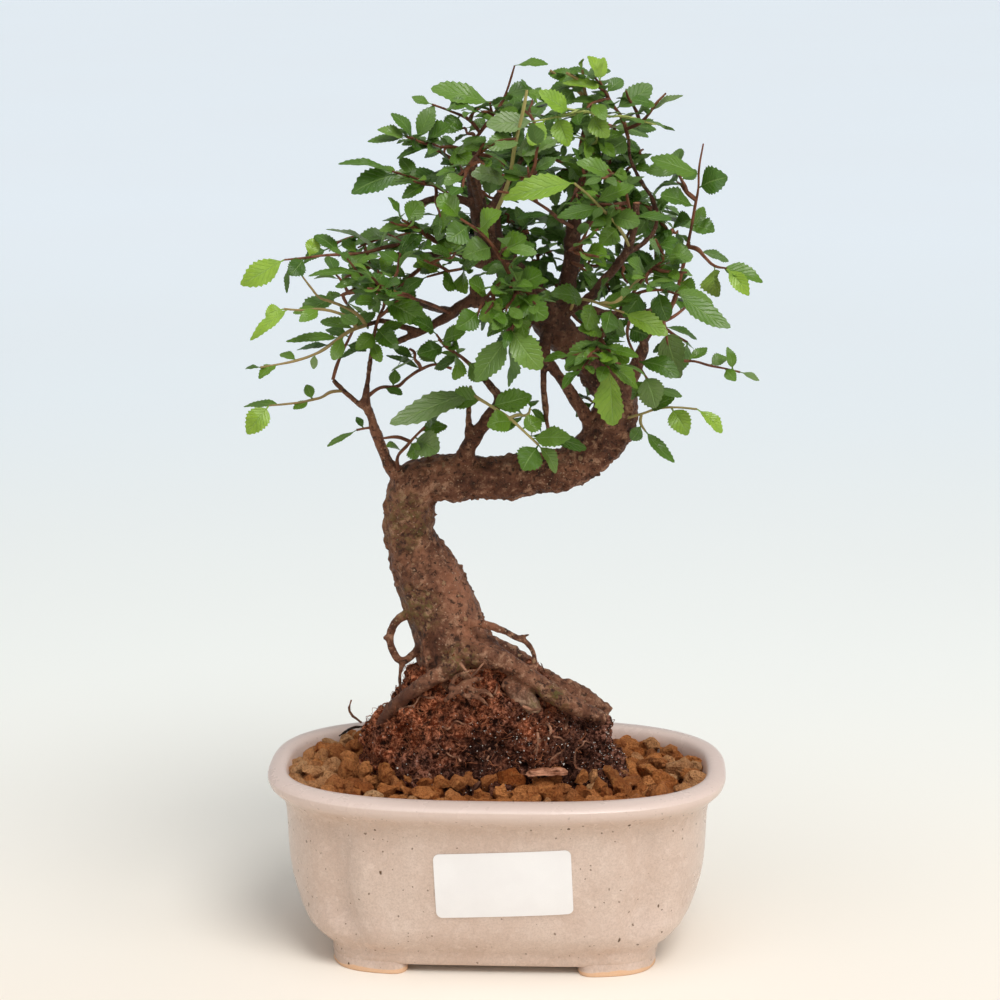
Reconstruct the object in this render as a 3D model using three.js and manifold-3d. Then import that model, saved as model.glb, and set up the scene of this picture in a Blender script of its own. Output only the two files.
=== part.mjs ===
// Chinese elm grown as a small indoor tree: a bent trunk on a bare root ball in a glazed pot.
// Millimetres, +Z up. Origin under the middle of the pot, where its feet stand.
import * as THREE from 'three';
import { mergeVertices } from 'three/addons/utils/BufferGeometryUtils.js';
import Module from 'manifold-3d';

const wasm = await Module();
wasm.setup();
const { Manifold, Mesh } = wasm;

// Sizes of the pot. Its plan is a superellipse: at a half length above POT_SMALL_RING the half
// width is less by POT_LENGTH_LESS_WIDTH, and below it both shrink together.
const POT_HALF_LENGTH = 77.5;
const POT_HEIGHT = 63;
const POT_LENGTH_LESS_WIDTH = 26;
const POT_PLAN_POWER = 2.8;
const POT_SMALL_RING = 57;
const POT_SIDES = 40;
const WALL_BEND = 29;
const FOOT_HEIGHT = 2.8;
const FOOT_TOP = 10;
const FOOT_HALF_WIDTH = 5;
const FOOT_BEVEL = 0.8;
const FOOT_RING = 57.5;
const FOOT_FROM = 21;
const FOOT_TO = 70;
const FOOT_STEPS = 6;
const FLOOR_TOP = 10.5;
const FLOOR_RING = 50;
const DRAIN_X = 27;
const DRAIN_RADIUS = 6;
const DRAIN_MESH_RADIUS = 10;
const DRAIN_MESH_HOLE = 3.4;

// Sizes of the fillings and small pieces. Touching pieces keep GAP between them.
const GAP = 0.3;
const SOIL_TOP = 50;
const BED_TOP = 55.5;
const BED_HALF_LENGTH = 67;
const BED_HALF_WIDTH = 41;
const BARE_HALF_LENGTH = 44;
const BARE_HALF_WIDTH = 20.5;
const GRAIN_RADIUS = 5.8;
const GRAIN_PITCH = 12;
const GRAIN_JITTER = 2.4;
const LABEL_WIDTH = 45;
const LABEL_HEIGHT = 21;
const LABEL_THICKNESS = 0.35;
const LABEL_X = 2;
const LABEL_Z = 33.5;
const LABEL_TURN = 2.6;
const LABEL_CORNER = 2;

// Sizes of the leaves and twigs
const LEAF_THICKNESS = 0.7;
const TWIG_SIDES = 3;
const LEAF_ROOT = 0.5;
const LEAF_SPACING = 1.9;

// Outlines are written where they are seen from this front view point in the middle plane Y = 0,
// and each point is then moved along its line of sight to its own depth Y.
const VIEW_POINT = [0.9, -909.5, 354.9];

// Woody limbs that grew as one with the trunk: rows of seen x, seen z, depth y, radius
const LIMBS = {
  trunk: [
    [-13, 92, 0, 12.5], [-15, 101, 0, 11.6], [-17, 110, 0, 10.9], [-21, 119, 0, 11.2], [-25, 129, 0, 10.6],
    [-28.8, 139, 0, 8.6], [-29.3, 149, 0, 8.8], [-27.5, 157, 0, 8.6], [-20, 160.5, 0, 8.2],
    [-9, 161, 0, 7.7], [3, 161, 0, 7.2], [14, 162.5, 0, 7], [24, 165.5, 0, 7.4], [33, 171.5, 0, 8],
    [38, 180, 0, 7.6], [39.5, 189, 1, 6.6], [34, 197, 3, 6.6], [26, 204, 5, 6], [18.5, 212, 6, 5.8],
    [12, 221, 6, 5.4], [5, 229.5, 6, 5.2], [-1, 238, 5, 4.6], [-5, 247, 4, 3.6], [-7.5, 257, 3, 2.3],
    [-8, 266, 2, 1.6], [-7, 273, 2, 1.1],
  ],
  second_stem: [
    [17, 212, 7, 3], [22, 222, 9, 3.2], [24, 233, 9, 2.8], [25, 244, 8, 2.5], [26.5, 255, 6, 1.9],
    [30, 265, 3, 1.4], [33, 275, 0, 1.1], [31.5, 281, -3, 0.9],
  ],
  left_limb: [
    [-29, 159, -1, 3.4], [-35, 164, -3, 2.4], [-37.6, 169, -4, 1.9], [-39.8, 175, -5, 1.7],
      [-41.6, 181, -6, 1.5],
    [-43.3, 186, -7, 1.8], [-42.6, 194, -9, 1], [-41.4, 203, -12, 0.85],
  ],
  left_fork: [[-42.2, 183, -6, 1.2], [-46, 186, -7, 0.95], [-49.5, 189, -8, 0.9], [-54.2, 193.8, -8, 0.9]],
  centre_limb: [
    [-11, 163, -2, 3.6], [-10, 170, -4, 2.9], [-6.5, 176, -5, 2.3], [-2.5, 182, -6, 2], [0.5, 187, -6, 1.6],
    [-2.5, 192, -6, 1.4], [-6, 196, -5, 1],
  ],
  centre_stub: [[-9.5, 172, -5, 1.3], [-9.4, 183, -5, 1], [-8.8, 191.5, -4, 0.9]],
  inner_limb: [
    [32, 174, 0, 3], [29, 182, -2, 2.2], [24.5, 189, -3, 1.9], [20, 195.5, -3, 1.9], [15.5, 201.5, -3, 2],
    [10, 207, -3, 1.9], [4, 211.5, -3, 1.9], [-1, 216.5, -4, 2.2], [-5.5, 220, -4, 2.6],
      [-10, 219.3, -5, 1.9],
    [-15, 215.8, -6, 1.8], [-20, 212.6, -6, 1.6], [-27, 209, -7, 1.4], [-33.6, 206.3, -8, 1.3],
  ],
  inner_join: [[15.5, 201.5, -3, 1.9], [16, 207, 0, 2.3], [18.5, 213, 5, 2.6]],
  inner_stub: [[-6, 218, -4, 2], [-7, 222, -4, 1.7], [-7.6, 225.5, -4, 1.5]],
  hanging_stem: [[15.5, 200, -3, 1.1], [15.2, 193, -6, 1.2], [15.8, 186, -8, 1.1], [16.5, 179, -10, 0.9],
    [17.6, 173, -12, 0.8]],
  side_limb: [[-25, 209.8, -7, 1.2], [-32, 211.8, -8, 1.1], [-37, 213.4, -9, 1], [-43, 212, -13, 0.9]],
  upper_left: [
    [1, 234, 4, 2.4], [-6, 232.6, 0, 1.8], [-11, 235.5, -3, 1.5], [-16, 236.6, -5, 1.3],
      [-22, 235, -6, 1.3],
    [-27, 235.5, -6, 1.1], [-32, 238.6, -4, 0.9],
  ],
  knob: [[40, 187, 0, 4], [44.5, 195.5, 0, 2.6], [47.2, 201, 0, 1.7], [48.4, 205, 0, 1.5],
    [46.8, 209, 0, 1.3]],
  right_rising: [
    [16, 210, 6, 2.6], [24, 217, 3, 2], [30, 221, 0, 1.7], [35, 227, -3, 1.5], [40, 233, -5, 1.6],
    [43, 238, -6, 1.4], [44.8, 245, -6, 1.2], [45.2, 252.5, -6, 1.15],
  ],
  right_upright: [
    [42, 236, -6, 1.2], [47, 238.5, -3, 1.1], [51.5, 244, -2, 1.05], [50.6, 253, -2, 1.05],
      [46.5, 259.5, -3, 1.05],
    [43, 267, -4, 1], [42.4, 273, -4, 0.85],
  ],
  right_low: [[26, 219, 3, 1.4], [36, 216, 4, 1.3], [45, 215.5, 3, 1.2], [51, 216.5, 1, 1.1],
    [56, 216, 1, 1]],
  pruned_stub: [[-5, 250, 3, 1.7], [-14, 253.8, 0, 1.3], [-20.5, 253.5, -3, 1.2], [-29.3, 250.4, -6, 1.15]],
  short_stub: [[2, 236, 3, 1.8], [0.3, 243, -4, 1.3], [0, 250, -8, 1.2]],
  front_limb: [[18, 213, 6, 2.2], [14, 217, -9, 1.6], [8, 222.5, -21, 1.2], [4.5, 228, -30, 0.9]],
  front_right: [[27, 203, 4, 2.2], [32, 207, -8, 1.5], [38, 213.5, -17, 1.2], [44, 222, -26, 0.9]],
  back_limb: [[18, 213, 6, 2.4], [20, 219, 16, 1.6], [24, 227, 26, 1.2], [28, 236, 33, 0.9]],
  back_left: [[8, 225, 6, 2.2], [3, 229, 16, 1.5], [-7, 237, 25, 1.1], [-18, 244.5, 32, 0.9]],
  back_top: [[-4, 247, 4, 1.8], [2, 256.5, 9, 1.2], [8, 266.5, 14, 0.95], [13.5, 275, 17, 0.8]],
  back_right: [[24.5, 242, 8, 1.6], [34, 248.5, 19, 1.1], [42, 254.5, 29, 0.85]],
  front_top: [[-5, 249, 4, 1.7], [-7.5, 257.5, -10, 1.1], [-9.5, 264, -21, 0.85]],
  left_back: [[-14, 216.3, -6, 1.4], [-24, 218.5, 11, 1.1], [-34, 222, 23, 0.85]],
  right_back: [[41, 190, 1, 2], [47, 204, 14, 1.2], [52.5, 212.5, 25, 0.9]],
};

// Roots on and above the root ball, in the same kind of rows
const ROOTS = {
  left_root: [
    [-10, 101, -4, 4], [-13, 97, -12, 3.2], [-19, 93.3, -15, 2.9], [-26, 89, -14, 2.7],
      [-32, 84.5, -12, 2.4],
    [-37, 79.5, -9, 1.9], [-40.5, 74.5, -7, 1.4],
  ],
  right_root: [
    [-6, 104, -5, 5], [0, 99, -11, 3.8], [7, 94.8, -14, 3.2], [13, 90.6, -15, 3], [18.5, 86.4, -15, 3.1],
    [24, 83, -14, 3.1], [30, 80.3, -12, 2.8], [36.5, 77.5, -9, 2.3],
  ],
  ridge_root: [
    [-4, 106, 1, 5], [5, 99, 1, 4], [12, 94, 2, 3.6], [19, 89, 2, 3.8], [26, 86, 2, 4.2],
      [32, 82.5, 2, 3.8],
    [37.5, 78.5, 1, 3],
  ],
  back_left_root: [[-17, 103, 4, 5], [-23, 96, 12, 3.4], [-28, 89, 17, 2.8], [-32, 82, 20, 2.2],
    [-35, 75, 22, 1.6]],
  back_right_root: [[-8, 103, 5, 5], [-2, 97, 12, 3.2], [5, 90, 17, 2.7], [11, 83, 20, 2.2],
    [16, 75, 22, 1.5]],
  loop_root: [
    [-27, 114, -3, 1.9], [-31.6, 113.4, -5, 1.7], [-35, 109.8, -6, 1.5], [-36.1, 105, -6, 1.4],
      [-35, 100.6, -6, 1.3],
    [-32, 97.7, -6, 1.2], [-29, 99.5, -5, 1.2], [-26, 103, -4, 1.4],
  ],
  loop_spur: [[-35.6, 107, -6, 0.9], [-38.4, 105.4, -7, 0.6]],
  loop_strand: [[-32, 97.9, -6, 1], [-32.7, 94, -6, 0.7], [-32.9, 89.6, -6, 0.6], [-32, 85, -7, 0.6]],
  arch_root: [
    [-14, 112.5, -6, 2], [-9, 111, -10, 1.6], [-4, 110.4, -12, 1.5], [1, 108.6, -12, 1.3],
      [6, 106.2, -12, 1.2],
    [9.6, 104.4, -12, 1.2], [12, 100.8, -12, 1.1], [12.4, 96.6, -13, 1], [12, 92, -14, 0.9],
  ],
  arch_spur: [[7, 106, -12, 0.9], [10.9, 106.9, -13, 0.55]],
};

// Root ball rings: height z, middle x, half length x, half width y
const BALL_RINGS = [
  [30, -2, 40, 20], [44, -2, 46, 23], [56, -2, 47.5, 24], [63, -2.2, 45.5, 23], [70, -2.5, 41.8, 21.5],
  [78, -2.5, 38.5, 19.5], [84, -4.5, 32, 17], [90, -7, 25, 14.5], [95.5, -9, 18, 11.5], [99.5, -11, 10, 8],
];

// Leafy shoots. Each twig is a row of seen x, seen z, depth y. Each leaf is seen x and z of its base,
// seen x and z of its tip, depth from base to tip, width, lean of its face to the front in degrees.
// Loose says how many more leaves stand along the twigs by rule, and their length.
const SHOOTS = [
  {
    name: 'shoot_left_tip',
    radius: [0.8, 0.38],
    twigs: [[[-32, 238.6, -4], [-37, 237.6, -7], [-44, 235.8, -11], [-51, 235.4, -14], [-57, 235, -14],
      [-63, 234.2, -13], [-69.5, 233.6, -12]]],
    leaves: [
      [-69.5, 233.6, -84, 225.4, -2, 8.5, 60], [-62.5, 234.4, -68, 228.6, -4, 6, 60],
        [-61, 234.6, -58.8, 241, 3, 5, 45],
      [-51.3, 235.4, -59.6, 241.6, 4, 8, 35], [-45, 235.8, -50.5, 240.4, 5, 6, 40],
        [-43, 236, -48.5, 231.2, -6, 7, 35],
      [-38, 237.4, -29.8, 249, -3, 7, 40], [-39, 237.2, -56, 243.6, -5, 7, 10],
        [-66, 233.8, -68.8, 222.6, 3, 5, 30],
    ],
  },
  {
    name: 'shoot_left_low',
    radius: [0.75, 0.36],
    twigs: [
      [[-43, 212, -13], [-48, 210.3, -16], [-53, 207, -18], [-57, 204, -20], [-60, 202.4, -21],
        [-66, 200.3, -23], [-72, 199, -24], [-78, 198, -26]],
      [[-46, 211, -15], [-49, 214.5, -20], [-52, 216, -22], [-58, 217.3, -24], [-64, 217, -26],
        [-70, 217.4, -27]],
      [[-43, 212, -13], [-46, 215.7, -14], [-50, 218, -14], [-55, 220, -14], [-58, 221, -13],
        [-61, 224.5, -12], [-63.6, 228, -11]],
    ],
    leaves: [
      [-52, 207.6, -69.5, 206.6, -4, 7, 40], [-47, 210.6, -58, 213.4, 4, 8, 40],
        [-55, 205.4, -66, 203.8, 6, 6, 35],
      [-50.5, 208.6, -54, 200.4, -5, 6.5, 60], [-66, 200.3, -71.5, 202.4, 4, 5, 40],
        [-72, 199, -78.6, 194.2, -3, 6, 40],
      [-78, 198, -83, 197.4, -1, 3.5, 30], [-60, 202.4, -60.5, 197.4, -2, 3, 50],
        [-70, 217.4, -76, 215, -2, 5, 55],
      [-69, 217.4, -81.2, 207, -5, 4.6, 40], [-58, 217.3, -67, 216.2, 3, 6, 50],
        [-57.5, 217, -65, 213.2, -6, 7, 50],
      [-50, 218, -43.5, 222.3, -3, 6, 45], [-56.5, 220.5, -51.6, 222.6, 5, 5.4, 40],
        [-63.6, 228, -66, 234.4, 4, 4.6, 40],
      [-52, 216, -46, 212.5, -6, 7, 40],
    ],
  },
  {
    name: 'shoot_left_stem',
    radius: [0.75, 0.36],
    twigs: [
      [[-41.4, 203, -12], [-40.6, 208, -14], [-39, 214.5, -16], [-37, 220, -17], [-41, 225, -18],
        [-45, 229, -19], [-49, 234, -20]],
    ],
    leaves: [
      [-41.2, 205, -52, 201, -4, 5, 25], [-40.4, 209.4, -46.5, 203.8, -6, 8.5, 60],
        [-40, 211, -32.6, 204.2, -6, 9.5, 60],
      [-41, 206.4, -38.2, 199.8, -6, 6, 60], [-37.2, 219.6, -22.8, 212.2, -6, 9.5, 50],
        [-45, 229, -61.8, 228.2, -4, 7, 30],
      [-43, 227, -53, 224.6, -5, 6.6, 40], [-47, 231.6, -38, 234.8, -3, 6.4, 40],
        [-40, 224, -32.6, 227, -5, 7, 50],
      [-37.6, 218.6, -46.6, 219.4, -6, 7.4, 50], [-49, 234, -54.5, 237, -3, 5, 45],
    ],
  },
  {
    name: 'shoot_left_fork',
    radius: [0.7, 0.4],
    twigs: [[[-54.2, 193.8, -8], [-53, 198, -7], [-51, 203, -6], [-48.5, 208, -5], [-46, 213, -4]]],
    leaves: [[-48.5, 208, -56.4, 210.6, 3, 7, 45], [-50, 205.4, -43, 203.4, -1, 6.6, 50],
      [-46, 213, -51.5, 218.4, 5, 6, 40], [-47, 211, -40, 216.4, 5, 7, 45]],
  },
  {
    name: 'shoot_left_low_tip',
    radius: [0.65, 0.34],
    twigs: [[[-50.6, 190, -8], [-55, 189.7, -10], [-58, 188, -12], [-61, 187.2, -14], [-65, 186.3, -16],
      [-70, 185.7, -18], [-75.4, 185.2, -19]]],
    leaves: [
      [-75.4, 185.2, -82.8, 175.6, -2, 7.6, 65], [-71, 185.8, -83.8, 184.8, 3, 6, 35],
        [-61, 187.2, -63, 192.2, 2, 5, 65],
      [-62, 187, -67.4, 184, -4, 4.6, 50],
    ],
  },
  {
    name: 'shoot_left_base',
    radius: [0.6, 0.4],
    twigs: [[[-40.6, 178, -5], [-43.5, 177.6, -7], [-46.5, 177, -9]]],
    leaves: [[-46.5, 177, -56.4, 171.4, -4, 4.6, 25], [-44.4, 177.4, -46.6, 181.4, 2, 3.6, 40]],
  },
  {
    name: 'shoot_corner',
    radius: [0.85, 0.45],
    twigs: [
      [[-33, 163, -4], [-33, 168, -7], [-30, 171.6, -9], [-27.4, 174.6, -11], [-24, 178, -12]],
      [[-28.6, 173, -10], [-33, 174.6, -11], [-38, 174.2, -12]],
    ],
    leaves: [
      [-27.6, 174.4, -19.4, 169.6, -6, 9.5, 60], [-31.6, 170.2, -36.8, 171.4, -6, 6.6, 45],
        [-28.8, 172.8, -26.4, 167.4, -6, 6, 60],
      [-25.6, 176.4, -16.5, 178.4, 3, 6, 35], [-24, 178, -19.4, 182, -2, 6, 40],
    ],
  },
  {
    name: 'shoot_front_straw',
    radius: [0.7, 0.42],
    twigs: [[[-8.8, 191.5, -4], [-8, 189, -12], [-2, 185, -18], [4, 181, -21], [9.4, 176, -22],
      [13.6, 172, -22]]],
    leaves: [
      [-8, 189.4, -35.6, 179, -14, 9, 40], [-5.6, 187.4, -16.4, 186.6, 3, 8.6, 50],
        [-1.5, 184.6, 11.4, 188.6, 4, 9, 45],
      [6, 179.4, -3.4, 178.4, -5, 8, 55], [13.6, 172, 8.4, 163.4, -4, 9.2, 65],
        [13.2, 172.4, 19.6, 162.6, 3, 6.6, 60],
      [12, 173.8, 24.4, 174.4, -5, 8, 45], [10.4, 175, 29.6, 170.8, 6, 7, 35],
        [8, 177.6, 14.6, 180.4, 4, 6.4, 50],
    ],
  },
  {
    name: 'shoot_centre_left',
    radius: [0.8, 0.42],
    twigs: [[[-6, 196, -5], [-9, 199, -10], [-13, 202.4, -15], [-17, 205, -19], [-20, 209, -22]]],
    leaves: [
      [-14, 203, -14.4, 193.8, -5, 8, 65], [-17, 205, -26.4, 202.4, -3, 7, 40],
        [-10.4, 200, -3, 194, -6, 7, 55],
      [-12, 201.6, -20.8, 197.6, 4, 6.4, 40], [-20, 209, -28, 213.4, -3, 7, 45],
        [-18, 206.6, -10.4, 209.6, -6, 7.6, 50],
    ],
  },
  {
    name: 'shoot_inner_left',
    radius: [0.75, 0.5],
    twigs: [[[-43, 188, -7], [-38.6, 191.2, -5], [-33, 191.6, -3], [-29.6, 194.4, -1], [-25, 197.4, 1],
      [-20, 199, 2], [-15, 197.6, 2]]],
    leaves: [[-34.6, 191.6, -33.6, 197.2, 1, 5.6, 55], [-37, 191.3, -31.4, 188.8, -4, 5, 45],
      [-25, 197.4, -36.6, 202, 3, 5, 30], [-20, 199, -25, 205.4, 5, 6.6, 45]],
  },
  {
    name: 'shoot_front_right',
    radius: [0.75, 0.42],
    twigs: [[[38, 213.5, -17], [34, 208, -25], [34, 202.6, -31], [36.6, 197.6, -35]]],
    leaves: [
      [36.6, 197.6, 38.2, 178.4, -2, 10.6, 72], [34, 204, 43.4, 199.6, -5, 7, 50],
        [33.8, 206, 22.4, 197, -4, 8, 55],
      [34.4, 209, 26.6, 210.6, -6, 7, 50], [35.2, 199.8, 46.4, 191, 4, 8, 50],
        [34, 202.6, 24.6, 203.2, 4, 6.6, 45],
    ],
  },
  {
    name: 'shoot_right_hanging',
    radius: [0.65, 0.4],
    twigs: [[[45, 215.5, 3], [43, 212, -10], [43, 207.4, -18], [45.6, 201.4, -23], [48.6, 195.4, -26],
      [52, 191.4, -27]]],
    leaves: [
      [46.4, 199.8, 60, 195, -5, 7, 45], [43, 208.4, 36.6, 212.4, -4, 7, 50],
        [42.8, 211, 49.6, 208.6, -5, 7.6, 60],
      [48.8, 195, 52.4, 184.4, -6, 9.6, 60], [52, 191.4, 61, 188.2, -2, 4, 30],
        [50.6, 193, 44, 187.4, 3, 6, 50],
    ],
  },
  {
    name: 'shoot_right_low',
    radius: [0.65, 0.38],
    twigs: [
      [[40, 181, -2], [47.6, 182.4, -6], [53, 184.2, -9], [59, 184.6, -12], [66, 184, -13]],
      [[47.6, 182.4, -6], [47.4, 179.4, -8], [49, 176.6, -10]],
    ],
    leaves: [
      [57, 184.6, 63, 175.2, -4, 7.4, 60], [66, 184, 74.4, 176, -2, 5, 40],
        [50, 183.2, 58.6, 188, -5, 6, 45],
      [49, 176.6, 58.8, 166, -3, 5, 35], [47.6, 178.6, 44.4, 173.6, -4, 4.6, 50],
    ],
  },
  {
    name: 'shoot_right_tip',
    radius: [0.7, 0.36],
    twigs: [[[54, 216.2, 1], [55.4, 210, -3], [57, 204, -6], [60, 200.6, -8], [65, 200, -9],
      [70, 198.6, -11], [75, 197.6, -13], [80, 196.4, -14]]],
    leaves: [
      [56.4, 210.6, 60.4, 194.4, -9, 11, 65], [56.2, 212.6, 65.6, 207.4, 5, 4.6, 30],
        [70, 198.6, 75.6, 201.4, 3, 4.6, 40],
      [77, 197.2, 75.6, 204.8, 1, 3.6, 40], [75.4, 197.5, 78.6, 193.4, -3, 4, 50],
        [80, 196.4, 86.4, 193.6, -1, 3.2, 30],
      [62, 200.3, 69, 204.6, 4, 4, 30],
    ],
  },
  {
    name: 'shoot_right_front',
    radius: [0.7, 0.38],
    twigs: [
      [[44, 222, -26], [50, 223.6, -29], [55, 223.4, -31], [59.6, 222, -33]],
      [[44, 222, -26], [49, 229, -35], [55, 234, -41]],
    ],
    leaves: [
      [59.6, 222, 76.6, 211.2, -4, 7.6, 45], [57.6, 222.6, 70.6, 219.6, 6, 7, 40],
        [52, 223.6, 56, 213.6, -5, 7, 55],
      [47.6, 222.8, 41.4, 214.8, -6, 7.6, 55], [49, 229, 42.6, 233, -6, 7.6, 50],
        [50.6, 230.6, 57, 226.6, -6, 7, 50],
      [53, 232.6, 49.6, 240, -4, 7.6, 55], [55, 234, 64, 234.6, -3, 7.6, 50],
    ],
  },
  {
    name: 'shoot_middle_straw',
    radius: [0.65, 0.4],
    twigs: [[[24, 217, 3], [26, 220.4, -12], [31, 220, -24], [36, 218.2, -31], [41.6, 216.2, -34]]],
    leaves: [
      [41.6, 216.2, 56, 208.8, -3, 7.6, 45], [34, 219, 44.8, 221.6, -6, 7, 45],
        [31.6, 219.8, 29, 210.6, -6, 8.4, 60],
      [28.6, 220.4, 17.6, 222.2, -7, 8, 50], [37.4, 217.8, 35.4, 209.4, -4, 7, 55],
        [33, 219.4, 36.4, 227.4, -5, 7.4, 55],
    ],
  },
  {
    name: 'shoot_outer_right',
    radius: [0.95, 0.34],
    twigs: [
      [[56, 216, 1], [58.2, 221, 1], [59.6, 226.4, 0], [61, 233, -1], [63, 243, -2], [64.3, 251, -3],
        [65.3, 257, -4], [65.4, 263, -4], [66.7, 271.4, -5]],
      [[62, 238, -1], [65.4, 237, -5], [68, 234.2, -9], [71, 231.6, -11], [75, 230.8, -13]],
    ],
    leaves: [
      [65.3, 256.4, 74.8, 260.6, -4, 9.6, 70], [65.4, 262, 49.6, 266.6, -5, 8, 45],
        [64.2, 250.4, 53, 254.6, -5, 7.4, 45],
      [63.2, 244.2, 70.8, 242.8, -4, 7, 40], [63.6, 247, 57.4, 245, 5, 6.6, 50],
        [61.4, 235, 53.6, 238, -6, 7, 50],
      [59.6, 226.4, 64.6, 222.6, -5, 6, 50], [60.6, 231, 52.6, 228.4, 6, 6.8, 45],
        [66, 236.6, 75.6, 233.2, 4, 5, 35],
      [73, 231.2, 86.9, 226.2, -1, 6.4, 40], [71, 231.6, 72.6, 221.4, -4, 10, 75],
        [75, 230.8, 82.4, 221.8, -5, 5.4, 55],
    ],
  },
  {
    name: 'shoot_upper_right',
    radius: [0.75, 0.36],
    twigs: [
      [[42.4, 273, -4], [40.6, 279, -5], [37.5, 283.6, -6], [35, 287.6, -7], [33, 291.6, -8]],
      [[41.6, 276, -4.5], [46, 278, -7], [49, 281, -9], [51, 284, -10], [54.4, 287.6, -11]],
    ],
    leaves: [
      [33, 291.6, 29, 299.4, -2, 6, 65], [33.2, 291.2, 34.4, 299, 3, 4.4, 60],
        [34, 289.6, 21, 290.8, -5, 5, 40],
      [35, 287.6, 40.4, 292, 3, 5, 45], [38.4, 282.4, 49.8, 290.2, 3, 8, 45],
        [40.8, 278, 51.4, 276, 6, 5.6, 40],
      [49.6, 282, 60, 286.8, -3, 4, 30], [51, 284, 43.4, 285.6, -5, 5, 45],
        [42.2, 273.6, 35.6, 269, -6, 7, 50],
    ],
  },
  {
    name: 'shoot_top',
    radius: [0.8, 0.5],
    twigs: [
      [[31.5, 281, -3], [29.6, 284.6, -4], [28.3, 288, -5], [27.8, 292, -6], [27.4, 295, -7]],
      [[29.6, 284.6, -4], [26, 288.4, -5], [21.4, 292, -6], [17, 294.8, -7]],
    ],
    leaves: [
      [28, 290.6, 16.6, 287.6, 7, 7, 45], [27.9, 291.6, 36.4, 295, 5, 5, 40],
        [27.4, 295, 27.6, 298.6, -1, 2.4, 45],
      [29.2, 286, 36.4, 283.6, 6, 6, 45], [24.4, 289.6, 20.6, 284.4, -7, 5.6, 50],
    ],
  },
  {
    name: 'shoot_top_bright',
    radius: [0.6, 0.36],
    twigs: [[[33, 275, 0], [32.4, 279.6, -10], [28, 281.8, -17], [22, 280.8, -20], [16.6, 279.4, -22],
      [12, 278.6, -23]]],
    leaves: [
      [23, 281, 13.4, 288.4, -3, 7.6, 55], [19.6, 280.2, 23, 270.4, -4, 7, 50],
        [30.6, 280.8, 36, 273.4, -6, 6.6, 50],
      [12, 278.6, -3.6, 277.4, -3, 8, 50], [15.4, 279.2, 10.4, 271, -5, 6.4, 55],
    ],
  },
  {
    name: 'shoot_straw_top',
    radius: [0.8, 0.42],
    twigs: [[[0, 250, -8], [2.6, 256, -14], [4.3, 262, -19], [5.6, 270, -23], [7.2, 277, -26],
      [8.6, 283, -28], [9.6, 288.6, -29]]],
    leaves: [
      [9.3, 286.6, 13, 284.4, 2, 2.6, 45], [9.6, 288.6, 7.6, 292, -1, 2.2, 45],
        [5.3, 268, 19.4, 272, -5, 8, 50],
      [3.6, 259.4, -8.6, 261.4, -6, 8.4, 55], [6.4, 273.4, -3.4, 270, -6, 6.6, 45],
    ],
  },
  {
    name: 'shoot_front_bright',
    radius: [0.65, 0.4],
    twigs: [[[43, 238, -6], [41, 242, -19], [37.6, 246.6, -28], [33.6, 250.6, -33], [30, 254.4, -36],
      [25, 258.6, -38]]],
    leaves: [
      [25, 258.6, 1.5, 253.4, -4, 8.8, 50], [34, 250.2, 19.4, 247.4, -6, 6, 40],
        [36.4, 247.8, 46.4, 245.4, -6, 7, 50],
      [31.6, 252.6, 44.6, 257.8, -4, 7, 45], [39.6, 244, 33.4, 238.4, -8, 7, 50],
    ],
  },
  {
    name: 'shoot_upper_left',
    radius: [0.8, 0.38],
    twigs: [[[-8, 266, 2], [-13, 270, -3], [-20, 270.4, -8], [-25, 272, -11], [-29.4, 273.6, -13]]],
    leaves: [
      [-29.4, 273.6, -42, 272, -2, 6.4, 40], [-27, 272.8, -34.4, 281, -3, 9, 65],
        [-23.6, 271.6, -15, 277.4, -4, 8, 50],
      [-25.6, 272.2, -20.4, 283.6, 4, 6, 50], [-19, 270.4, -32.6, 266.4, -6, 6, 35],
        [-15, 270, -8.4, 265, -7, 7.6, 50],
    ],
  },
  {
    name: 'shoot_top_left',
    radius: [0.75, 0.36],
    twigs: [
      [[-7, 273, 2], [-4, 277, 2], [-1, 281, 3], [1.5, 284.6, 3], [3.2, 288.6, 2], [4.6, 293, 1],
        [5.6, 296.4, 0]],
      [[-1.6, 280.4, 3], [-2.4, 284.6, 0]],
      [[-5.6, 275, 2], [-9, 279, -1], [-15, 281.8, -5], [-21, 284, -8]],
    ],
    leaves: [
      [5.6, 296.4, 16.4, 296.8, -3, 4.6, 30], [-2.4, 284.6, -21.4, 289, -3, 8.4, 50],
        [2.4, 286.6, 11.4, 289, 4, 6.4, 45],
      [-21, 284, -27.6, 286.4, -1, 4, 40], [-12, 280.6, -16.6, 274.8, -5, 6.6, 50],
        [-16, 282.2, -9, 285.2, 3, 5, 45],
      [0.4, 283.2, 6.4, 278.6, -5, 6.6, 50],
    ],
  },
  {
    name: 'shoot_left_cluster',
    radius: [0.65, 0.38],
    twigs: [[[-14, 253.8, 0], [-19, 257, -6], [-26, 260, -12], [-34, 262.4, -17]]],
    leaves: [
      [-34, 262.4, -51.6, 264.8, -4, 6.6, 35], [-33, 262, -47.4, 255.2, -5, 9, 50],
        [-26, 260, -31.4, 266.8, 4, 7, 50],
      [-22, 258.4, -31, 253.6, -5, 7, 50], [-20, 257.6, -13.6, 263, -7, 8, 55],
    ],
  },
  {
    name: 'shoot_left_upper',
    radius: [0.75, 0.4],
    twigs: [[[-16, 236.6, -5], [-20, 240, -11], [-25, 243.4, -16], [-31, 246.6, -20]]],
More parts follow.
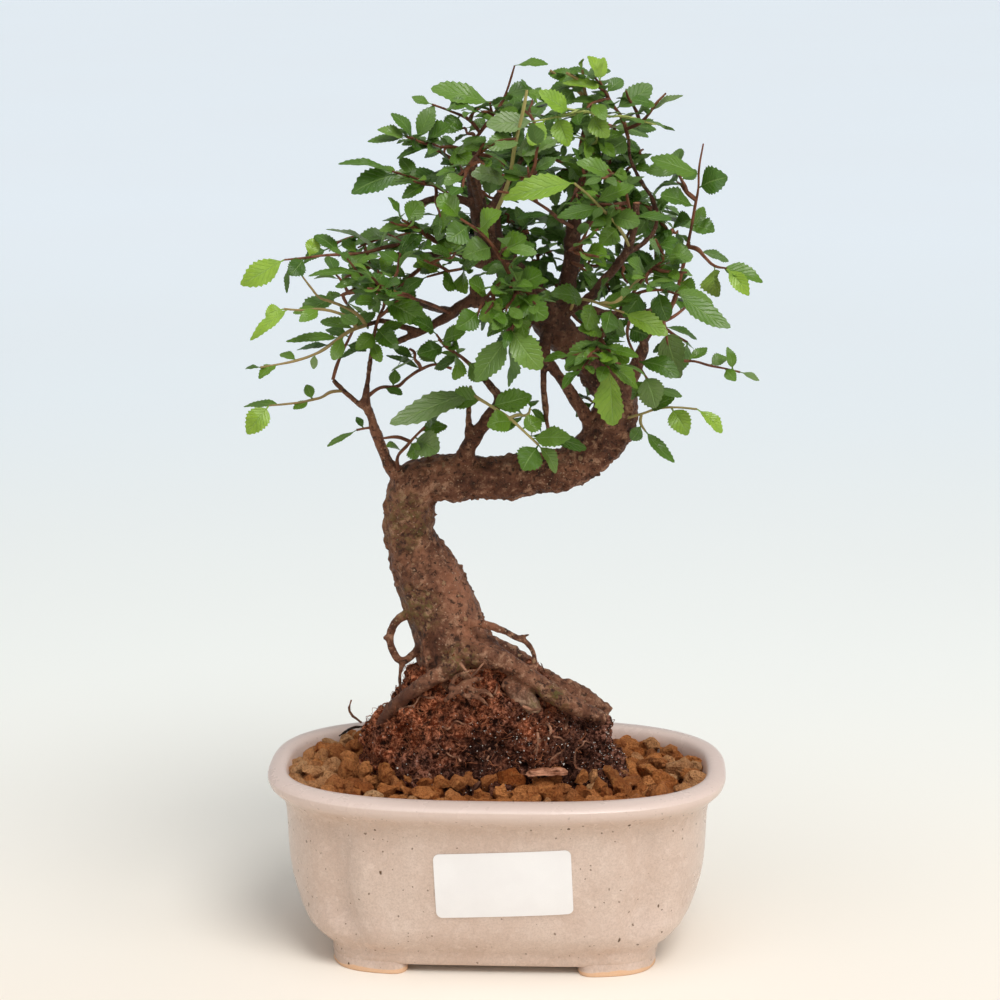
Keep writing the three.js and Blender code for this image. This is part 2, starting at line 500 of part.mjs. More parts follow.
    leaves: [
      [-31, 246.6, -35.6, 254, -3, 8.6, 60], [-27, 244.6, -38.4, 243, -4, 7, 45],
        [-22, 241.4, -11.6, 250.6, -6, 9, 50],
      [-23.6, 242.6, -31.6, 235.4, -6, 8, 60], [-20.4, 240.4, -12, 238, -8, 7.6, 50],
        [-29, 245.6, -24.4, 252.6, 5, 7, 50],
    ],
  },
  {
    name: 'shoot_left_middle',
    radius: [0.85, 0.45],
    twigs: [[[-22, 235, -6], [-25, 231, -8], [-29, 227.6, -9], [-33, 224.2, -9], [-38, 221, -9]]],
    leaves: [
      [-29, 227.6, -36.6, 230.6, 5, 7, 55], [-33, 224.2, -27.4, 219, -4, 7, 55],
        [-26.4, 229.8, -18.4, 231.4, -6, 7, 45],
      [-35, 223, -41.8, 228, 6, 6.4, 45], [-38, 221, -47.4, 223.6, 4, 6.4, 45],
    ],
  },
  {
    name: 'shoot_centre_dark',
    radius: [0.7, 0.42],
    twigs: [[[-7, 232.6, 0], [-11, 230.8, -10], [-17, 229.6, -15], [-23, 228, -18]]],
    leaves: [
      [-15, 230, -16.6, 223.6, -5, 7.6, 65], [-11, 230.8, -10, 222.4, -6, 7, 60],
        [-19, 229.2, -26.4, 234, -4, 7, 50],
      [-23, 228, -30.6, 223, -3, 7.4, 55], [-13, 230.4, -5, 235.6, -7, 8, 55],
    ],
  },
  {
    name: 'shoot_centre_front',
    radius: [0.8, 0.4],
    twigs: [
      [[4.5, 228, -30], [6.6, 223, -36], [8, 217.4, -40]],
      [[4.5, 228, -30], [0, 236, -38], [-6, 243, -43], [-12, 247, -46]],
      [[4.5, 228, -30], [-4, 223, -37], [-12, 218.6, -42], [-19, 214, -45]],
    ],
    leaves: [
      [8, 217.4, 9.4, 207.8, -3, 9, 70], [7, 221, 16.4, 214.4, -6, 8.4, 55],
        [6, 224.6, 14.6, 229, -6, 9, 60],
      [0, 236, 9.6, 240.8, -5, 9, 55], [-2, 238.4, -11.4, 234.6, -5, 8.6, 55],
        [-6, 243, 1.4, 249.4, -4, 8.4, 60],
      [-9, 245, -16.4, 240, -5, 8.4, 60], [-12, 247, -19.6, 254, -2, 8.6, 55],
        [-4, 223, -1.4, 214, -5, 8.4, 60],
      [-7.6, 221, -14.4, 227, -5, 8, 60], [-12, 218.6, -8.6, 210.4, -5, 8, 60],
        [-15.6, 216.4, -23.4, 220.4, -4, 7.6, 55],
      [-19, 214, -27.6, 207.6, -3, 8, 55], [2.6, 226.6, 1.6, 218.6, -7, 8, 60],
    ],
  },
  { name: 'shoot_crown_front_high', radius: [0.75, 0.4], twigs: [[[-9.5, 264, -21], [-6, 268, -31],
    [0, 272, -38], [6, 273, -42]]], leaves: [], loose: [7, 15] },
  { name: 'shoot_crown_front_right', radius: [0.75, 0.4], twigs: [[[44.8, 245, -6], [43, 250, -20],
    [41, 257, -31], [36, 263, -38]]], leaves: [], loose: [7, 15] },
  { name: 'shoot_crown_middle', radius: [0.75, 0.4], twigs: [[[25, 244, 8], [20, 247, -12], [15, 251, -28],
    [8, 254.6, -38], [0, 256, -44]]], leaves: [], loose: [9, 15] },
  { name: 'shoot_crown_low_right', radius: [0.75, 0.4], twigs: [[[24, 233, 9], [28, 231.6, -10],
    [30, 233.6, -26], [27, 237.6, -38]]], leaves: [], loose: [8, 15] },
  { name: 'shoot_crown_low_left', radius: [0.75, 0.4], twigs: [[[-15, 215.8, -6], [-22, 219, -17],
    [-30, 221.6, -28], [-37, 223, -36]]], leaves: [], loose: [7, 14] },
  { name: 'shoot_back_right', radius: [0.75, 0.4], twigs: [[[42, 254.5, 29], [48, 252, 34],
    [56, 247, 38]]], leaves: [], loose: [8, 16] },
  { name: 'shoot_back_middle', radius: [0.75, 0.4], twigs: [[[28, 236, 33], [23, 242, 38],
    [13, 247, 42]]], leaves: [], loose: [8, 16] },
  { name: 'shoot_back_left', radius: [0.75, 0.4], twigs: [[[-18, 244.5, 32], [-27, 243, 35],
    [-38, 239, 38]]], leaves: [], loose: [8, 16] },
  { name: 'shoot_side_left', radius: [0.75, 0.4], twigs: [[[-34, 222, 23], [-44, 223, 29],
    [-56, 221, 34]]], leaves: [], loose: [8, 16] },
  { name: 'shoot_back_top', radius: [0.75, 0.4], twigs: [[[13.5, 275, 17], [10, 281, 25],
    [3, 285, 32]]], leaves: [], loose: [7, 14] },
  { name: 'shoot_back_low', radius: [0.75, 0.4], twigs: [[[24, 227, 26], [17, 217, 34],
    [6, 208, 38]]], leaves: [], loose: [8, 16] },
  { name: 'shoot_side_right', radius: [0.75, 0.4], twigs: [[[52.5, 212.5, 25], [58, 215, 33],
    [64, 220, 40]]], leaves: [], loose: [7, 15] },
  { name: 'shoot_top_back', radius: [0.75, 0.4], twigs: [[[33, 275, 0], [37, 277, 12],
    [40, 276, 24]]], leaves: [], loose: [8, 13] },
  { name: 'shoot_left_back', radius: [0.75, 0.4], twigs: [[[-29, 237, -5], [-36, 242, 9],
    [-46, 241, 23]]], leaves: [], loose: [8, 15] },
  { name: 'shoot_high_back', radius: [0.75, 0.4], twigs: [[[-7.5, 257, 3], [-16, 261, 15],
    [-26, 261, 26]]], leaves: [], loose: [8, 15] },
  { name: 'shoot_inner_back', radius: [0.75, 0.4], twigs: [[[-1, 238, 5], [-7, 240, 18], [-4, 256, 30],
    [2, 266, 38]]], leaves: [], loose: [9, 15] },
];

// Small plain helpers
const radians = (degrees) => (degrees * Math.PI) / 180;
const vector = (p) => new THREE.Vector3(p[0], p[1], p[2]);

let randomState = 20261127;
function random() {
  randomState = (randomState * 16807) % 2147483647;
  return randomState / 2147483647;
}

function seen(x, z, y) {
  const k = (y - VIEW_POINT[1]) / -VIEW_POINT[1];
  const [viewX, , viewZ] = VIEW_POINT;
  return new THREE.Vector3(viewX + (x - viewX) * k, y, viewZ + (z - viewZ) * k);
}

// A closed solid from a geometry, with its doubled vertices joined
function solid(geometry) {
  const bare = geometry.clone();
  bare.deleteAttribute('normal');
  bare.deleteAttribute('uv');
  const merged = mergeVertices(bare, 1e-4);
  const index = merged.index.array;
  const kept = [];
  for (let i = 0; i < index.length; i += 3) {
    const [a, b, c] = [index[i], index[i + 1], index[i + 2]];
    if (a !== b && b !== c && a !== c) {
      kept.push(a, b, c);
    }
  }
  const vertProperties = Float32Array.from(merged.attributes.position.array);
  return new Manifold(new Mesh({ numProp: 3, vertProperties, triVerts: Uint32Array.from(kept) }));
}

function largestPiece(body) {
  const pieces = body.decompose();
  pieces.sort((a, b) => b.volume() - a.volume());
  return pieces[0];
}

// A rod bent along a smooth line through rows of point and radius, thicker by grow all over
function rod(points, radii, sides, perSpan, grow = 0, roughness = 0) {
  const curve = new THREE.CatmullRomCurve3(points, false, 'centripetal');
  const spans = points.length - 1;
  const rings = spans * perSpan;
  const geometry = new THREE.CylinderGeometry(1, 1, 1, sides, rings);
  const frames = [];
  let across = new THREE.Vector3(0, 1, 0);
  for (let i = 0; i <= rings; i += 1) {
    const t = i / rings;
    const along = curve.getTangent(t).normalize();
    if (i === 0 && Math.abs(along.y) > 0.9) {
      across.set(1, 0, 0);
    }
    across = across.clone().addScaledVector(along, -across.dot(along)).normalize();
    const third = new THREE.Vector3().crossVectors(across, along);
    const middle = curve.getPoint(t);
    if (i === 0) {
      middle.addScaledVector(along, -grow);
    }
    if (i === rings) {
      middle.addScaledVector(along, grow);
    }
    const at = Math.min(t * spans, spans - 1e-9);
    const low = Math.floor(at);
    const radius = radii[low] + (radii[low + 1] - radii[low]) * (at - low) + grow;
    frames.push({ middle, across, third, radius, at });
  }
  const position = geometry.attributes.position;
  for (let i = 0; i < position.count; i += 1) {
    const x = position.getX(i);
    const z = position.getZ(i);
    const frame = frames[Math.round((position.getY(i) + 0.5) * rings)];
    const angle = Math.atan2(z, x);
    const waves = Math.sin(3 * angle + 2.1 * frame.at) + Math.sin(2 * angle - 3.7 * frame.at + 1);
    const swell = 1 + roughness * waves;
    const r = frame.radius * swell;
    const p = frame.middle.clone().addScaledVector(frame.across, x * r).addScaledVector(frame.third, z * r);
    position.setXYZ(i, p.x, p.y, p.z);
  }
  return solid(geometry);
}

// The pot and what fills it
function planPoint(ring, angle) {
  const power = 2 / POT_PLAN_POWER;
  const small = (POT_SMALL_RING - POT_LENGTH_LESS_WIDTH) / POT_SMALL_RING;
  const halfWidth = ring > POT_SMALL_RING ? ring - POT_LENGTH_LESS_WIDTH : ring * small;
  const cos = Math.cos(angle);
  const sin = Math.sin(angle);
  const x = Math.sign(cos) * Math.abs(cos) ** power * ring;
  const y = Math.sign(sin) * Math.abs(sin) ** power * halfWidth;
  return [x, y];
}

// A lathe profile of half length and height, pressed from a circle to the pot's plan
function pressed(profile, sides = POT_SIDES) {
  const geometry = new THREE.LatheGeometry(profile.map(([r, z]) => new THREE.Vector2(r, z)), sides);
  const position = geometry.attributes.position;
  for (let i = 0; i < position.count; i += 1) {
    const x = position.getX(i);
    const z = position.getZ(i);
    const ring = Math.hypot(x, z);
    const side = ((Math.round((Math.atan2(-z, x) / (2 * Math.PI)) * sides) % sides) + sides) % sides;
    const [px, py] = ring < 1e-6 ? [0, 0] : planPoint(ring, (side / sides) * 2 * Math.PI);
    position.setXYZ(i, px, py, position.getY(i));
  }
  return solid(geometry);
}

const POT_OUTSIDE = [
  [0, FOOT_HEIGHT], [60, FOOT_HEIGHT], [61.4, 4.2], [62.8, 10.2], [67, 17.6], [69.8, WALL_BEND], [71.2, 42],
  [71, 53.6], [72.4, 56], [75.8, 57.2], [POT_HALF_LENGTH, 59.6], [76.8, 61.8], [74, POT_HEIGHT],
  [70.8, 62.4], [69.2, 60.2],
];
const POT_INSIDE = [[68.2, 52], [66.4, 32], [63.6, 20], [58, 12.6], [FLOOR_RING, FLOOR_TOP], [0, FLOOR_TOP]];

// A foot's outline: a strip with round ends along the corner of the pot's base
function footOutline() {
  const middle = [];
  for (let i = 0; i <= FOOT_STEPS; i += 1) {
    const [x, y] = planPoint(FOOT_RING, radians(FOOT_FROM + ((FOOT_TO - FOOT_FROM) * i) / FOOT_STEPS));
    middle.push(new THREE.Vector2(x * 0.94, y * 0.96));
  }
  const outer = [];
  const inner = [];
  middle.forEach((p, i) => {
    const before = middle[Math.max(i - 1, 0)];
    const after = middle[Math.min(i + 1, FOOT_STEPS)];
    const across = new THREE.Vector2(after.y - before.y, before.x - after.x);
    across.setLength(FOOT_HALF_WIDTH);
    outer.push(p.clone().add(across));
    inner.push(p.clone().sub(across));
  });
  const roundEnd = (p, q) => {
    const centre = p.clone().add(q).multiplyScalar(0.5);
    return [45, 90, 135].map((degrees) => p.clone().rotateAround(centre, radians(degrees)));
  };
  const last = roundEnd(outer[FOOT_STEPS], inner[FOOT_STEPS]);
  const first = roundEnd(inner[0], outer[0]);
  return new THREE.Shape([...outer, ...last, ...inner.reverse(), ...first]);
}

function foot(mirrorX, mirrorY) {
  const geometry = new THREE.ExtrudeGeometry(footOutline(), {
    depth: FOOT_TOP - FOOT_BEVEL,
    bevelThickness: FOOT_BEVEL,
    bevelSize: FOOT_BEVEL,
    bevelOffset: -FOOT_BEVEL,
    bevelSegments: 1,
  });
  geometry.translate(0, 0, FOOT_BEVEL);
  return solid(geometry).scale([mirrorX, mirrorY, 1]);
}

function buildPot() {
  let pot = pressed([...POT_OUTSIDE, ...POT_INSIDE]);
  const cavity = pressed([[0, FLOOR_TOP], [FLOOR_RING, FLOOR_TOP], [58, 12.6], [60, 14], [60, 40], [0, 40]]);
  for (const mirrorX of [1, -1]) {
    for (const mirrorY of [1, -1]) {
      pot = pot.add(foot(mirrorX, mirrorY).subtract(cavity));
    }
  }
  for (const x of [-DRAIN_X, DRAIN_X]) {
    const hole = new THREE.CylinderGeometry(DRAIN_RADIUS, DRAIN_RADIUS, 40, 20);
    hole.rotateX(Math.PI / 2);
    hole.translate(x, 0, 0);
    pot = pot.subtract(solid(hole));
  }
  return pot;
}

// The space inside the pot, narrowed by inset, from one height to another
function insidePot(inset, low, high) {
  const profile = [...POT_INSIDE].reverse().map(([r, z]) => {
    return [Math.max(r - inset, 0), z < 13 ? z + inset : z];
  });
  const block = pressed([...profile, [69.2 - inset, 60.2], [70 - inset, 66], [0, 66]]);
  const slab = new THREE.BoxGeometry(200, 200, high - low);
  slab.translate(0, 0, (low + high) / 2);
  return block.intersect(solid(slab));
}

function rootBall(grow) {
  const rings = BALL_RINGS;
  const sides = 28;
  const geometry = new THREE.CylinderGeometry(1, 1, 1, sides, rings.length - 1);
  const position = geometry.attributes.position;
  for (let i = 0; i < position.count; i += 1) {
    const level = Math.round((position.getY(i) + 0.5) * (rings.length - 1));
    const [z, middle, halfX, halfY] = rings[level];
    const angle = Math.atan2(position.getZ(i), position.getX(i));
    const reach = Math.hypot(position.getX(i), position.getZ(i));
    const lump = 1 + 0.035 * Math.sin(5 * angle + 1.7 * level) + 0.03 * Math.sin(9 * angle - 2.3 * level);
    const end = level === 0 ? -grow : grow;
    const lift = level === 0 || level === rings.length - 1 ? end : 0;
    const x = middle + Math.cos(angle) * reach * (halfX * lump + grow);
    const y = -Math.sin(angle) * reach * (halfY * lump + grow);
    position.setXYZ(i, x, y, z + lift);
  }
  return solid(geometry);
}

// Akadama: a bed of joined grains, each a twisted twenty-sided lump
function akadama(ball) {
  let bed = insidePot(GAP, SOIL_TOP + GAP, BED_TOP);
  const grains = [];
  const rowPitch = GRAIN_PITCH * 0.87;
  for (let row = -6; row <= 6; row += 1) {
    for (let column = -9; column <= 9; column += 1) {
      const x = (column + (row % 2 === 0 ? 0 : 0.5)) * GRAIN_PITCH + (random() - 0.5) * GRAIN_JITTER;
      const y = row * rowPitch + (random() - 0.5) * GRAIN_JITTER;
      const size = GRAIN_RADIUS * (0.8 + 0.4 * random());
      const lift = BED_TOP + 0.6 + 1.6 * random();
      const turn = [random() * 180, random() * 180, random() * 360];
      const plan = (Math.abs(x) / BED_HALF_LENGTH) ** POT_PLAN_POWER
        + (Math.abs(y) / BED_HALF_WIDTH) ** POT_PLAN_POWER;
      const inBall = ((x + 2) / BARE_HALF_LENGTH) ** 2 + (y / BARE_HALF_WIDTH) ** 2;
      if (plan < 1 && inBall > 1) {
        const grain = new THREE.IcosahedronGeometry(size, 0);
        grain.scale(1.1, 0.95, 0.9);
        grains.push(solid(grain).rotate(turn).translate([x, y, lift]));
      }
    }
  }
  bed = Manifold.union([bed, ...grains]);
  const keepIn = insidePot(GAP, SOIL_TOP + GAP, 66);
  return largestPiece(bed.intersect(keepIn).subtract(ball));
}

// The blank label, bent to the front wall
function wallDepth(x, z) {
  const levels = POT_OUTSIDE.filter(([r]) => r > POT_SMALL_RING);
  let ring = levels[0][0];
  for (let i = 0; i + 1 < levels.length && levels[i][1] < z; i += 1) {
    const share = Math.min(Math.max((z - levels[i][1]) / (levels[i + 1][1] - levels[i][1]), 0), 1);
    ring = levels[i][0] + (levels[i + 1][0] - levels[i][0]) * share;
  }
  const halfWidth = ring - POT_LENGTH_LESS_WIDTH;
  return -halfWidth * (1 - (Math.abs(x) / ring) ** POT_PLAN_POWER) ** (1 / POT_PLAN_POWER);
}

function label() {
  const [w, h] = [LABEL_WIDTH / 2, LABEL_HEIGHT / 2];
  const columns = [-w, LABEL_CORNER - w, -w / 2, 0, w / 2, w - LABEL_CORNER, w];
  const rows = [-h, LABEL_CORNER - h, WALL_BEND - LABEL_Z, h - LABEL_CORNER, h];
  const [wide, high] = [columns.length - 1, rows.length - 1];
  const plate = new THREE.BoxGeometry(wide, high, LABEL_THICKNESS, wide, high, 1);
  const [cos, sin] = [Math.cos(radians(LABEL_TURN)), Math.sin(radians(LABEL_TURN))];
  const position = plate.attributes.position;
  for (let i = 0; i < position.count; i += 1) {
    let across = columns[Math.round(position.getX(i) + wide / 2)];
    let up = rows[Math.round(position.getY(i) + high / 2)];
    if (Math.abs(across) === w && Math.abs(up) === h) {
      across = Math.sign(across) * (w - LABEL_CORNER * (1 - Math.SQRT1_2));
      up = Math.sign(up) * (h - LABEL_CORNER * (1 - Math.SQRT1_2));
    }
    const x = LABEL_X + across * cos - up * sin;
    const z = LABEL_Z + across * sin + up * cos;
    position.setXYZ(i, x, wallDepth(x, z) - GAP - LABEL_THICKNESS / 2 - position.getZ(i), z);
  }
  return solid(plate);
}

function drainMesh(x) {
  const plate = new THREE.CylinderGeometry(DRAIN_MESH_RADIUS, DRAIN_MESH_RADIUS, 1, 20);
  plate.rotateX(Math.PI / 2);
  let body = solid(plate);
  for (const dx of [-3, 3]) {
    for (const dy of [-3, 3]) {
      const hole = new THREE.BoxGeometry(DRAIN_MESH_HOLE, DRAIN_MESH_HOLE, 4);
      hole.translate(dx, dy, 0);
      body = body.subtract(solid(hole));
    }
  }
  return body.translate([x, 0, FLOOR_TOP + GAP + 0.5]);
}

// A small piece let down until it lies just above what is below it
const SETTLE_STEP = 0.1;
function settle(piece, ground) {
  let drop = 0;
  while (drop < 30 && piece.translate([0, 0, -drop - SETTLE_STEP]).intersect(ground).volume() < 1e-9) {
    drop += SETTLE_STEP;
  }
  return piece.translate([0, 0, GAP - drop]);
}

// A flat sliver of bark, lying against the front of the root ball
function barkChip() {
  const outline = [[-7, -0.4], [-4, -1.3], [1, -1.5], [5, -1.1], [7.3, -0.2], [6.6, 0.9], [2, 1.3],
    [-3, 1.1], [-6.4, 0.6]];
  const shape = new THREE.Shape(outline.map(([x, y]) => new THREE.Vector2(x, y)));
  const chip = new THREE.ExtrudeGeometry(shape, { depth: 1, bevelEnabled: false, curveSegments: 1 });
  return solid(chip).rotate([24, 3, 4]).translate([17.2, -27.5, 75]);
}

// A thin dead twig, lying on the grains behind the left of the root ball
function dryTwig() {
  const line = [[-54.5, 23, 80], [-52.4, 24.5, 80.7], [-49.4, 25.4, 81], [-44.6, 26, 80.7]].map(vector);
  return rod(line, [0.45, 0.65, 0.6, 0.4], 5, 2);
}

// Limbs and roots, joined into the one grown piece
function grownWood(grow) {
  const parts = [];
  for (const [name, rows] of Object.entries({ ...LIMBS, ...ROOTS })) {
    const points = rows.map(([x, z, y]) => seen(x, z, y));
    const radii = rows.map((row) => row[3]);
    const thick = Math.max(...radii);
    const sides = name === 'trunk' ? 12 : thick > 3.5 ? 7 : thick > 2 ? 6 : 4;
    parts.push(rod(points, radii, sides, 1, grow, name === 'trunk' ? 0.03 : 0.02));
  }
  return Manifold.union(parts);
}

// The nearest point on a limb's middle line, where a shoot grows out
const limbLines = Object.values(LIMBS).map((rows) => rows.map(([x, z, y]) => seen(x, z, y)));
function nearestOnLimb(point) {
  let best = null;
  let bestDistance = Infinity;
  const onLine = new THREE.Vector3();
  for (const line of limbLines) {
    for (let i = 0; i + 1 < line.length; i += 1) {
      new THREE.Line3(line[i], line[i + 1]).closestPointToPoint(point, true, onLine);
      const distance = onLine.distanceTo(point);
      if (distance < bestDistance) {
        bestDistance = distance;
        best = onLine.clone();
      }
    }
  }
  return best;
}

// A leaf's own directions: along it, its upper face, across it
function leafAxes(base, tip, lean) {
  const along = tip.clone().sub(base).normalize();
  const up = new THREE.Vector3(0, 0, 1).addScaledVector(along, -along.z).normalize();
  const side = new THREE.Vector3().crossVectors(along, up);
  if (side.y > 0) {
    side.negate();
  }
  const tilt = radians(lean);
  const face = up.multiplyScalar(Math.cos(tilt)).addScaledVector(side, Math.sin(tilt)).normalize();
  return { along, face, across: new THREE.Vector3().crossVectors(face, along) };
}

// A thin closed blade: flat below, raised along its middle, with a pointed base and tip
const BLADE_OUTLINE = [[0, 0], [0.24, -0.43], [0.62, -0.5], [1, 0], [0.62, 0.5], [0.24, 0.43]];
const BLADE_PEAK = 0.45;
function blade(leaf, grow = 0) {
  const { along, face, across } = leafAxes(leaf.base, leaf.tip, leaf.lean);
  const base = leaf.base.clone().addScaledVector(along, -leaf.root - grow);
  const length = base.distanceTo(leaf.tip) + grow;
  const outline = new THREE.Shape(BLADE_OUTLINE.map(([u, v]) => new THREE.Vector2(u, v)));
  const underside = new THREE.ShapeGeometry(outline);
  const corners = BLADE_OUTLINE.length;
  const faces = [];
  const flat = underside.index.array;
  for (let i = 0; i < flat.length; i += 3) {
    faces.push(flat[i], flat[i + 2], flat[i + 1]);
  }
  for (let i = 0; i < corners; i += 1) {
    faces.push((i + 1) % corners, i, corners);
  }
  const places = [];
  const spots = underside.attributes.position;
  for (let i = 0; i <= corners; i += 1) {
    const peak = [BLADE_PEAK, 0, LEAF_THICKNESS + grow];
    const [u, v, lift] = i < corners ? [spots.getX(i), spots.getY(i), -grow] : peak;
    const p = base.clone().addScaledVector(along, u * length);
    p.addScaledVector(across, v * (leaf.width + 2 * grow)).addScaledVector(face, lift);
    places.push(p.x, p.y, p.z);
  }
  const geometry = new THREE.BufferGeometry();
  geometry.setAttribute('position', new THREE.Float32BufferAttribute(places, 3));
  geometry.setIndex(faces);
  return solid(geometry);
}

const BLADE_SPOTS = [
  [0.25, 0], [0.45, 0], [0.65, 0], [0.85, 0], [0.98, 0],
  [0.3, 0.35], [0.3, -0.35], [0.5, 0.42], [0.5, -0.42], [0.7, 0.35], [0.7, -0.35],
];
function bladeSamples(leaf) {
  const { along, across } = leafAxes(leaf.base, leaf.tip, leaf.lean);
  const length = leaf.base.distanceTo(leaf.tip);
  return BLADE_SPOTS.map(([u, v]) => {
    return leaf.base.clone().addScaledVector(along, u * length).addScaledVector(across, v * leaf.width);
  });
}

// Leaves by rule: they stand by turns on the two sides of the twig
function looseLeaves(twigs, count, length) {
  const leaves = [];
  const line = new THREE.CatmullRomCurve3(twigs[0], false, 'centripetal');
  for (let i = 0; i < count; i += 1) {
    const last = i === count - 1;
    const t = last ? 1 : 0.2 + (0.76 * i) / (count - 1);
    const base = line.getPoint(t);
    const along = line.getTangent(t).normalize();
    const side = new THREE.Vector3(along.y, -along.x, 0.05).setLength(i % 2 === 0 ? 1 : -1);
    const spread = last ? 0.1 : 0.8 + 0.5 * random();
    const rise = -0.45 + 0.75 * random();
    const way = along.clone().multiplyScalar(0.75).addScaledVector(side, spread);
    way.z += rise;
    way.normalize();
    const size = length * (0.75 + 0.45 * random());
    const lean = 5 + 55 * random();
    leaves.push({ base, tip: base.clone().addScaledVector(way, size), width: size * 0.6, lean });
  }
  return leaves;
}

// The lines and leaves of every shoot, in space
function layOut() {
  const laid = SHOOTS.map((shoot) => {
    const twigs = shoot.twigs.map((rows) => rows.map(([x, z, y]) => seen(x, z, y)));
    const start = nearestOnLimb(twigs[0][0]);
    if (start.distanceTo(twigs[0][0]) > 0.4) {
      twigs[0].unshift(start);
    } else {
      twigs[0][0] = start;
    }
    return { ...shoot, twigs };
  });
  for (const shoot of laid) {
    shoot.laidLeaves = shoot.leaves.map(([bx, bz, tx, tz, deeper, width, lean]) => {
      let best = null;
      shoot.twigs.forEach((twig) => twig.forEach((p, i) => {
        const next = twig[Math.min(i + 1, twig.length - 1)];
        for (const share of [0, 0.25, 0.5, 0.75]) {
          const q = p.clone().lerp(next, share);
          const flat = seen(bx, bz, q.y);
          const distance = Math.hypot(flat.x - q.x, flat.z - q.z);
          if (best === null || distance < best.distance) {
            best = { distance, point: q };
          }
        }
      }));
      return { base: best.point, tip: seen(tx, tz, best.point.y + deeper), width, lean };
    });
    if (shoot.loose) {
      shoot.laidLeaves.push(...looseLeaves(shoot.twigs, shoot.loose[0], shoot.loose[1]));
    }
    for (const leaf of shoot.laidLeaves) {
      const atEnd = shoot.twigs.some((twig) => twig[twig.length - 1].distanceTo(leaf.base) < 0.2);
      leaf.root = atEnd ? LEAF_ROOT : 0;
    }
  }
  return laid;
}

// Each leaf is turned a little, up to a few times, until it stands clear of the others
function clearLeaves(shoots) {
  const taken = [];
  const turns = [[0, 0, 0], [0, 0, 3], [0, 0, -3], [14, 0, 4], [-14, 0, -4], [25, 2, 6], [-25, -2, -6],
    [0, 4, 8], [0, -4, -8]];
  shoots.forEach((shoot, index) => {
    const kept = [];
    shoot.laidLeaves.forEach((leaf) => {
      for (const [lean, dx, dy] of turns) {
        const tip = leaf.tip.clone().add(new THREE.Vector3(dx, dy, 0));
        const turned = { ...leaf, tip, lean: leaf.lean + lean };
        const samples = bladeSamples(turned);
        const clash = taken.some((other) => {
          if (other.middle.distanceTo(samples[1]) > 26) {
            return false;
          }
          const skip = other.index === index ? 2 : 0;
          return samples.slice(skip).some((p) => {
            return other.samples.slice(skip).some((q) => p.distanceTo(q) < LEAF_SPACING);
          });
        });
        if (!clash) {
          taken.push({ index, middle: samples[1], samples });
          kept.push(turned);
          break;
        }
      }
    });
    shoot.laidLeaves = kept;
  });
}

function twigSolid(twig, radius, grow) {
  const radii = twig.map((_, i) => radius[0] + ((radius[1] - radius[0]) * i) / (twig.length - 1));
  return rod(twig, radii, TWIG_SIDES, 1, grow);
}

function boxesMeet(a, b) {
  return [0, 1, 2].every((k) => a.min[k] <= b.max[k] && b.min[k] <= a.max[k]);
}

function buildShoots(woodAndRoom, ballRoom) {
  const shoots = layOut();
  clearLeaves(shoots);
  const twigRooms = shoots.map((shoot) => {
    return Manifold.union(shoot.twigs.map((twig) => twigSolid(twig, shoot.radius, GAP)));
  });
  const twigBoxes = twigRooms.map((room) => room.boundingBox());
  const placed = [];
  const built = [];
  shoots.forEach((shoot, index) => {
    const parts = shoot.twigs.map((twig) => twigSolid(twig, shoot.radius, 0));
    const leavesHere = [];
    for (const leaf of shoot.laidLeaves) {
      const room = blade(leaf, GAP);
      const box = room.boundingBox();
      const meets = (other) => boxesMeet(box, other.box) && room.intersect(other.body).volume() > 1e-6;
      const hitsTwig = twigRooms.some((other, k) => {
        return k !== index && meets({ box: twigBoxes[k], body: other });
      });
      if (!hitsTwig && !placed.some(meets) && ballRoom.intersect(room).volume() < 1e-6) {
        const body = blade(leaf);
        leavesHere.push({ body, box: body.boundingBox() });
        parts.push(body);
      }
    }
    let body = Manifold.union(parts).subtract(woodAndRoom);
    placed.filter((other) => boxesMeet(body.boundingBox(), other.box)).forEach((other) => {
      if (body.intersect(other.body).volume() > 1e-6) {
        throw new Error(`${shoot.name} runs through a leaf of ${other.name}`);
      }
    });
    body = largestPiece(body);
    placed.push(...leavesHere.map((leaf) => ({ ...leaf, name: shoot.name })));
    built.push({ name: shoot.name, body });
  });
  return built;
}

// Colours and finishes of the parts
const MATERIALS = {
  glaze: { color: 0xc9bbae, roughness: 0.3 },
  soil: { color: 0x3b2a20, roughness: 0.95 },
  akadama: { color: 0xa5642d, roughness: 0.95 },
  root_mass: { color: 0x4a2a1d, roughness: 0.95 },
  bark: { color: 0x5f4132, roughness: 0.85 },
  foliage: { color: 0x2d6e28, roughness: 0.5 },
  paper: { color: 0xf4f3ef, roughness: 0.6 },
  mesh_plastic: { color: 0x1c2420, roughness: 0.6 },
  dry_wood: { color: 0x7a4a30, roughness: 0.9 },
};

function meshOf(name, body, materialName) {
  const raw = body.getMesh();
  const geometry = new THREE.BufferGeometry();
  const count = raw.numProp;
  const positions = new Float32Array((raw.vertProperties.length / count) * 3);
  for (let i = 0; i < positions.length / 3; i += 1) {
    positions.set(raw.vertProperties.subarray(i * count, i * count + 3), i * 3);
  }
  geometry.setAttribute('position', new THREE.BufferAttribute(positions, 3));
  geometry.setIndex(new THREE.BufferAttribute(Uint32Array.from(raw.triVerts), 1));
  geometry.computeVertexNormals();
  const material = new THREE.MeshStandardMaterial({ ...MATERIALS[materialName], metalness: 0 });
  material.name = materialName;
  const mesh = new THREE.Mesh(geometry, material);
  mesh.name = name;
  return mesh;
}

const bonsai = new THREE.Group();
bonsai.name = 'chinese_elm_bonsai';

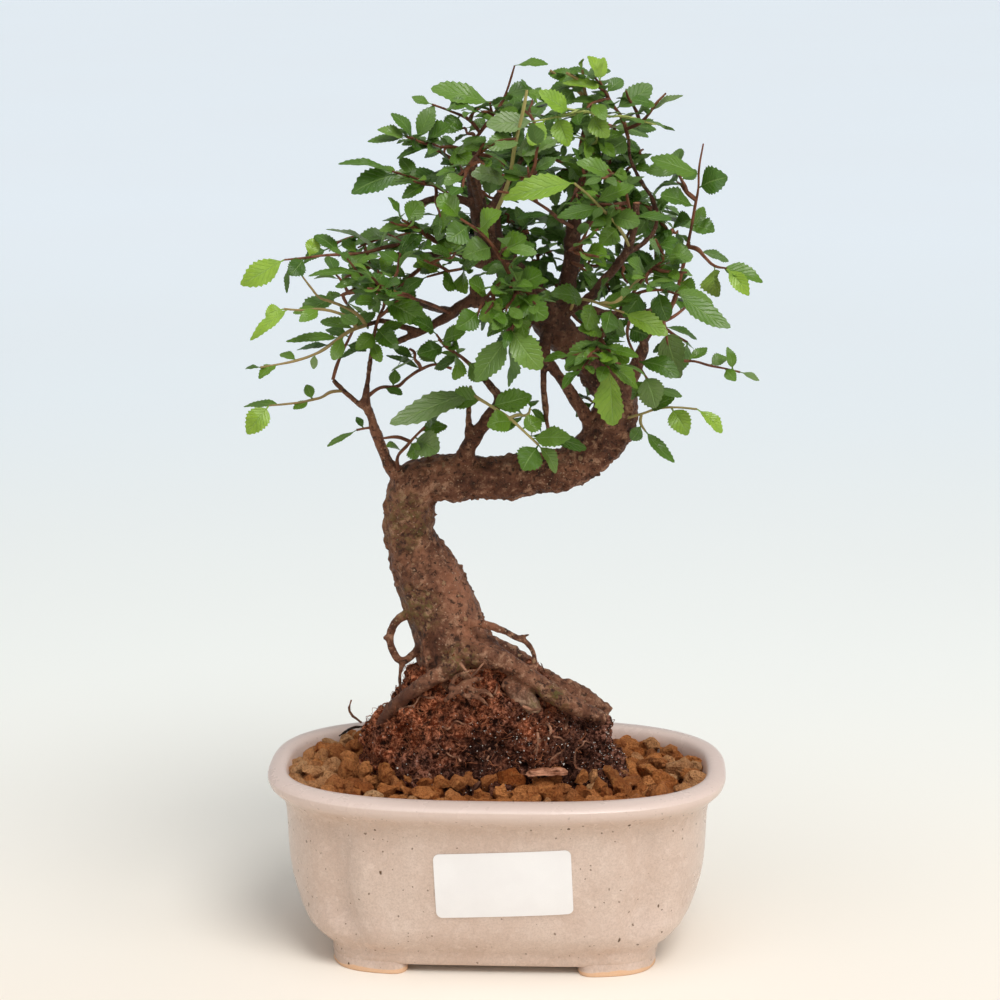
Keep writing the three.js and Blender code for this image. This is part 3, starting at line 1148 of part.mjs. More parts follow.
const wood = grownWood(0);
const woodRoom = grownWood(GAP);
const ball = rootBall(0).subtract(woodRoom);
const ballRoom = rootBall(GAP).add(woodRoom);
const bed = akadama(ballRoom);
const soil = insidePot(GAP, FLOOR_TOP, SOIL_TOP).subtract(rootBall(GAP));
const meshRooms = [-DRAIN_X, DRAIN_X].map((x) => {
  const room = new THREE.CylinderGeometry(DRAIN_MESH_RADIUS + GAP, DRAIN_MESH_RADIUS + GAP, 4, 20);
  room.rotateX(Math.PI / 2);
  room.translate(x, 0, FLOOR_TOP - 0.4);
  return solid(room);
});

bonsai.add(meshOf('pot', buildPot(), 'glaze'));
bonsai.add(meshOf('drain_mesh_left', drainMesh(-DRAIN_X), 'mesh_plastic'));
bonsai.add(meshOf('drain_mesh_right', drainMesh(DRAIN_X), 'mesh_plastic'));
bonsai.add(meshOf('blank_label', label(), 'paper'));
bonsai.add(meshOf('growing_soil', largestPiece(soil.subtract(Manifold.union(meshRooms))), 'soil'));
bonsai.add(meshOf('akadama_topping', bed, 'akadama'));
bonsai.add(meshOf('bark_chip', settle(barkChip(), bed.add(ballRoom)), 'dry_wood'));
bonsai.add(meshOf('dry_twig', settle(dryTwig(), bed.add(ballRoom)), 'dry_wood'));
bonsai.add(meshOf('root_ball', largestPiece(ball), 'root_mass'));
bonsai.add(meshOf('trunk_and_roots', largestPiece(wood), 'bark'));
for (const shoot of buildShoots(woodRoom, ballRoom)) {
  bonsai.add(meshOf(shoot.name, shoot.body, 'foliage'));
}

export default bonsai;
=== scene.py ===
# A small Chinese elm grown as an indoor tree, on its bare root ball in a glazed pot.
# Lengths in the tables are millimetres; every piece is made in metres.
import math
import random
from contextlib import contextmanager

import bpy
import numpy as np
from mathutils import Matrix, Vector, noise
from mathutils.bvhtree import BVHTree
from mathutils.kdtree import KDTree


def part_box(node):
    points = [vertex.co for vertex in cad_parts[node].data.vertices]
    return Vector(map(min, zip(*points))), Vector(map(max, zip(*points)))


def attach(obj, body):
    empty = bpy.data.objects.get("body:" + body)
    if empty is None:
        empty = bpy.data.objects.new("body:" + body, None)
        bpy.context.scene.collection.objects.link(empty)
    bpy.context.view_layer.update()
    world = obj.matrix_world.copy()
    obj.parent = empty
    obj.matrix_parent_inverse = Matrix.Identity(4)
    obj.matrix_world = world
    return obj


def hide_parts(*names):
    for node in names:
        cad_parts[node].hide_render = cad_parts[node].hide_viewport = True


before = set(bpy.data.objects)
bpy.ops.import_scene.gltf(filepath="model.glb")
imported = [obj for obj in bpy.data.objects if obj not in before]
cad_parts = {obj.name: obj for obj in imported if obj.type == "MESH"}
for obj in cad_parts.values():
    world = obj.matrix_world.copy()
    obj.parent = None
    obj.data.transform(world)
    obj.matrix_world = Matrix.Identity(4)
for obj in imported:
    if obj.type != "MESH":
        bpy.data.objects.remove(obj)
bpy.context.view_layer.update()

MM = 0.001

# The view point the tables' outlines are seen from, and the camera that stands there
VIEW_POINT = Vector((0.9, -909.5, 354.9))
VIEW_PITCH = 12.5
SENSOR_WIDTH = 36
FOCAL_LENGTH = 100.8

# Pot sizes
POT_LENGTH_LESS_WIDTH = 26
POT_PLAN_POWER = 2.8
POT_LOW = (3, 24)
POT_LOW_LESS_WIDTH = 7.5
POT_LOW_POWER = 2.6
POT_SMALL_RING = 50
POT_SIDES = 160
RIM_LESS_WIDTH = 3
RIM_BOTTOM = 58
RIM_RING = 76
RIM_FADE = 4
POT_TURN = -2.5
WALL_ROWS = 17
GROOVE_X = 51
DRAIN_X = 27
DRAIN_RADIUS = 6
DRAIN_DEPTH = 20
DRAIN_Z = 7.5

# Label sizes
LABEL_WIDTH = 45
LABEL_HEIGHT = 22.8
LABEL_X = 3.9
LABEL_Z = 34.4
LABEL_TURN = 2.6
LABEL_CORNER = 2
LABEL_OFF_WALL = 0.35

# Limbs and roots as they are seen: points of (x, z, depth, radius)
LIMBS = {
    "trunk": (
        (-8, 77, 4, 6), (-10, 85, 2, 10.5), (-12, 92, 0, 14), (-14, 101, 0, 13.7), (-16.5, 110, 0, 12.7),
        (-20, 119, 0, 12.3), (-24, 129, 0, 11.4), (-28.8, 139, 0, 8.6), (-29.3, 149, 0, 8.8),
        (-27.5, 157, 0, 8.6), (-20, 160.5, 0, 8.2), (-9, 161, 0, 7.7), (3, 161, 0, 7.2), (14, 162.5, 0, 7),
        (24, 165.5, 0, 7.4), (33, 171.5, 0, 8), (38, 180, 0, 7.6), (39.5, 189, 1, 6.6), (34, 197, 3, 6.6),
        (26, 204, 5, 6), (18.5, 212, 6, 5.8), (12, 221, 6, 5.4), (5, 229.5, 6, 5.2), (-1, 238, 5, 4.6),
        (-5, 247, 4, 3.6), (-7.5, 257, 3, 2.3), (-8, 266, 2, 1.6), (-7, 273, 2, 1.1),
    ),
    "second_stem": (
        (17, 212, 7, 3), (22, 222, 9, 3.2), (24, 233, 9, 2.8), (25, 244, 8, 2.5), (26.5, 255, 6, 1.9),
        (30, 265, 3, 1.4), (33, 275, 0, 1.1), (31.5, 281, -3, 0.9),
    ),
    "left_limb": (
        (-29, 159, -1, 3.4), (-35, 164, -3, 2.4), (-37.6, 169, -4, 1.9), (-39.8, 175, -5, 1.7),
        (-41.6, 181, -6, 1.5), (-43.3, 186, -7, 1.8), (-42.6, 194, -9, 1), (-41.4, 203, -12, 0.85),
    ),
    "left_fork": (
        (-42.2, 183, -6, 1.2), (-46, 186, -7, 0.95), (-49.5, 189, -8, 0.9), (-54.2, 193.8, -8, 0.9),
    ),
    "centre_limb": (
        (-11, 163, -2, 3.6), (-10, 170, -4, 2.9), (-6.5, 176, -5, 2.3), (-2.5, 182, -6, 2),
        (0.5, 187, -6, 1.6), (-2.5, 192, -6, 1.4), (-6, 196, -5, 1),
    ),
    "centre_stub": (
        (-9.5, 172, -5, 1.3), (-9.4, 183, -5, 1), (-8.8, 191.5, -4, 0.9),
    ),
    "inner_limb": (
        (32, 174, 0, 3), (29, 182, -2, 2.2), (24.5, 189, -3, 1.9), (20, 195.5, -3, 1.9),
        (15.5, 201.5, -3, 2), (10, 207, -3, 1.9), (4, 211.5, -3, 1.9), (-1, 216.5, -4, 2.2),
        (-5.5, 220, -4, 2.6), (-10, 219.3, -5, 1.9), (-15, 215.8, -6, 1.8), (-20, 212.6, -6, 1.6),
        (-27, 209, -7, 1.4), (-33.6, 206.3, -8, 1.3),
    ),
    "inner_join": (
        (15.5, 201.5, -3, 1.9), (16, 207, 0, 2.3), (18.5, 213, 5, 2.6),
    ),
    "inner_stub": (
        (-6, 218, -4, 2), (-7, 222, -4, 1.7), (-7.6, 225.5, -4, 1.5),
    ),
    "hanging_stem": (
        (15.5, 200, -3, 1.1), (15.2, 193, -6, 1.2), (15.8, 186, -8, 1.1), (16.5, 179, -10, 0.9),
        (17.6, 173, -12, 0.8),
    ),
    "side_limb": (
        (-25, 209.8, -7, 1.2), (-32, 211.8, -8, 1.1), (-37, 213.4, -9, 1), (-43, 212, -13, 0.9),
    ),
    "upper_left": (
        (1, 234, 4, 2.4), (-6, 232.6, 0, 1.8), (-11, 235.5, -3, 1.5), (-16, 236.6, -5, 1.3),
        (-22, 235, -6, 1.3), (-27, 235.5, -6, 1.1), (-32, 238.6, -4, 0.9),
    ),
    "knob": (
        (40, 187, 0, 4), (44.5, 195.5, 0, 2.6), (47.2, 201, 0, 1.7), (48.4, 205, 0, 1.5),
        (46.8, 209, 0, 1.3),
    ),
    "right_rising": (
        (16, 210, 6, 2.6), (24, 217, 3, 2), (30, 221, 0, 1.7), (35, 227, -3, 1.5), (40, 233, -5, 1.6),
        (43, 238, -6, 1.4), (44.8, 245, -6, 1.2), (45.2, 252.5, -6, 1.15),
    ),
    "right_upright": (
        (42, 236, -6, 1.1), (47, 238.5, -3, 0.9), (51.5, 244, -2, 0.8), (50.6, 253, -2, 0.75),
        (46.5, 259.5, -3, 0.8), (43, 267, -4, 0.75), (42.4, 273, -4, 0.7),
    ),
    "right_low": (
        (26, 219, 3, 1.4), (36, 216, 4, 1.3), (45, 215.5, 3, 1.2), (51, 216.5, 1, 1.1), (56, 216, 1, 1),
    ),
    "pruned_stub": (
        (-5, 250, 3, 1.7), (-14, 253.8, 0, 1.3), (-20.5, 253.5, -3, 1.2), (-29.3, 250.4, -6, 1.15),
    ),
    "short_stub": (
        (2, 236, 3, 1.8), (0.3, 243, -4, 1.3), (0, 250, -8, 1.2),
    ),
    "front_limb": (
        (18, 213, 6, 2.2), (14, 217, -9, 1.6), (8, 222.5, -21, 1.2), (4.5, 228, -30, 0.9),
    ),
    "front_right": (
        (27, 203, 4, 2.2), (32, 207, -8, 1.5), (38, 213.5, -17, 1.2), (44, 222, -26, 0.9),
    ),
    "back_limb": (
        (18, 213, 6, 2.4), (20, 219, 16, 1.6), (24, 227, 26, 1.2), (28, 236, 33, 0.9),
    ),
    "back_left": (
        (8, 225, 6, 2.2), (3, 229, 16, 1.5), (-7, 237, 25, 1.1), (-18, 244.5, 32, 0.9),
    ),
    "back_top": (
        (-4, 247, 4, 1.8), (2, 256.5, 9, 1.2), (8, 266.5, 14, 0.95), (13.5, 275, 17, 0.8),
    ),
    "back_right": (
        (24.5, 242, 8, 1.6), (34, 248.5, 19, 1.1), (42, 254.5, 29, 0.85),
    ),
    "front_top": (
        (-5, 249, 4, 1.7), (-7.5, 257.5, -10, 1.1), (-9.5, 264, -21, 0.85),
    ),
    "left_back": (
        (-14, 216.3, -6, 1.4), (-24, 218.5, 11, 1.1), (-34, 222, 23, 0.85),
    ),
    "right_back": (
        (41, 190, 1, 2), (47, 204, 14, 1.2), (52.5, 212.5, 25, 0.9),
    ),
}

ROOTS = {
    "left_root": (
        (-10, 101, -4, 4), (-13, 97, -12, 3.2), (-19, 93.3, -15, 2.9), (-26, 89, -14, 2.7),
        (-32, 84.5, -12, 2.4), (-37, 79.5, -9, 1.9), (-40.5, 74.5, -7, 1.4),
    ),
    "right_root": (
        (-6, 104, -5, 5), (0, 99, -11, 3.8), (7, 94.8, -14, 3.2), (13, 90.6, -15, 3),
        (18.5, 86.4, -15, 3.1), (24, 83, -14, 3.1), (30, 80.3, -12, 2.8), (36.5, 77.5, -9, 2.3),
    ),
    "ridge_root": (
        (-7, 104.5, 1, 4.8), (4.6, 98.8, 1, 4), (12, 94, 2, 3.8), (19, 89, 2, 3.8), (26, 86, 2, 4.2),
        (32, 82.5, 2, 3.8), (37.5, 78.5, 1, 3),
    ),
    "back_left_root": (
        (-17, 103, 4, 5), (-21, 97.5, 11, 3.4), (-26.6, 93, 15.6, 2.5), (-27.6, 87.4, 18, 2.7),
        (-33, 83.4, 19.2, 1.9), (-33.6, 78, 21.6, 1.7), (-38, 73.6, 22, 1),
    ),
    "back_right_root": (
        (-8, 103, 5, 5), (-4, 98, 11.6, 3.2), (2.6, 93.6, 15, 2.4), (4.4, 87.6, 18.4, 2.6),
        (10.6, 83.6, 19.4, 1.8), (11.6, 78.4, 21.8, 1.6), (17, 73, 22, 0.9),
    ),
    "loop_root": (
        (-27, 114, -3, 1.9), (-31.6, 113.4, -5, 1.7), (-35, 109.8, -6, 1.5), (-36.1, 105, -6, 1.4),
        (-35, 100.6, -6, 1.3), (-32, 97.7, -6, 1.2), (-29, 99.5, -5, 1.2), (-26, 103, -4, 1.4),
    ),
    "loop_spur": (
        (-35.6, 107, -6, 0.9), (-38.4, 105.4, -7, 0.6),
    ),
    "loop_strand": (
        (-32, 97.9, -6, 1), (-32.7, 94, -6, 0.7), (-32.9, 89.6, -6, 0.6), (-32, 85, -7, 0.6),
    ),
    "arch_root": (
        (-14, 112.5, -6, 2), (-9, 111, -10, 1.6), (-4, 110.4, -12, 1.5), (1, 108.6, -12, 1.3),
        (6, 106.2, -12, 1.2), (9.6, 104.4, -12, 1.2), (12, 100.8, -12, 1.1), (12.4, 96.6, -13, 1),
        (12, 92, -14, 0.9),
    ),
    "front_flare": (
        (-17, 107, -6, 7), (-12, 102, -10, 5), (-6, 99.6, -12, 4.4), (1, 98, -13, 3.4),
        (7, 95.6, -13, 2.4),
    ),
    "knot": (
        (-5, 91.4, -16, 0.7), (-8, 91.2, -18, 1.1), (-11.5, 89.4, -18, 1.5), (-14.5, 86.6, -19, 1.2),
        (-18, 83.5, -19, 0.6),
    ),
    "knot_branch": (
        (-11, 89, -18, 1.1), (-8, 87.6, -20, 1), (-4, 87, -20, 0.9), (-1, 84.6, -20, 0.6),
    ),
    "knot_bow": (
        (-13, 88, -18, 0.8), (-11, 85.6, -20, 0.9), (-6.5, 85, -20, 0.8), (-3, 82, -20, 0.6),
    ),
    "knob_root": (
        (2, 90.5, -13, 2), (5, 88, -14.6, 3.2), (8.4, 85.2, -15, 4), (11.6, 82, -15.4, 3),
        (14, 79.6, -15, 1.2),
    ),
    "trunk_strand": (
        (-25, 112, -9, 0.9), (-24, 108, -11, 0.75), (-25, 104, -11.5, 0.7), (-24, 99, -11, 0.7),
        (-23.5, 94, -12, 0.6),
    ),
    "knot_thread": (
        (-16, 87.5, -19, 0.9), (-14, 92, -19, 0.7), (-9, 94.2, -18, 0.6), (-4, 94.6, -17, 0.5),
    ),
    "arch_spur": (
        (7, 106, -12, 0.9), (10.9, 106.9, -13, 0.55),
    ),
}

# Outlines of the root ball: height, centre, half length and half depth
BALL_RINGS = (
    (30, -2, 40, 20), (44, -2, 46, 23), (56, -2, 47.5, 24), (63, -2.2, 45.5, 23), (70, -2.5, 41.8, 21.5),
    (78, -2.5, 38.5, 19.8), (84, -4.5, 32, 18), (90, -7, 25, 16.6), (95.5, -8.5, 19, 15.4),
    (100, -9, 13, 14), (103.5, -9.5, 7, 12),
)

# Shoots as they are seen. A twig's points are (x, z, depth). A leaf is its base's x and z, its tip's x
# and z, how much deeper the tip lies, its width and its lean in degrees. "filling" is how many more
# leaves of what length stand along the twig, and "spurs" how many side twigs it may grow.
BARE = (0, 0)
FILLING = (6, 9.5)
SHOOTS = {
    "left_tip": {"radius": (0.8, 0.38), "filling": BARE, "twigs": (
        ((-32, 238.6, -4), (-37, 237.6, -7), (-44, 235.8, -11), (-51, 235.4, -14), (-57, 235, -14),
         (-63, 234.2, -13), (-69.5, 233.6, -12)),
    ), "leaves": (
        (-69.5, 233.6, -84, 225.4, -2, 8.5, 60), (-62.5, 234.4, -68, 228.6, -4, 6, 60),
        (-61, 234.6, -58.8, 241, 3, 5, 45), (-51.3, 235.4, -59.6, 241.6, 4, 8, 35),
        (-45, 235.8, -50.5, 240.4, 5, 6, 40), (-43, 236, -48.5, 231.2, -6, 7, 35),
        (-38, 237.4, -29.8, 249, -3, 7, 40), (-39, 237.2, -56, 243.6, -5, 7, 10),
        (-66, 233.8, -68.8, 222.6, 3, 5, 30),
    )},
    "left_low": {"radius": (0.75, 0.36), "filling": BARE, "tint": (0.5, 0.1), "twigs": (
        ((-43, 212, -13), (-48, 210.3, -16), (-53, 207, -18), (-57, 204, -20), (-60, 202.4, -21),
         (-66, 200.3, -23), (-72, 199, -24), (-78, 198, -26)),
        ((-46, 211, -15), (-49, 214.5, -20), (-52, 216, -22), (-58, 217.3, -24), (-64, 217, -26),
         (-70, 217.4, -27)),
        ((-43, 212, -13), (-46, 215.7, -14), (-50, 218, -14), (-55, 220, -14), (-58, 221, -13),
         (-61, 224.5, -12), (-63.6, 228, -11)),
    ), "leaves": (
        (-52, 207.6, -69.5, 206.6, -4, 7, 40), (-47, 210.6, -58, 213.4, 4, 8, 40),
        (-55, 205.4, -66, 203.8, 6, 6, 35), (-50.5, 208.6, -54, 200.4, -5, 6.5, 60),
        (-66, 200.3, -71.5, 202.4, 4, 5, 40), (-72, 199, -78.6, 194.2, -3, 6, 40),
        (-78, 198, -83, 197.4, -1, 3.5, 30), (-60, 202.4, -60.5, 197.4, -2, 3, 50),
        (-70, 217.4, -76, 215, -2, 5, 55), (-69, 217.4, -81.2, 207, -5, 4.6, 40),
        (-58, 217.3, -67, 216.2, 3, 6, 50), (-57.5, 217, -65, 213.2, -6, 7, 50),
        (-50, 218, -43.5, 222.3, -3, 6, 45), (-56.5, 220.5, -51.6, 222.6, 5, 5.4, 40),
        (-63.6, 228, -66, 234.4, 4, 4.6, 40), (-52, 216, -46, 212.5, -6, 7, 40),
    )},
    "left_stem": {"radius": (0.75, 0.36), "spurs": 2, "twigs": (
        ((-41.4, 203, -12), (-40.6, 208, -14), (-39, 214.5, -16), (-37, 220, -17), (-41, 225, -18),
         (-45, 229, -19), (-49, 234, -20)),
    ), "leaves": (
        (-41.2, 205, -52, 201, -4, 5, 25), (-40.4, 209.4, -46.5, 203.8, -6, 8.5, 60),
        (-40, 211, -32.6, 204.2, -6, 9.5, 60), (-41, 206.4, -38.2, 199.8, -6, 6, 60),
        (-37.2, 219.6, -22.8, 212.2, -6, 9.5, 50), (-45, 229, -61.8, 228.2, -4, 7, 30),
        (-43, 227, -53, 224.6, -5, 6.6, 40), (-47, 231.6, -38, 234.8, -3, 6.4, 40),
        (-40, 224, -32.6, 227, -5, 7, 50), (-37.6, 218.6, -46.6, 219.4, -6, 7.4, 50),
        (-49, 234, -54.5, 237, -3, 5, 45),
    )},
    "left_fork": {"radius": (0.7, 0.4), "filling": BARE, "twigs": (
        ((-54.2, 193.8, -8), (-53, 198, -7), (-51, 203, -6), (-48.5, 208, -5), (-46, 213, -4)),
    ), "leaves": (
        (-48.5, 208, -56.4, 210.6, 3, 7, 45), (-50, 205.4, -43, 203.4, -1, 6.6, 50),
        (-46, 213, -51.5, 218.4, 5, 6, 40), (-47, 211, -40, 216.4, 5, 7, 45),
    )},
    "left_low_tip": {"radius": (0.65, 0.34), "filling": BARE, "tint": (0.4, 0.1), "twigs": (
        ((-50.6, 190, -8), (-55, 189.7, -10), (-58, 188, -12), (-61, 187.2, -14), (-65, 186.3, -16),
         (-70, 185.7, -18), (-75.4, 185.2, -19)),
    ), "leaves": (
        (-75.4, 185.2, -82.8, 175.6, -2, 7.6, 65), (-71, 185.8, -83.8, 184.8, 3, 6, 35),
        (-61, 187.2, -63, 192.2, 2, 5, 65), (-62, 187, -67.4, 184, -4, 4.6, 50),
    )},
    "left_base": {"radius": (0.6, 0.4), "filling": BARE, "twigs": (
        ((-40.6, 178, -5), (-43.5, 177.6, -7), (-46.5, 177, -9)),
    ), "leaves": (
        (-46.5, 177, -56.4, 171.4, -4, 4.6, 25), (-44.4, 177.4, -46.6, 181.4, 2, 3.6, 40),
    )},
    "corner": {"radius": (0.85, 0.45), "filling": BARE, "twigs": (
        ((-33, 163, -4), (-33, 168, -7), (-30, 171.6, -9), (-27.4, 174.6, -11), (-24, 178, -12)),
        ((-28.6, 173, -10), (-33, 174.6, -11), (-38, 174.2, -12)),
    ), "leaves": (
        (-27.6, 174.4, -19.4, 169.6, -6, 9.5, 60), (-31.6, 170.2, -36.8, 171.4, -6, 6.6, 45),
        (-28.8, 172.8, -26.4, 167.4, -6, 6, 60), (-25.6, 176.4, -16.5, 178.4, 3, 6, 35),
        (-24, 178, -19.4, 182, -2, 6, 40),
    )},
    "front_straw": {"radius": (0.7, 0.42), "filling": BARE, "tint": (0.8, 0.2), "twigs": (
        ((-8.8, 191.5, -4), (-8, 189, -12), (-2, 185, -18), (4, 181, -21), (9.4, 176, -22),
         (13.6, 172, -22)),
    ), "leaves": (
        (-8, 189.4, -35.6, 179, -14, 9, 40), (-5.6, 187.4, -16.4, 186.6, 3, 8.6, 50),
        (-1.5, 184.6, 11.4, 188.6, 4, 9, 45), (6, 179.4, -3.4, 178.4, -5, 8, 55),
        (13.6, 172, 8.4, 163.4, -4, 9.2, 65), (13.2, 172.4, 19.6, 162.6, 3, 6.6, 60),
        (12, 173.8, 24.4, 174.4, -5, 8, 45), (10.4, 175, 29.6, 170.8, 6, 7, 35),
        (8, 177.6, 14.6, 180.4, 4, 6.4, 50),
    )},
    "centre_left": {"radius": (0.8, 0.42), "spurs": 2, "twigs": (
        ((-6, 196, -5), (-9, 199, -10), (-13, 202.4, -15), (-17, 205, -19), (-20, 209, -22)),
    ), "leaves": (
        (-14, 203, -14.4, 193.8, -5, 8, 65), (-17, 205, -26.4, 202.4, -3, 7, 40),
        (-10.4, 200, -3, 194, -6, 7, 55), (-12, 201.6, -20.8, 197.6, 4, 6.4, 40),
        (-20, 209, -28, 213.4, -3, 7, 45), (-18, 206.6, -10.4, 209.6, -6, 7.6, 50),
    )},
    "inner_left": {"radius": (0.75, 0.5), "filling": BARE, "twigs": (
        ((-43, 188, -7), (-38.6, 191.2, -5), (-33, 191.6, -3), (-29.6, 194.4, -1), (-25, 197.4, 1),
         (-20, 199, 2), (-15, 197.6, 2)),
    ), "leaves": (
        (-34.6, 191.6, -33.6, 197.2, 1, 5.6, 55), (-37, 191.3, -31.4, 188.8, -4, 5, 45),
        (-25, 197.4, -36.6, 202, 3, 5, 30), (-20, 199, -25, 205.4, 5, 6.6, 45),
    )},
    "front_right": {"radius": (0.75, 0.42), "spurs": 5, "twigs": (
        ((38, 213.5, -17), (34, 208, -25), (34, 202.6, -31), (36.6, 197.6, -35)),
    ), "leaves": (
        (36.6, 197.6, 38.2, 178.4, -2, 10.6, 72), (34, 204, 43.4, 199.6, -5, 7, 50),
        (33.8, 206, 22.4, 197, -4, 8, 55), (34.4, 209, 26.6, 210.6, -6, 7, 50),
        (35.2, 199.8, 46.4, 191, 4, 8, 50), (34, 202.6, 24.6, 203.2, 4, 6.6, 45),
    )},
    "right_hanging": {"radius": (0.65, 0.4), "filling": BARE, "twigs": (
        ((45, 215.5, 3), (43, 212, -10), (43, 207.4, -18), (45.6, 201.4, -23), (48.6, 195.4, -26),
         (52, 191.4, -27)),
    ), "leaves": (
        (46.4, 199.8, 60, 195, -5, 7, 45), (43, 208.4, 36.6, 212.4, -4, 7, 50),
        (42.8, 211, 49.6, 208.6, -5, 7.6, 60), (48.8, 195, 52.4, 184.4, -6, 9.6, 60),
        (52, 191.4, 61, 188.2, -2, 4, 30), (50.6, 193, 44, 187.4, 3, 6, 50),
    )},
    "right_low": {"radius": (0.65, 0.38), "filling": BARE, "tint": (0.6, 0.2), "twigs": (
        ((40, 181, -2), (47.6, 182.4, -6), (53, 184.2, -9), (59, 184.6, -12), (66, 184, -13)),
        ((47.6, 182.4, -6), (47.4, 179.4, -8), (49, 176.6, -10)),
    ), "leaves": (
        (57, 184.6, 63, 175.2, -4, 7.4, 60), (66, 184, 74.4, 176, -2, 5, 40),
        (50, 183.2, 58.6, 188, -5, 6, 45), (49, 176.6, 58.8, 166, -3, 5, 35),
        (47.6, 178.6, 44.4, 173.6, -4, 4.6, 50),
    )},
    "right_tip": {"radius": (0.7, 0.36), "filling": BARE, "twigs": (
        ((54, 216.2, 1), (55.4, 210, -3), (57, 204, -6), (60, 200.6, -8), (65, 200, -9), (70, 198.6, -11),
         (75, 197.6, -13), (80, 196.4, -14)),
    ), "leaves": (
        (56.4, 210.6, 60.4, 194.4, -9, 11, 65), (56.2, 212.6, 65.6, 207.4, 5, 4.6, 30),
        (70, 198.6, 75.6, 201.4, 3, 4.6, 40), (77, 197.2, 75.6, 204.8, 1, 3.6, 40),
        (75.4, 197.5, 78.6, 193.4, -3, 4, 50), (80, 196.4, 86.4, 193.6, -1, 3.2, 30),
        (62, 200.3, 69, 204.6, 4, 4, 30),
    )},
    "right_front": {"radius": (0.7, 0.38), "spurs": 6, "twigs": (
        ((44, 222, -26), (50, 223.6, -29), (55, 223.4, -31), (59.6, 222, -33)),
        ((44, 222, -26), (49, 229, -35), (55, 234, -41)),
    ), "leaves": (
        (59.6, 222, 76.6, 211.2, -4, 7.6, 45), (57.6, 222.6, 70.6, 219.6, 6, 7, 40),
        (52, 223.6, 56, 213.6, -5, 7, 55), (47.6, 222.8, 41.4, 214.8, -6, 7.6, 55),
        (49, 229, 42.6, 233, -6, 7.6, 50), (50.6, 230.6, 57, 226.6, -6, 7, 50),
        (53, 232.6, 49.6, 240, -4, 7.6, 55), (55, 234, 64, 234.6, -3, 7.6, 50),
    )},
    "middle_straw": {"radius": (0.65, 0.4), "filling": BARE, "spurs": 4, "tint": (0.8, 0.1), "twigs": (
        ((24, 217, 3), (26, 220.4, -12), (31, 220, -24), (36, 218.2, -31), (41.6, 216.2, -34)),
    ), "leaves": (
        (41.6, 216.2, 56, 208.8, -3, 7.6, 45), (34, 219, 44.8, 221.6, -6, 7, 45),
        (31.6, 219.8, 29, 210.6, -6, 8.4, 60), (28.6, 220.4, 17.6, 222.2, -7, 8, 50),
        (37.4, 217.8, 35.4, 209.4, -4, 7, 55), (33, 219.4, 36.4, 227.4, -5, 7.4, 55),
    )},
    "outer_right": {"radius": (0.95, 0.34), "spurs": 5, "twigs": (
        ((56, 216, 1), (58.2, 221, 1), (59.6, 226.4, 0), (61, 233, -1), (63, 243, -2), (64.3, 251, -3),
         (65.3, 257, -4), (65.4, 263, -4), (66.7, 271.4, -5)),
        ((62, 238, -1), (65.4, 237, -5), (68, 234.2, -9), (71, 231.6, -11), (75, 230.8, -13)),
    ), "leaves": (
        (65.3, 256.4, 74.8, 260.6, -4, 9.6, 70), (65.4, 262, 49.6, 266.6, -5, 8, 45),
        (64.2, 250.4, 53, 254.6, -5, 7.4, 45), (63.2, 244.2, 70.8, 242.8, -4, 7, 40),
        (63.6, 247, 57.4, 245, 5, 6.6, 50), (61.4, 235, 53.6, 238, -6, 7, 50),
        (59.6, 226.4, 64.6, 222.6, -5, 6, 50), (60.6, 231, 52.6, 228.4, 6, 6.8, 45),
        (66, 236.6, 75.6, 233.2, 4, 5, 35), (73, 231.2, 86.9, 226.2, -1, 6.4, 40),
        (71, 231.6, 72.6, 221.4, -4, 10, 75), (75, 230.8, 82.4, 221.8, -5, 5.4, 55),
    )},
    "upper_right": {"radius": (0.75, 0.36), "spurs": 7, "twigs": (
        ((42.4, 273, -4), (40.6, 279, -5), (37.5, 283.6, -6), (35, 287.6, -7), (33, 291.6, -8)),
        ((41.6, 276, -4.5), (46, 278, -7), (49, 281, -9), (51, 284, -10), (54.4, 287.6, -11)),
    ), "leaves": (
        (33, 291.6, 29, 299.4, -2, 6, 65), (33.2, 291.2, 34.4, 299, 3, 4.4, 60),
        (34, 289.6, 21, 290.8, -5, 5, 40), (35, 287.6, 40.4, 292, 3, 5, 45),
        (38.4, 282.4, 49.8, 290.2, 3, 8, 45), (40.8, 278, 51.4, 276, 6, 5.6, 40),
        (49.6, 282, 60, 286.8, -3, 4, 30), (51, 284, 43.4, 285.6, -5, 5, 45),
        (42.2, 273.6, 35.6, 269, -6, 7, 50),
    )},
    "top": {"radius": (0.8, 0.5), "spurs": 3, "tint": (0.4, 0.1), "twigs": (
        ((31.5, 281, -3), (29.6, 284.6, -4), (28.3, 288, -5), (27.8, 292, -6), (27.4, 295, -7)),
        ((29.6, 284.6, -4), (26, 288.4, -5), (21.4, 292, -6), (17, 294.8, -7)),
    ), "leaves": (
        (28, 290.6, 16.6, 287.6, 7, 7, 45), (27.9, 291.6, 36.4, 295, 5, 5, 40),
        (27.4, 295, 27.6, 298.6, -1, 2.4, 45), (29.2, 286, 36.4, 283.6, 6, 6, 45),
        (24.4, 289.6, 20.6, 284.4, -7, 5.6, 50),
    )},
    "top_bright": {"radius": (0.6, 0.36), "filling": BARE, "spurs": 4,
        "tint": (0.3, 0.8), "all_bright": True, "twigs": (
        ((33, 275, 0), (32.4, 279.6, -10), (28, 281.8, -17), (22, 280.8, -20), (16.6, 279.4, -22),
         (12, 278.6, -23)),
    ), "leaves": (
        (23, 281, 13.4, 288.4, -3, 7.6, 55), (19.6, 280.2, 23, 270.4, -4, 7, 50),
        (30.6, 280.8, 36, 273.4, -6, 6.6, 50), (12, 278.6, -3.6, 277.4, -3, 8, 50),
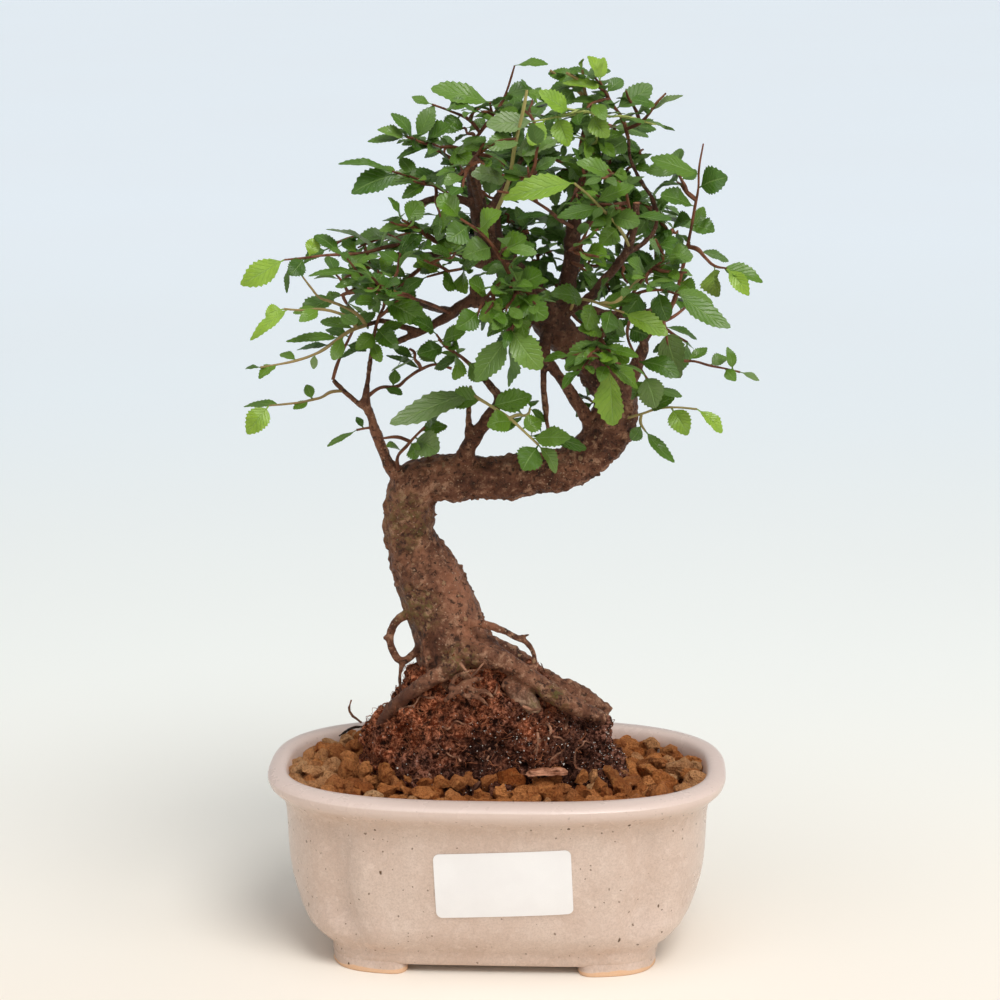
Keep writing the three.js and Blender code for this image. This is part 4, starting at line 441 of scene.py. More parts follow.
        (15.4, 279.2, 10.4, 271, -5, 6.4, 55),
    )},
    "straw_top": {"radius": (0.85, 0.6), "filling": BARE, "tint": (0.85, 0.3), "twigs": (
        ((0, 250, -8), (2.6, 256, -14), (4.3, 262, -19), (5.6, 270, -23), (7.2, 277, -26), (8.6, 283, -28),
         (9.6, 288.6, -29)),
    ), "leaves": (
        (9.3, 286.6, 13, 284.4, 2, 2.6, 45), (9.6, 288.6, 7.6, 292, -1, 2.2, 45),
        (5.3, 268, 19.4, 272, -5, 8, 50), (3.6, 259.4, -8.6, 261.4, -6, 8.4, 55),
        (6.4, 273.4, -3.4, 270, -6, 6.6, 45),
    )},
    "front_bright": {"radius": (0.65, 0.4), "filling": BARE, "tint": (0.5, 0.3), "twigs": (
        ((43, 238, -6), (41, 242, -19), (37.6, 246.6, -28), (33.6, 250.6, -33), (30, 254.4, -36),
         (25, 258.6, -38)),
    ), "leaves": (
        (25, 258.6, 1.5, 253.4, -4, 8.8, 50), (34, 250.2, 19.4, 247.4, -6, 6, 40),
        (36.4, 247.8, 46.4, 245.4, -6, 7, 50), (31.6, 252.6, 44.6, 257.8, -4, 7, 45),
        (39.6, 244, 33.4, 238.4, -8, 7, 50),
    )},
    "upper_left": {"radius": (0.8, 0.38), "spurs": 3, "twigs": (
        ((-8, 266, 2), (-13, 270, -3), (-20, 270.4, -8), (-25, 272, -11), (-29.4, 273.6, -13)),
    ), "leaves": (
        (-29.4, 273.6, -42, 272, -2, 6.4, 40), (-27, 272.8, -34.4, 281, -3, 9, 65),
        (-23.6, 271.6, -15, 277.4, -4, 8, 50), (-25.6, 272.2, -20.4, 283.6, 4, 6, 50),
        (-19, 270.4, -32.6, 266.4, -6, 6, 35), (-15, 270, -8.4, 265, -7, 7.6, 50),
    )},
    "top_left": {"radius": (0.75, 0.36), "spurs": 5, "twigs": (
        ((-7, 273, 2), (-4, 277, 2), (-1, 281, 3), (1.5, 284.6, 3), (3.2, 288.6, 2), (4.6, 293, 1),
         (5.6, 296.4, 0)),
        ((-1.6, 280.4, 3), (-2.4, 284.6, 0)),
        ((-5.6, 275, 2), (-9, 279, -1), (-15, 281.8, -5), (-21, 284, -8)),
    ), "leaves": (
        (5.6, 296.4, 16.4, 296.8, -3, 4.6, 30), (-2.4, 284.6, -21.4, 289, -3, 8.4, 50),
        (2.4, 286.6, 11.4, 289, 4, 6.4, 45), (-21, 284, -27.6, 286.4, -1, 4, 40),
        (-12, 280.6, -16.6, 274.8, -5, 6.6, 50), (-16, 282.2, -9, 285.2, 3, 5, 45),
        (0.4, 283.2, 6.4, 278.6, -5, 6.6, 50),
    )},
    "left_cluster": {"radius": (0.65, 0.38), "spurs": 2, "twigs": (
        ((-14, 253.8, 0), (-19, 257, -6), (-26, 260, -12), (-34, 262.4, -17)),
    ), "leaves": (
        (-34, 262.4, -51.6, 264.8, -4, 6.6, 35), (-33, 262, -47.4, 255.2, -5, 9, 50),
        (-26, 260, -31.4, 266.8, 4, 7, 50), (-22, 258.4, -31, 253.6, -5, 7, 50),
        (-20, 257.6, -13.6, 263, -7, 8, 55),
    )},
    "left_upper": {"radius": (0.75, 0.4), "spurs": 2, "twigs": (
        ((-16, 236.6, -5), (-20, 240, -11), (-25, 243.4, -16), (-31, 246.6, -20)),
    ), "leaves": (
        (-31, 246.6, -35.6, 254, -3, 8.6, 60), (-27, 244.6, -38.4, 243, -4, 7, 45),
        (-22, 241.4, -11.6, 250.6, -6, 9, 50), (-23.6, 242.6, -31.6, 235.4, -6, 8, 60),
        (-20.4, 240.4, -12, 238, -8, 7.6, 50), (-29, 245.6, -24.4, 252.6, 5, 7, 50),
    )},
    "left_middle": {"radius": (0.85, 0.45), "spurs": 2, "twigs": (
        ((-22, 235, -6), (-25, 231, -8), (-29, 227.6, -9), (-33, 224.2, -9), (-38, 221, -9)),
    ), "leaves": (
        (-29, 227.6, -36.6, 230.6, 5, 7, 55), (-33, 224.2, -27.4, 219, -4, 7, 55),
        (-26.4, 229.8, -18.4, 231.4, -6, 7, 45), (-35, 223, -41.8, 228, 6, 6.4, 45),
        (-38, 221, -47.4, 223.6, 4, 6.4, 45),
    )},
    "centre_dark": {"radius": (0.7, 0.42), "spurs": 4, "twigs": (
        ((-7, 232.6, 0), (-11, 230.8, -10), (-17, 229.6, -15), (-23, 228, -18)),
    ), "leaves": (
        (-15, 230, -16.6, 223.6, -5, 7.6, 65), (-11, 230.8, -10, 222.4, -6, 7, 60),
        (-19, 229.2, -26.4, 234, -4, 7, 50), (-23, 228, -30.6, 223, -3, 7.4, 55),
        (-13, 230.4, -5, 235.6, -7, 8, 55),
    )},
    "centre_front": {"radius": (0.8, 0.4), "spurs": 9, "twigs": (
        ((4.5, 228, -30), (6.6, 223, -36), (8, 217.4, -40)),
        ((4.5, 228, -30), (0, 236, -38), (-6, 243, -43), (-12, 247, -46)),
        ((4.5, 228, -30), (-1, 224, -36), (-5, 219, -40), (-7, 214, -43)),
        ((8, 217.4, -40), (5.6, 212.6, -41), (3.4, 208, -41)),
    ), "leaves": (
        (8, 217.4, 9.4, 207.8, -3, 9, 70), (7, 221, 16.4, 214.4, -6, 8.4, 55),
        (6, 224.6, 14.6, 229, -6, 9, 60), (0, 236, 9.6, 240.8, -5, 9, 55),
        (-2, 238.4, -11.4, 234.6, -5, 8.6, 55), (-6, 243, 1.4, 249.4, -4, 8.4, 60),
        (-9, 245, -16.4, 240, -5, 8.4, 60), (-12, 247, -19.6, 254, -2, 8.6, 55),
        (-4, 220.4, 0.6, 213, -5, 8, 60), (-3, 222, -9.4, 226.4, -5, 7, 60),
        (-6.4, 216, -13.6, 211, -5, 7.4, 60), (3.4, 208.4, -7.2, 193, -3, 8.6, 62),
        (4.6, 210.4, 14.6, 197.4, -3, 9.4, 62), (3.6, 208, 3.6, 191.4, 3, 9.6, 66),
        (6.6, 214.4, -3.4, 208.4, 3, 7, 50), (2.6, 226.6, 1.6, 218.6, -7, 8, 60),
    )},
}

# Shoots that fill the crown: how many leaves of what length, how many spurs, then the twig's points
LOOSE_RADIUS = (0.75, 0.4)
LOOSE_SHOOTS = {
    "crown_front_high": (7, 15, 8, (-9.5, 264, -21), (-6, 268, -31), (0, 272, -38), (6, 273, -42)),
    "crown_front_right": (7, 15, 9, (44.8, 245, -6), (43, 250, -20), (41, 257, -31), (36, 263, -38)),
    "crown_middle": (9, 15, 9, (25, 244, 8), (20, 247, -12), (15, 251, -28), (8, 254.6, -38),
        (0, 256, -44)),
    "crown_low_right": (8, 15, 9, (24, 233, 9), (28, 231.6, -10), (30, 233.6, -26), (27, 237.6, -38)),
    "crown_low_left": (7, 14, 4, (-15, 215.8, -6), (-22, 219, -17), (-30, 221.6, -28), (-37, 223, -36)),
    "back_right": (8, 16, 3, (42, 254.5, 29), (48, 252, 34), (56, 247, 38)),
    "back_middle": (8, 16, 3, (28, 236, 33), (23, 242, 38), (13, 247, 42)),
    "back_left": (8, 16, 3, (-18, 244.5, 32), (-27, 243, 35), (-38, 239, 38)),
    "side_left": (8, 16, 3, (-34, 222, 23), (-44, 223, 29), (-56, 221, 34)),
    "back_top": (7, 14, 3, (13.5, 275, 17), (10, 281, 25), (3, 285, 32)),
    "back_low": (8, 16, 3, (24, 227, 26), (17, 217, 34), (6, 208, 38)),
    "side_right": (7, 15, 3, (52.5, 212.5, 25), (58, 215, 33), (64, 220, 40)),
    "top_back": (8, 13, 4, (33, 275, 0), (37, 277, 12), (40, 276, 24)),
    "left_back": (8, 15, 4, (-29, 237, -5), (-36, 242, 9), (-46, 241, 23)),
    "high_back": (8, 15, 4, (-7.5, 257, 3), (-16, 261, 15), (-26, 261, 26)),
    "inner_back": (9, 15, 5, (-1, 238, 5), (-7, 240, 18), (-4, 256, 30), (2, 266, 38)),
}
for name, (leaf_count, leaf_length, spurs, *twig) in LOOSE_SHOOTS.items():
    SHOOTS[name] = {
        "radius": LOOSE_RADIUS, "filling": (leaf_count, leaf_length), "spurs": spurs,
        "twigs": (twig,), "leaves": (),
    }

# Leaves told apart by their seen tips: how yellow, how bright and how grey
BRIGHT, SOFT_BRIGHT = (0.42, 1.0, 0.0), (0.25, 0.9, 0.1)
GREYISH, DARK, DEAD = (0.0, 0.4, 0.8), (0.0, 0.0, 0.0), (0.6, 0.2, 1.0)
TINTED_TIPS = {
    BRIGHT: (
        (-84, 225.4), (-82.8, 175.6), (-58.8, 241), (-81.2, 207), (-76, 215), (27.6, 298.6), (34.4, 299),
        (29, 299.4), (82.4, 221.8), (74.4, 176),
    ),
    SOFT_BRIGHT: ((21, 290.8), (1.5, 253.4), (38.2, 178.4), (63, 175.2), (56, 208.8)),
    (0.55, 1.0, 0.4): ((72.6, 221.4),),
    GREYISH: (
        (-56, 243.6), (-35.6, 179), (52.4, 184.4), (60.4, 194.4), (19.4, 272), (-8.6, 261.4), (-3.6, 277.4),
        (60, 286.8), (86.4, 193.6),
    ),
    DARK: ((-68, 228.6), (74.8, 260.6), (-47.4, 255.2), (49.6, 208.6)),
    (0.1, 0.1, 0.6): ((-19.4, 169.6),),
    DEAD: ((-60.5, 197.4),),
}
LEAF_TINTS = {tip: tint for tint, tips in TINTED_TIPS.items() for tip in tips}
CUT_LIMBS = ("pruned_stub", "right_rising", "short_stub", "inner_limb", "knob", "inner_stub")

# Where each kind of random draw starts
SEED_OF_GRAINS = 11
SEED_OF_CHIP = 5
SEED_OF_FIBRES = 23
SEED_OF_PERLITE = 31
SEED_OF_BUDS = 17
SEED_OF_SHOOTS = 41

# Pot feet, grains, wood and leaves
GROOVE_DEPTH = 1.8
GROOVE_REACH = 4.2
RIDGE_OFF_GROOVE = 9
FOOT_RING = 55.1
FOOT_STEPS = 16
FOOT_ROUNDING = 0.7
FOOT_START = 17
FOOT_END = 75
FOOT_HALF_WIDTH = 4.6
FOOT_ROWS = (
    (0, 0.997, 1.05), (1.3, 0.997, 1.03), (2.5, 0.998, 1.012), (3.4, 0.998, 1.003), (4.1, 0.996, 0.998),
)
GRAIN_RING = 70
GRAIN_LAYERS = ((54.4, 5.2, 2600, 0), (57, 5.4, 2600, 0.5), (58.6, 5.3, 7000, 1))
BALL_X = -2.5
BALL_REACH = (45.5, 21)
GRAIN_FIELD = (68, 43)
GRAIN_SIZES = (2.7, 5.0)
GRAIN_UNEVEN = 1.1
GRAIN_SHAPES = 7
GRAIN_STRETCH = ((0.95, 1.3), (0.85, 1.1), (0.75, 0.95))
# Grains whose centres lie below this height are given painted shade.
BURIED_BELOW = 55.8
BED_SECTION = ((30, 50.6), (63, 50.6), (66.4, 51.4), (67, 53.6), (63, 54.8), (30, 54.8))
CHIP_LAYERS = ((7.2, 1.7, 0, 0), (6.2, 1.2, 0.45, 0.6), (4.6, 0.8, 0.8, -1.4), (3, 0.5, 1.05, 2))
# Lumps on a surface: their size, their height and where the noise they come from is read
BALL_LUMPS = (((16, 3.4, 2.0), (7, 3.0, 5.0)), ((2.8, 1.8, 9.0), (1.3, 1.2, 4.0)))
WOOD_SWELLINGS = ((14, 1.2, 1.0), (6, 0.8, 6.0))
WOOD_BURRS = ((3.4, 0.9, 3.0), (1.7, 0.7, 8.0))
WOOD_VOXEL = 0.62
BALL_VOXEL = 0.62
WALKS_ABOVE = 52
FIBRES = 3200
STRAY_FIBRES = 220
WOODY_ROOTS = 55
PERLITE_SPECKS = 1250
BUDS = 330
BUD_WOOD = 4.2
LEAF_STATIONS = 20
LEAF_STALK = 1.3
LEAF_THICKNESS = 0.25
LEAF_OUTLINES = ((0.88, 0.68), (1.08, 0.66), (0.76, 0.74), (0.9, 0.84))
LEAF_WIDTHS = (0.38, 0.54)
SMALL_LEAF_WIDTHS = (0.42, 0.56)
FLAT_LEANS = (-25, 14)
FACING_LEANS = (14, 58)
SLIM_SIDE = -28
SLIM = 0.7
# Ellipses as they are seen: centre x and z, half width and half height. Loose leaves stay inside the
# first ones, off the wood in the second ones when they lie in front of it, and out of the last ones.
CROWN_ROOM = ((22.5, 246, 45, 49), (-35, 220, 40, 24), (24, 196, 44, 24), (-12, 262, 34, 24))
CLEARINGS = (
    (-7, 256, 4, 12), (-3, 236, 5, 5), (22, 241, 5, 8), (23, 212, 6, 7), (-23, 251, 8, 4),
    (-15, 214, 13, 5), (-27, 209, 8, 4), (41, 237, 4, 13), (33, 222, 7, 4), (7, 276, 4, 12),
    (13, 256, 13, 5), (44.5, 248, 3, 8),
)
OPEN_PLACES = (
    (-19, 223, 10.5, 7.5), (-53, 222, 6, 3), (61, 255, 4, 4), (-21, 279.5, 7, 3), (-32, 268, 4, 3),
)
# Thin places that side twigs grow to: x, z, depth, how far they scatter and how many
THICKETS = (
    (8, 264, 14, 5, 3), (16, 264, 16, 5, 3), (24, 266, 16, 5, 3), (33, 266, 16, 5, 4), (38, 258, 18, 5, 3),
    (30, 256, 18, 5, 3), (47, 268, 14, 4, 2), (44, 250, 18, 5, 3), (52, 244, 20, 5, 3), (58, 240, 24, 4, 2),
    (8, 242, 18, 5, 4), (14, 236, 20, 5, 3), (20, 246, 20, 5, 3), (32, 244, 20, 5, 3), (38, 234, 18, 5, 3),
    (30, 228, 20, 5, 3), (40, 226, 18, 5, 3), (50, 232, 22, 5, 2), (46, 218, 22, 4, 2), (0, 250, 16, 5, 3),
    (-6, 240, 20, 5, 3), (-12, 246, 18, 5, 2), (-13, 272, 8, 5, 2), (2, 278, 10, 5, 2), (14, 276, 10, 5, 2),
    (24, 276, 8, 5, 2), (0, 232, 18, 5, 2), (10, 226, 20, 5, 3), (18, 222, 20, 5, 2), (4, 216, 18, 4, 2),
    (30, 208, 18, 5, 2), (38, 206, 18, 4, 2), (62, 206, 18, 3, 1), (-29, 204, -6, 3, 1),
    (9, 184, -14, 3, 1), (29, 190, 10, 3, 1), (-40, 232, 14, 4, 2), (-48, 229, 14, 3, 1),
    (6, 230, -24, 4, 3), (12, 222, -24, 4, 2), (25, 262, -14, 5, 3), (28, 272, -12, 4, 2),
    (22, 253, -16, 4, 2),
)


# Small plain helpers
def select_only(*objects):
    bpy.ops.object.select_all(action="DESELECT")
    for thing in objects:
        thing.select_set(True)
    bpy.context.view_layer.objects.active = objects[0]


def add_object(name, data):
    thing = bpy.data.objects.new(name, data)
    bpy.context.collection.objects.link(thing)
    return thing


def add_mesh(operator, **settings):
    """Adds one of the stock meshes, selected on its own, and returns it."""
    bpy.ops.object.select_all(action="DESELECT")
    operator(**settings)
    return bpy.context.view_layer.objects.active


@contextmanager
def editing(choice="SELECT"):
    """Edit mode on the active object, with all or nothing selected at the start."""
    bpy.ops.object.mode_set(mode="EDIT")
    bpy.ops.mesh.select_all(action=choice)
    yield
    bpy.ops.object.mode_set(mode="OBJECT")


def turn_outwards():
    with editing():
        bpy.ops.mesh.normals_make_consistent(inside=False)


def use_modifier(thing, kind, **settings):
    select_only(thing)
    modifier = thing.modifiers.new(kind, kind)
    for key, value in settings.items():
        setattr(modifier, key, value)
    bpy.ops.object.modifier_apply(modifier=modifier.name)


def join(things, name):
    select_only(*things)
    bpy.ops.object.join()
    joined = bpy.context.view_layer.objects.active
    joined.name = name
    joined.data.name = name
    return joined


def place_in_mesh(thing):
    """Leaves the object at the origin, unturned and unscaled, with its place in its mesh."""
    select_only(thing)
    bpy.ops.object.transform_apply(location=True, rotation=True, scale=True)


def spots(mesh):
    flat = np.empty(len(mesh.vertices) * 3, dtype=np.float32)
    mesh.vertices.foreach_get("co", flat)
    return flat.reshape(-1, 3).astype(float)


def move_spots(mesh, places):
    mesh.vertices.foreach_set("co", np.asarray(places, dtype=np.float32).ravel())
    mesh.update()


def normals_of(mesh):
    flat = np.empty(len(mesh.vertices) * 3, dtype=np.float32)
    mesh.vertex_normals.foreach_get("vector", flat)
    return flat.reshape(-1, 3)


def any_way(dice):
    return dice.gauss(0, 1), dice.gauss(0, 1), dice.gauss(0, 1)


def any_step(dice, *ranges):
    return Vector([dice.uniform(low, high) for low, high in ranges])


def any_lean(dice, flat_share):
    """A leaf's lean: some lie nearly flat and the others face the front."""
    return math.radians(dice.uniform(*(FLAT_LEANS if dice.random() < flat_share else FACING_LEANS)))


def hand_over(piece, nodes, materials, smooth_angle=None):
    """The last step of a piece: shading, material, body, and the nodes it stands for."""
    if smooth_angle:
        select_only(piece)
        bpy.ops.object.shade_smooth_by_angle(angle=math.radians(smooth_angle))
    if materials:
        piece.data.materials.clear()
        for material in materials:
            piece.data.materials.append(material)
    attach(piece, "root")
    if nodes:
        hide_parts(*nodes)
    return piece


def seen(x, z, y):
    """A point seen at (x, z) in the plane Y = 0, moved along its line of sight to depth y."""
    share = (y - VIEW_POINT.y) / -VIEW_POINT.y
    return Vector((VIEW_POINT.x + (x - VIEW_POINT.x) * share, y, VIEW_POINT.z + (z - VIEW_POINT.z) * share))


def rods(lines, name, bevel=2, steps=5):
    """Round rods along smooth lines of (points, radii), in millimetres, as one mesh."""
    curve = bpy.data.curves.new(name, "CURVE")
    curve.dimensions = "3D"
    curve.bevel_depth = MM
    curve.bevel_resolution = bevel
    curve.resolution_u = steps
    curve.use_fill_caps = True
    for points, radii in lines:
        spline = curve.splines.new("BEZIER")
        spline.bezier_points.add(len(points) - 1)
        for knot, point, radius in zip(spline.bezier_points, points, radii):
            knot.co = Vector(point) * MM
            knot.radius = radius
            knot.handle_left_type = knot.handle_right_type = "AUTO"
    select_only(add_object(name, curve))
    bpy.ops.object.convert(target="MESH")
    return bpy.context.view_layer.objects.active


# Camera, light and floor
SUNS = (
    ("window_light", (0.45, -0.85, 1.3), 1.6, 30, (1, 0.985, 0.96)),
    ("left_fill", (-0.9, -0.8, 0.9), 0.18, 60, (0.98, 0.99, 1)),
)
SOFTBOXES = (
    ("top_softbox", (0.05, -0.2, 0.95), (0, 0, 0.12), (0.7, 0.5), 1.9, (1, 1, 1)),
    ("left_softbox", (-0.75, -0.55, 0.45), (0, 0, 0.1), (0.4, 0.6), 0.4, (1, 0.99, 0.97)),
    ("right_softbox", (0.8, -0.5, 0.45), (0, 0, 0.1), (0.4, 0.6), 1.9, (1, 1, 1)),
)


def set_camera():
    camera = add_object("camera", bpy.data.cameras.new("camera"))
    camera.location = VIEW_POINT * MM
    camera.rotation_euler = (math.radians(90 - VIEW_PITCH), 0, 0)
    camera.data.sensor_width = SENSOR_WIDTH
    camera.data.lens = FOCAL_LENGTH
    camera.data.clip_start = 0.01
    camera.data.clip_end = 20
    bpy.context.scene.camera = camera


def add_softbox(name, place, aim, size, watts, colour):
    lamp = bpy.data.lights.new(name, "AREA")
    lamp.shape = "RECTANGLE"
    lamp.size, lamp.size_y = size
    lamp.energy = watts
    lamp.color = colour
    thing = add_object(name, lamp)
    thing.location = place
    thing.rotation_euler = (Vector(aim) - Vector(place)).to_track_quat("-Z", "Y").to_euler()


def add_sun(name, come_from, strength, spread, colour):
    lamp = bpy.data.lights.new(name, "SUN")
    lamp.energy = strength
    lamp.angle = math.radians(spread)
    lamp.color = colour
    thing = add_object(name, lamp)
    thing.rotation_euler = (-Vector(come_from)).to_track_quat("-Z", "Y").to_euler()


def set_studio():
    scene = bpy.context.scene
    scene.view_settings.view_transform = "Standard"
    world = bpy.data.worlds.new("studio")
    scene.world = world
    world.use_nodes = True
    sky = world.node_tree.nodes["Background"]
    sky.inputs["Color"].default_value = (0.95, 0.97, 1.0, 1)
    sky.inputs["Strength"].default_value = 0.4
    for sun in SUNS:
        add_sun(*sun)
    for softbox in SOFTBOXES:
        add_softbox(*softbox)


# Shader helpers
def give(tree, node, name, value):
    """Links a socket to an input of a node, or sets the input to a value."""
    if isinstance(value, bpy.types.NodeSocket):
        tree.links.new(value, node.inputs[name])
    else:
        node.inputs[name].default_value = value


def wire(tree, kind, inputs=None, **settings):
    """Adds a shader node. An input is given by name or number; a socket is linked, a value is set."""
    node = tree.nodes.new(kind)
    for key, value in settings.items():
        setattr(node, key, value)
    for key, value in (inputs or {}).items():
        give(tree, node, key, value)
    return node


def maths(tree, operation, first, second=None, third=None, clamp=False):
    given = {i: v for i, v in enumerate((first, second, third)) if v is not None}
    return wire(tree, "ShaderNodeMath", given, operation=operation, use_clamp=clamp).outputs[0]


def times(tree, first, second):
    return maths(tree, "MULTIPLY", first, second)


def larger(tree, first, second):
    return maths(tree, "MAXIMUM", first, second)


def scaled(tree, value, factor, shift):
    return maths(tree, "MULTIPLY_ADD", value, factor, shift)


def ramp(tree, value, low, high, low_out=0.0, high_out=1.0):
    given = {"Value": value, "From Min": low, "From Max": high, "To Min": low_out, "To Max": high_out}
    return wire(tree, "ShaderNodeMapRange", given, interpolation_type="SMOOTHSTEP").outputs["Result"]


def axis(tree, place, letter):
    return wire(tree, "ShaderNodeSeparateXYZ", {0: place}).outputs[letter]


def grain(tree, place, scale, detail=3.0, rough=0.55, twist=0.0):
    given = {"Vector": place, "Scale": scale, "Detail": detail, "Roughness": rough, "Distortion": twist}
    return wire(tree, "ShaderNodeTexNoise", given).outputs["Fac"]


def blend(tree, share, first, second, kind="MIX"):
    node = tree.nodes.new("ShaderNodeMix")
    node.data_type = "RGBA"
    node.blend_type = kind
    for index, value in ((0, share), (6, first), (7, second)):
        if isinstance(value, bpy.types.NodeSocket):
            tree.links.new(value, node.inputs[index])
        elif index == 0:
            node.inputs[index].default_value = value
        else:
            node.inputs[index].default_value = (*value, 1)
    return node.outputs[2]


def new_group(name, ins, outs):
    """A shader node group. Sockets are (name, type, default) and (name, type)."""
    group = bpy.data.node_groups.new(name, "ShaderNodeTree")
    for label, kind, start in ins:
        socket = group.interface.new_socket(label, in_out="INPUT", socket_type=kind)
        if start is not None:
            socket.default_value = start
    for label, kind in outs:
        group.interface.new_socket(label, in_out="OUTPUT", socket_type=kind)
    entry = group.nodes.new("NodeGroupInput")
    way_out = group.nodes.new("NodeGroupOutput")
    return group, entry.outputs, way_out.inputs


def use_group(tree, group, inputs):
    node = tree.nodes.new("ShaderNodeGroup")
    node.node_tree = group
    for key, value in inputs.items():
        give(tree, node, key, value)
    return node.outputs


def new_material(name):
    material = bpy.data.materials.new(name)
    material.use_nodes = True
    tree = material.node_tree
    shader = tree.nodes["Principled BSDF"]
    place = tree.nodes.new("ShaderNodeTexCoord").outputs["Object"]
    return (material, shader), tree, place


def dress(skin, tone, rough, height, strength, distance, gloss=0.5):
    """Gives a material its colour, roughness, relief and gloss, and returns it."""
    material, shader = skin
    tree = material.node_tree
    bump = wire(tree, "ShaderNodeBump", {"Height": height, "Strength": strength, "Distance": distance})
    give(tree, shader, "Base Color", tone)
    give(tree, shader, "Roughness", rough)
    give(tree, shader, "Specular IOR Level", gloss)
    give(tree, shader, "Normal", bump.outputs["Normal"])
    return material


FLOAT, VECTOR = "NodeSocketFloat", "NodeSocketVector"


def fleck_group():
    """Round flecks scattered over a surface, of a size that varies, as a mask."""
    sizes = (("Per metre", FLOAT, 300.0), ("Share", FLOAT, 0.3), ("Size", FLOAT, 0.2))
    ins = (("Place", VECTOR, None), *sizes)
    group, given, out = new_group("flecks", ins, (("Mask", FLOAT),))
    warp = wire(group, "ShaderNodeTexNoise", {"Vector": given["Place"], "Scale": 900.0, "Detail": 2.0})
    given_nudge = {0: warp.outputs["Color"], 1: (0.0009, 0.0009, 0.0009)}
    nudge = wire(group, "ShaderNodeVectorMath", given_nudge, operation="MULTIPLY")
    place = wire(group, "ShaderNodeVectorMath", {0: given["Place"], 1: nudge.outputs[0]}, operation="ADD")
    cells = wire(group, "ShaderNodeTexVoronoi", {"Vector": place.outputs[0], "Scale": given["Per metre"]})
    parts = wire(group, "ShaderNodeSeparateColor", {"Color": cells.outputs["Color"]})
    kept = maths(group, "LESS_THAN", parts.outputs[0], given["Share"])
    reach = times(group, given["Size"], maths(group, "ADD", parts.outputs[1], 0.25))
    edge = maths(group, "SUBTRACT", reach, cells.outputs["Distance"])
    mask = ramp(group, edge, 0.0, 0.06)
    group.links.new(times(group, mask, kept), out["Mask"])
    return group


def crumb_group():
    """Heights of a crumbly surface: large lumps with smaller ones on them."""
    ins = (("Place", VECTOR, None), ("Lumps per metre", FLOAT, 300.0))
    group, given, out = new_group("crumbs", ins, (("Height", FLOAT),))
    large = grain(group, given["Place"], given["Lumps per metre"], 2.0)
    finer = times(group, given["Lumps per metre"], 4.2)
    small = grain(group, given["Place"], finer, 4.0, 0.65)
    group.links.new(scaled(group, small, 0.5, large), out["Height"])
    return group


FLECKS = fleck_group()
CRUMBS = crumb_group()


def flecks(tree, place, per_metre, share, size):
    given = {"Place": place, "Per metre": per_metre, "Share": share, "Size": size}
    return use_group(tree, FLECKS, given)["Mask"]


def crumbs(tree, place, per_metre):
    return use_group(tree, CRUMBS, {"Place": place, "Lumps per metre": per_metre})["Height"]


# Materials
def glaze_material():
    """Satin beige glaze with a fine grain, soft pale clouds, brown specks and bare clay under the feet."""
    skin, tree, place = new_material("speckled_glaze")
    height = axis(tree, place, "Z")
    cloud = grain(tree, place, 48.0, 4.0, 0.6)
    spots_pale = grain(tree, place, 170.0, 2.0, 0.5)
    fine = grain(tree, place, 1500.0, 3.0, 0.85)
    middle = grain(tree, place, 420.0, 3.0, 0.7)
    body = blend(tree, ramp(tree, cloud, 0.35, 0.68), (0.62, 0.47, 0.385), (0.68, 0.54, 0.455))
    body = blend(tree, ramp(tree, spots_pale, 0.62, 0.78, 0.0, 0.4), body, (0.83, 0.68, 0.58))
    low = larger(tree, ramp(tree, height, 0.016, 0.004), ramp(tree, height, 0.047, 0.056))
    body = blend(tree, times(tree, low, 0.3), body, (0.55, 0.37, 0.26))
    rim = ramp(tree, height, 0.054, 0.0605)
    body = blend(tree, ramp(tree, fine, 0.34, 0.6, 0.5, 0.0), body, (0.45, 0.335, 0.27))
    body = blend(tree, ramp(tree, middle, 0.48, 0.68, 0.0, 0.17), body, (0.88, 0.74, 0.66))
    body = blend(tree, times(tree, rim, 0.8), body, (0.72, 0.58, 0.52))
    stretched = wire(tree, "ShaderNodeMapping", {"Vector": place, "Scale": (1.0, 1.0, 0.7)}).outputs[0]
    tiny = flecks(tree, place, 620.0, 0.2, 0.24)
    small = flecks(tree, stretched, 300.0, 0.36, 0.15)
    large = flecks(tree, stretched, 150.0, 0.42, 0.085)
    thick = scaled(tree, low, 0.4, 0.6)
    off_rim = maths(tree, "SUBTRACT", 1.0, times(tree, rim, 0.8))
    specks = larger(tree, times(tree, tiny, 0.7), times(tree, small, thick))
    specks = times(tree, larger(tree, specks, large), off_rim)
    body = blend(tree, specks, body, (0.085, 0.04, 0.012))
    bare = maths(tree, "SUBTRACT", height, times(tree, grain(tree, place, 90.0), 0.0022))
    bare = ramp(tree, bare, 0.0002, 0.0006, 1.0, 0.0)
    clay = blend(tree, fine, (0.62, 0.36, 0.2), (0.76, 0.5, 0.32))
    tone = blend(tree, bare, body, clay)
    wet = scaled(tree, cloud, 0.16, 0.2)
    rough = larger(tree, wet, times(tree, bare, 0.85))
    waves = scaled(tree, grain(tree, place, 260.0, 2.0), 0.8, times(tree, specks, -0.1))
    waves = scaled(tree, fine, 0.06, waves)
    return dress(skin, tone, rough, waves, 0.3, 0.0006)


def paper_material():
    skin, tree, place = new_material("label_paper")
    fibres = grain(tree, place, 2600.0, 3.0, 0.7)
    cloud = grain(tree, place, 60.0)
    tone = blend(tree, ramp(tree, cloud, 0.3, 0.7), (0.86, 0.845, 0.84), (0.9, 0.89, 0.885))
    tone = blend(tree, ramp(tree, fibres, 0.3, 0.7, 0.0, 0.2), tone, (0.8, 0.785, 0.78))
    return dress(skin, tone, 0.5, fibres, 0.08, 0.0002)


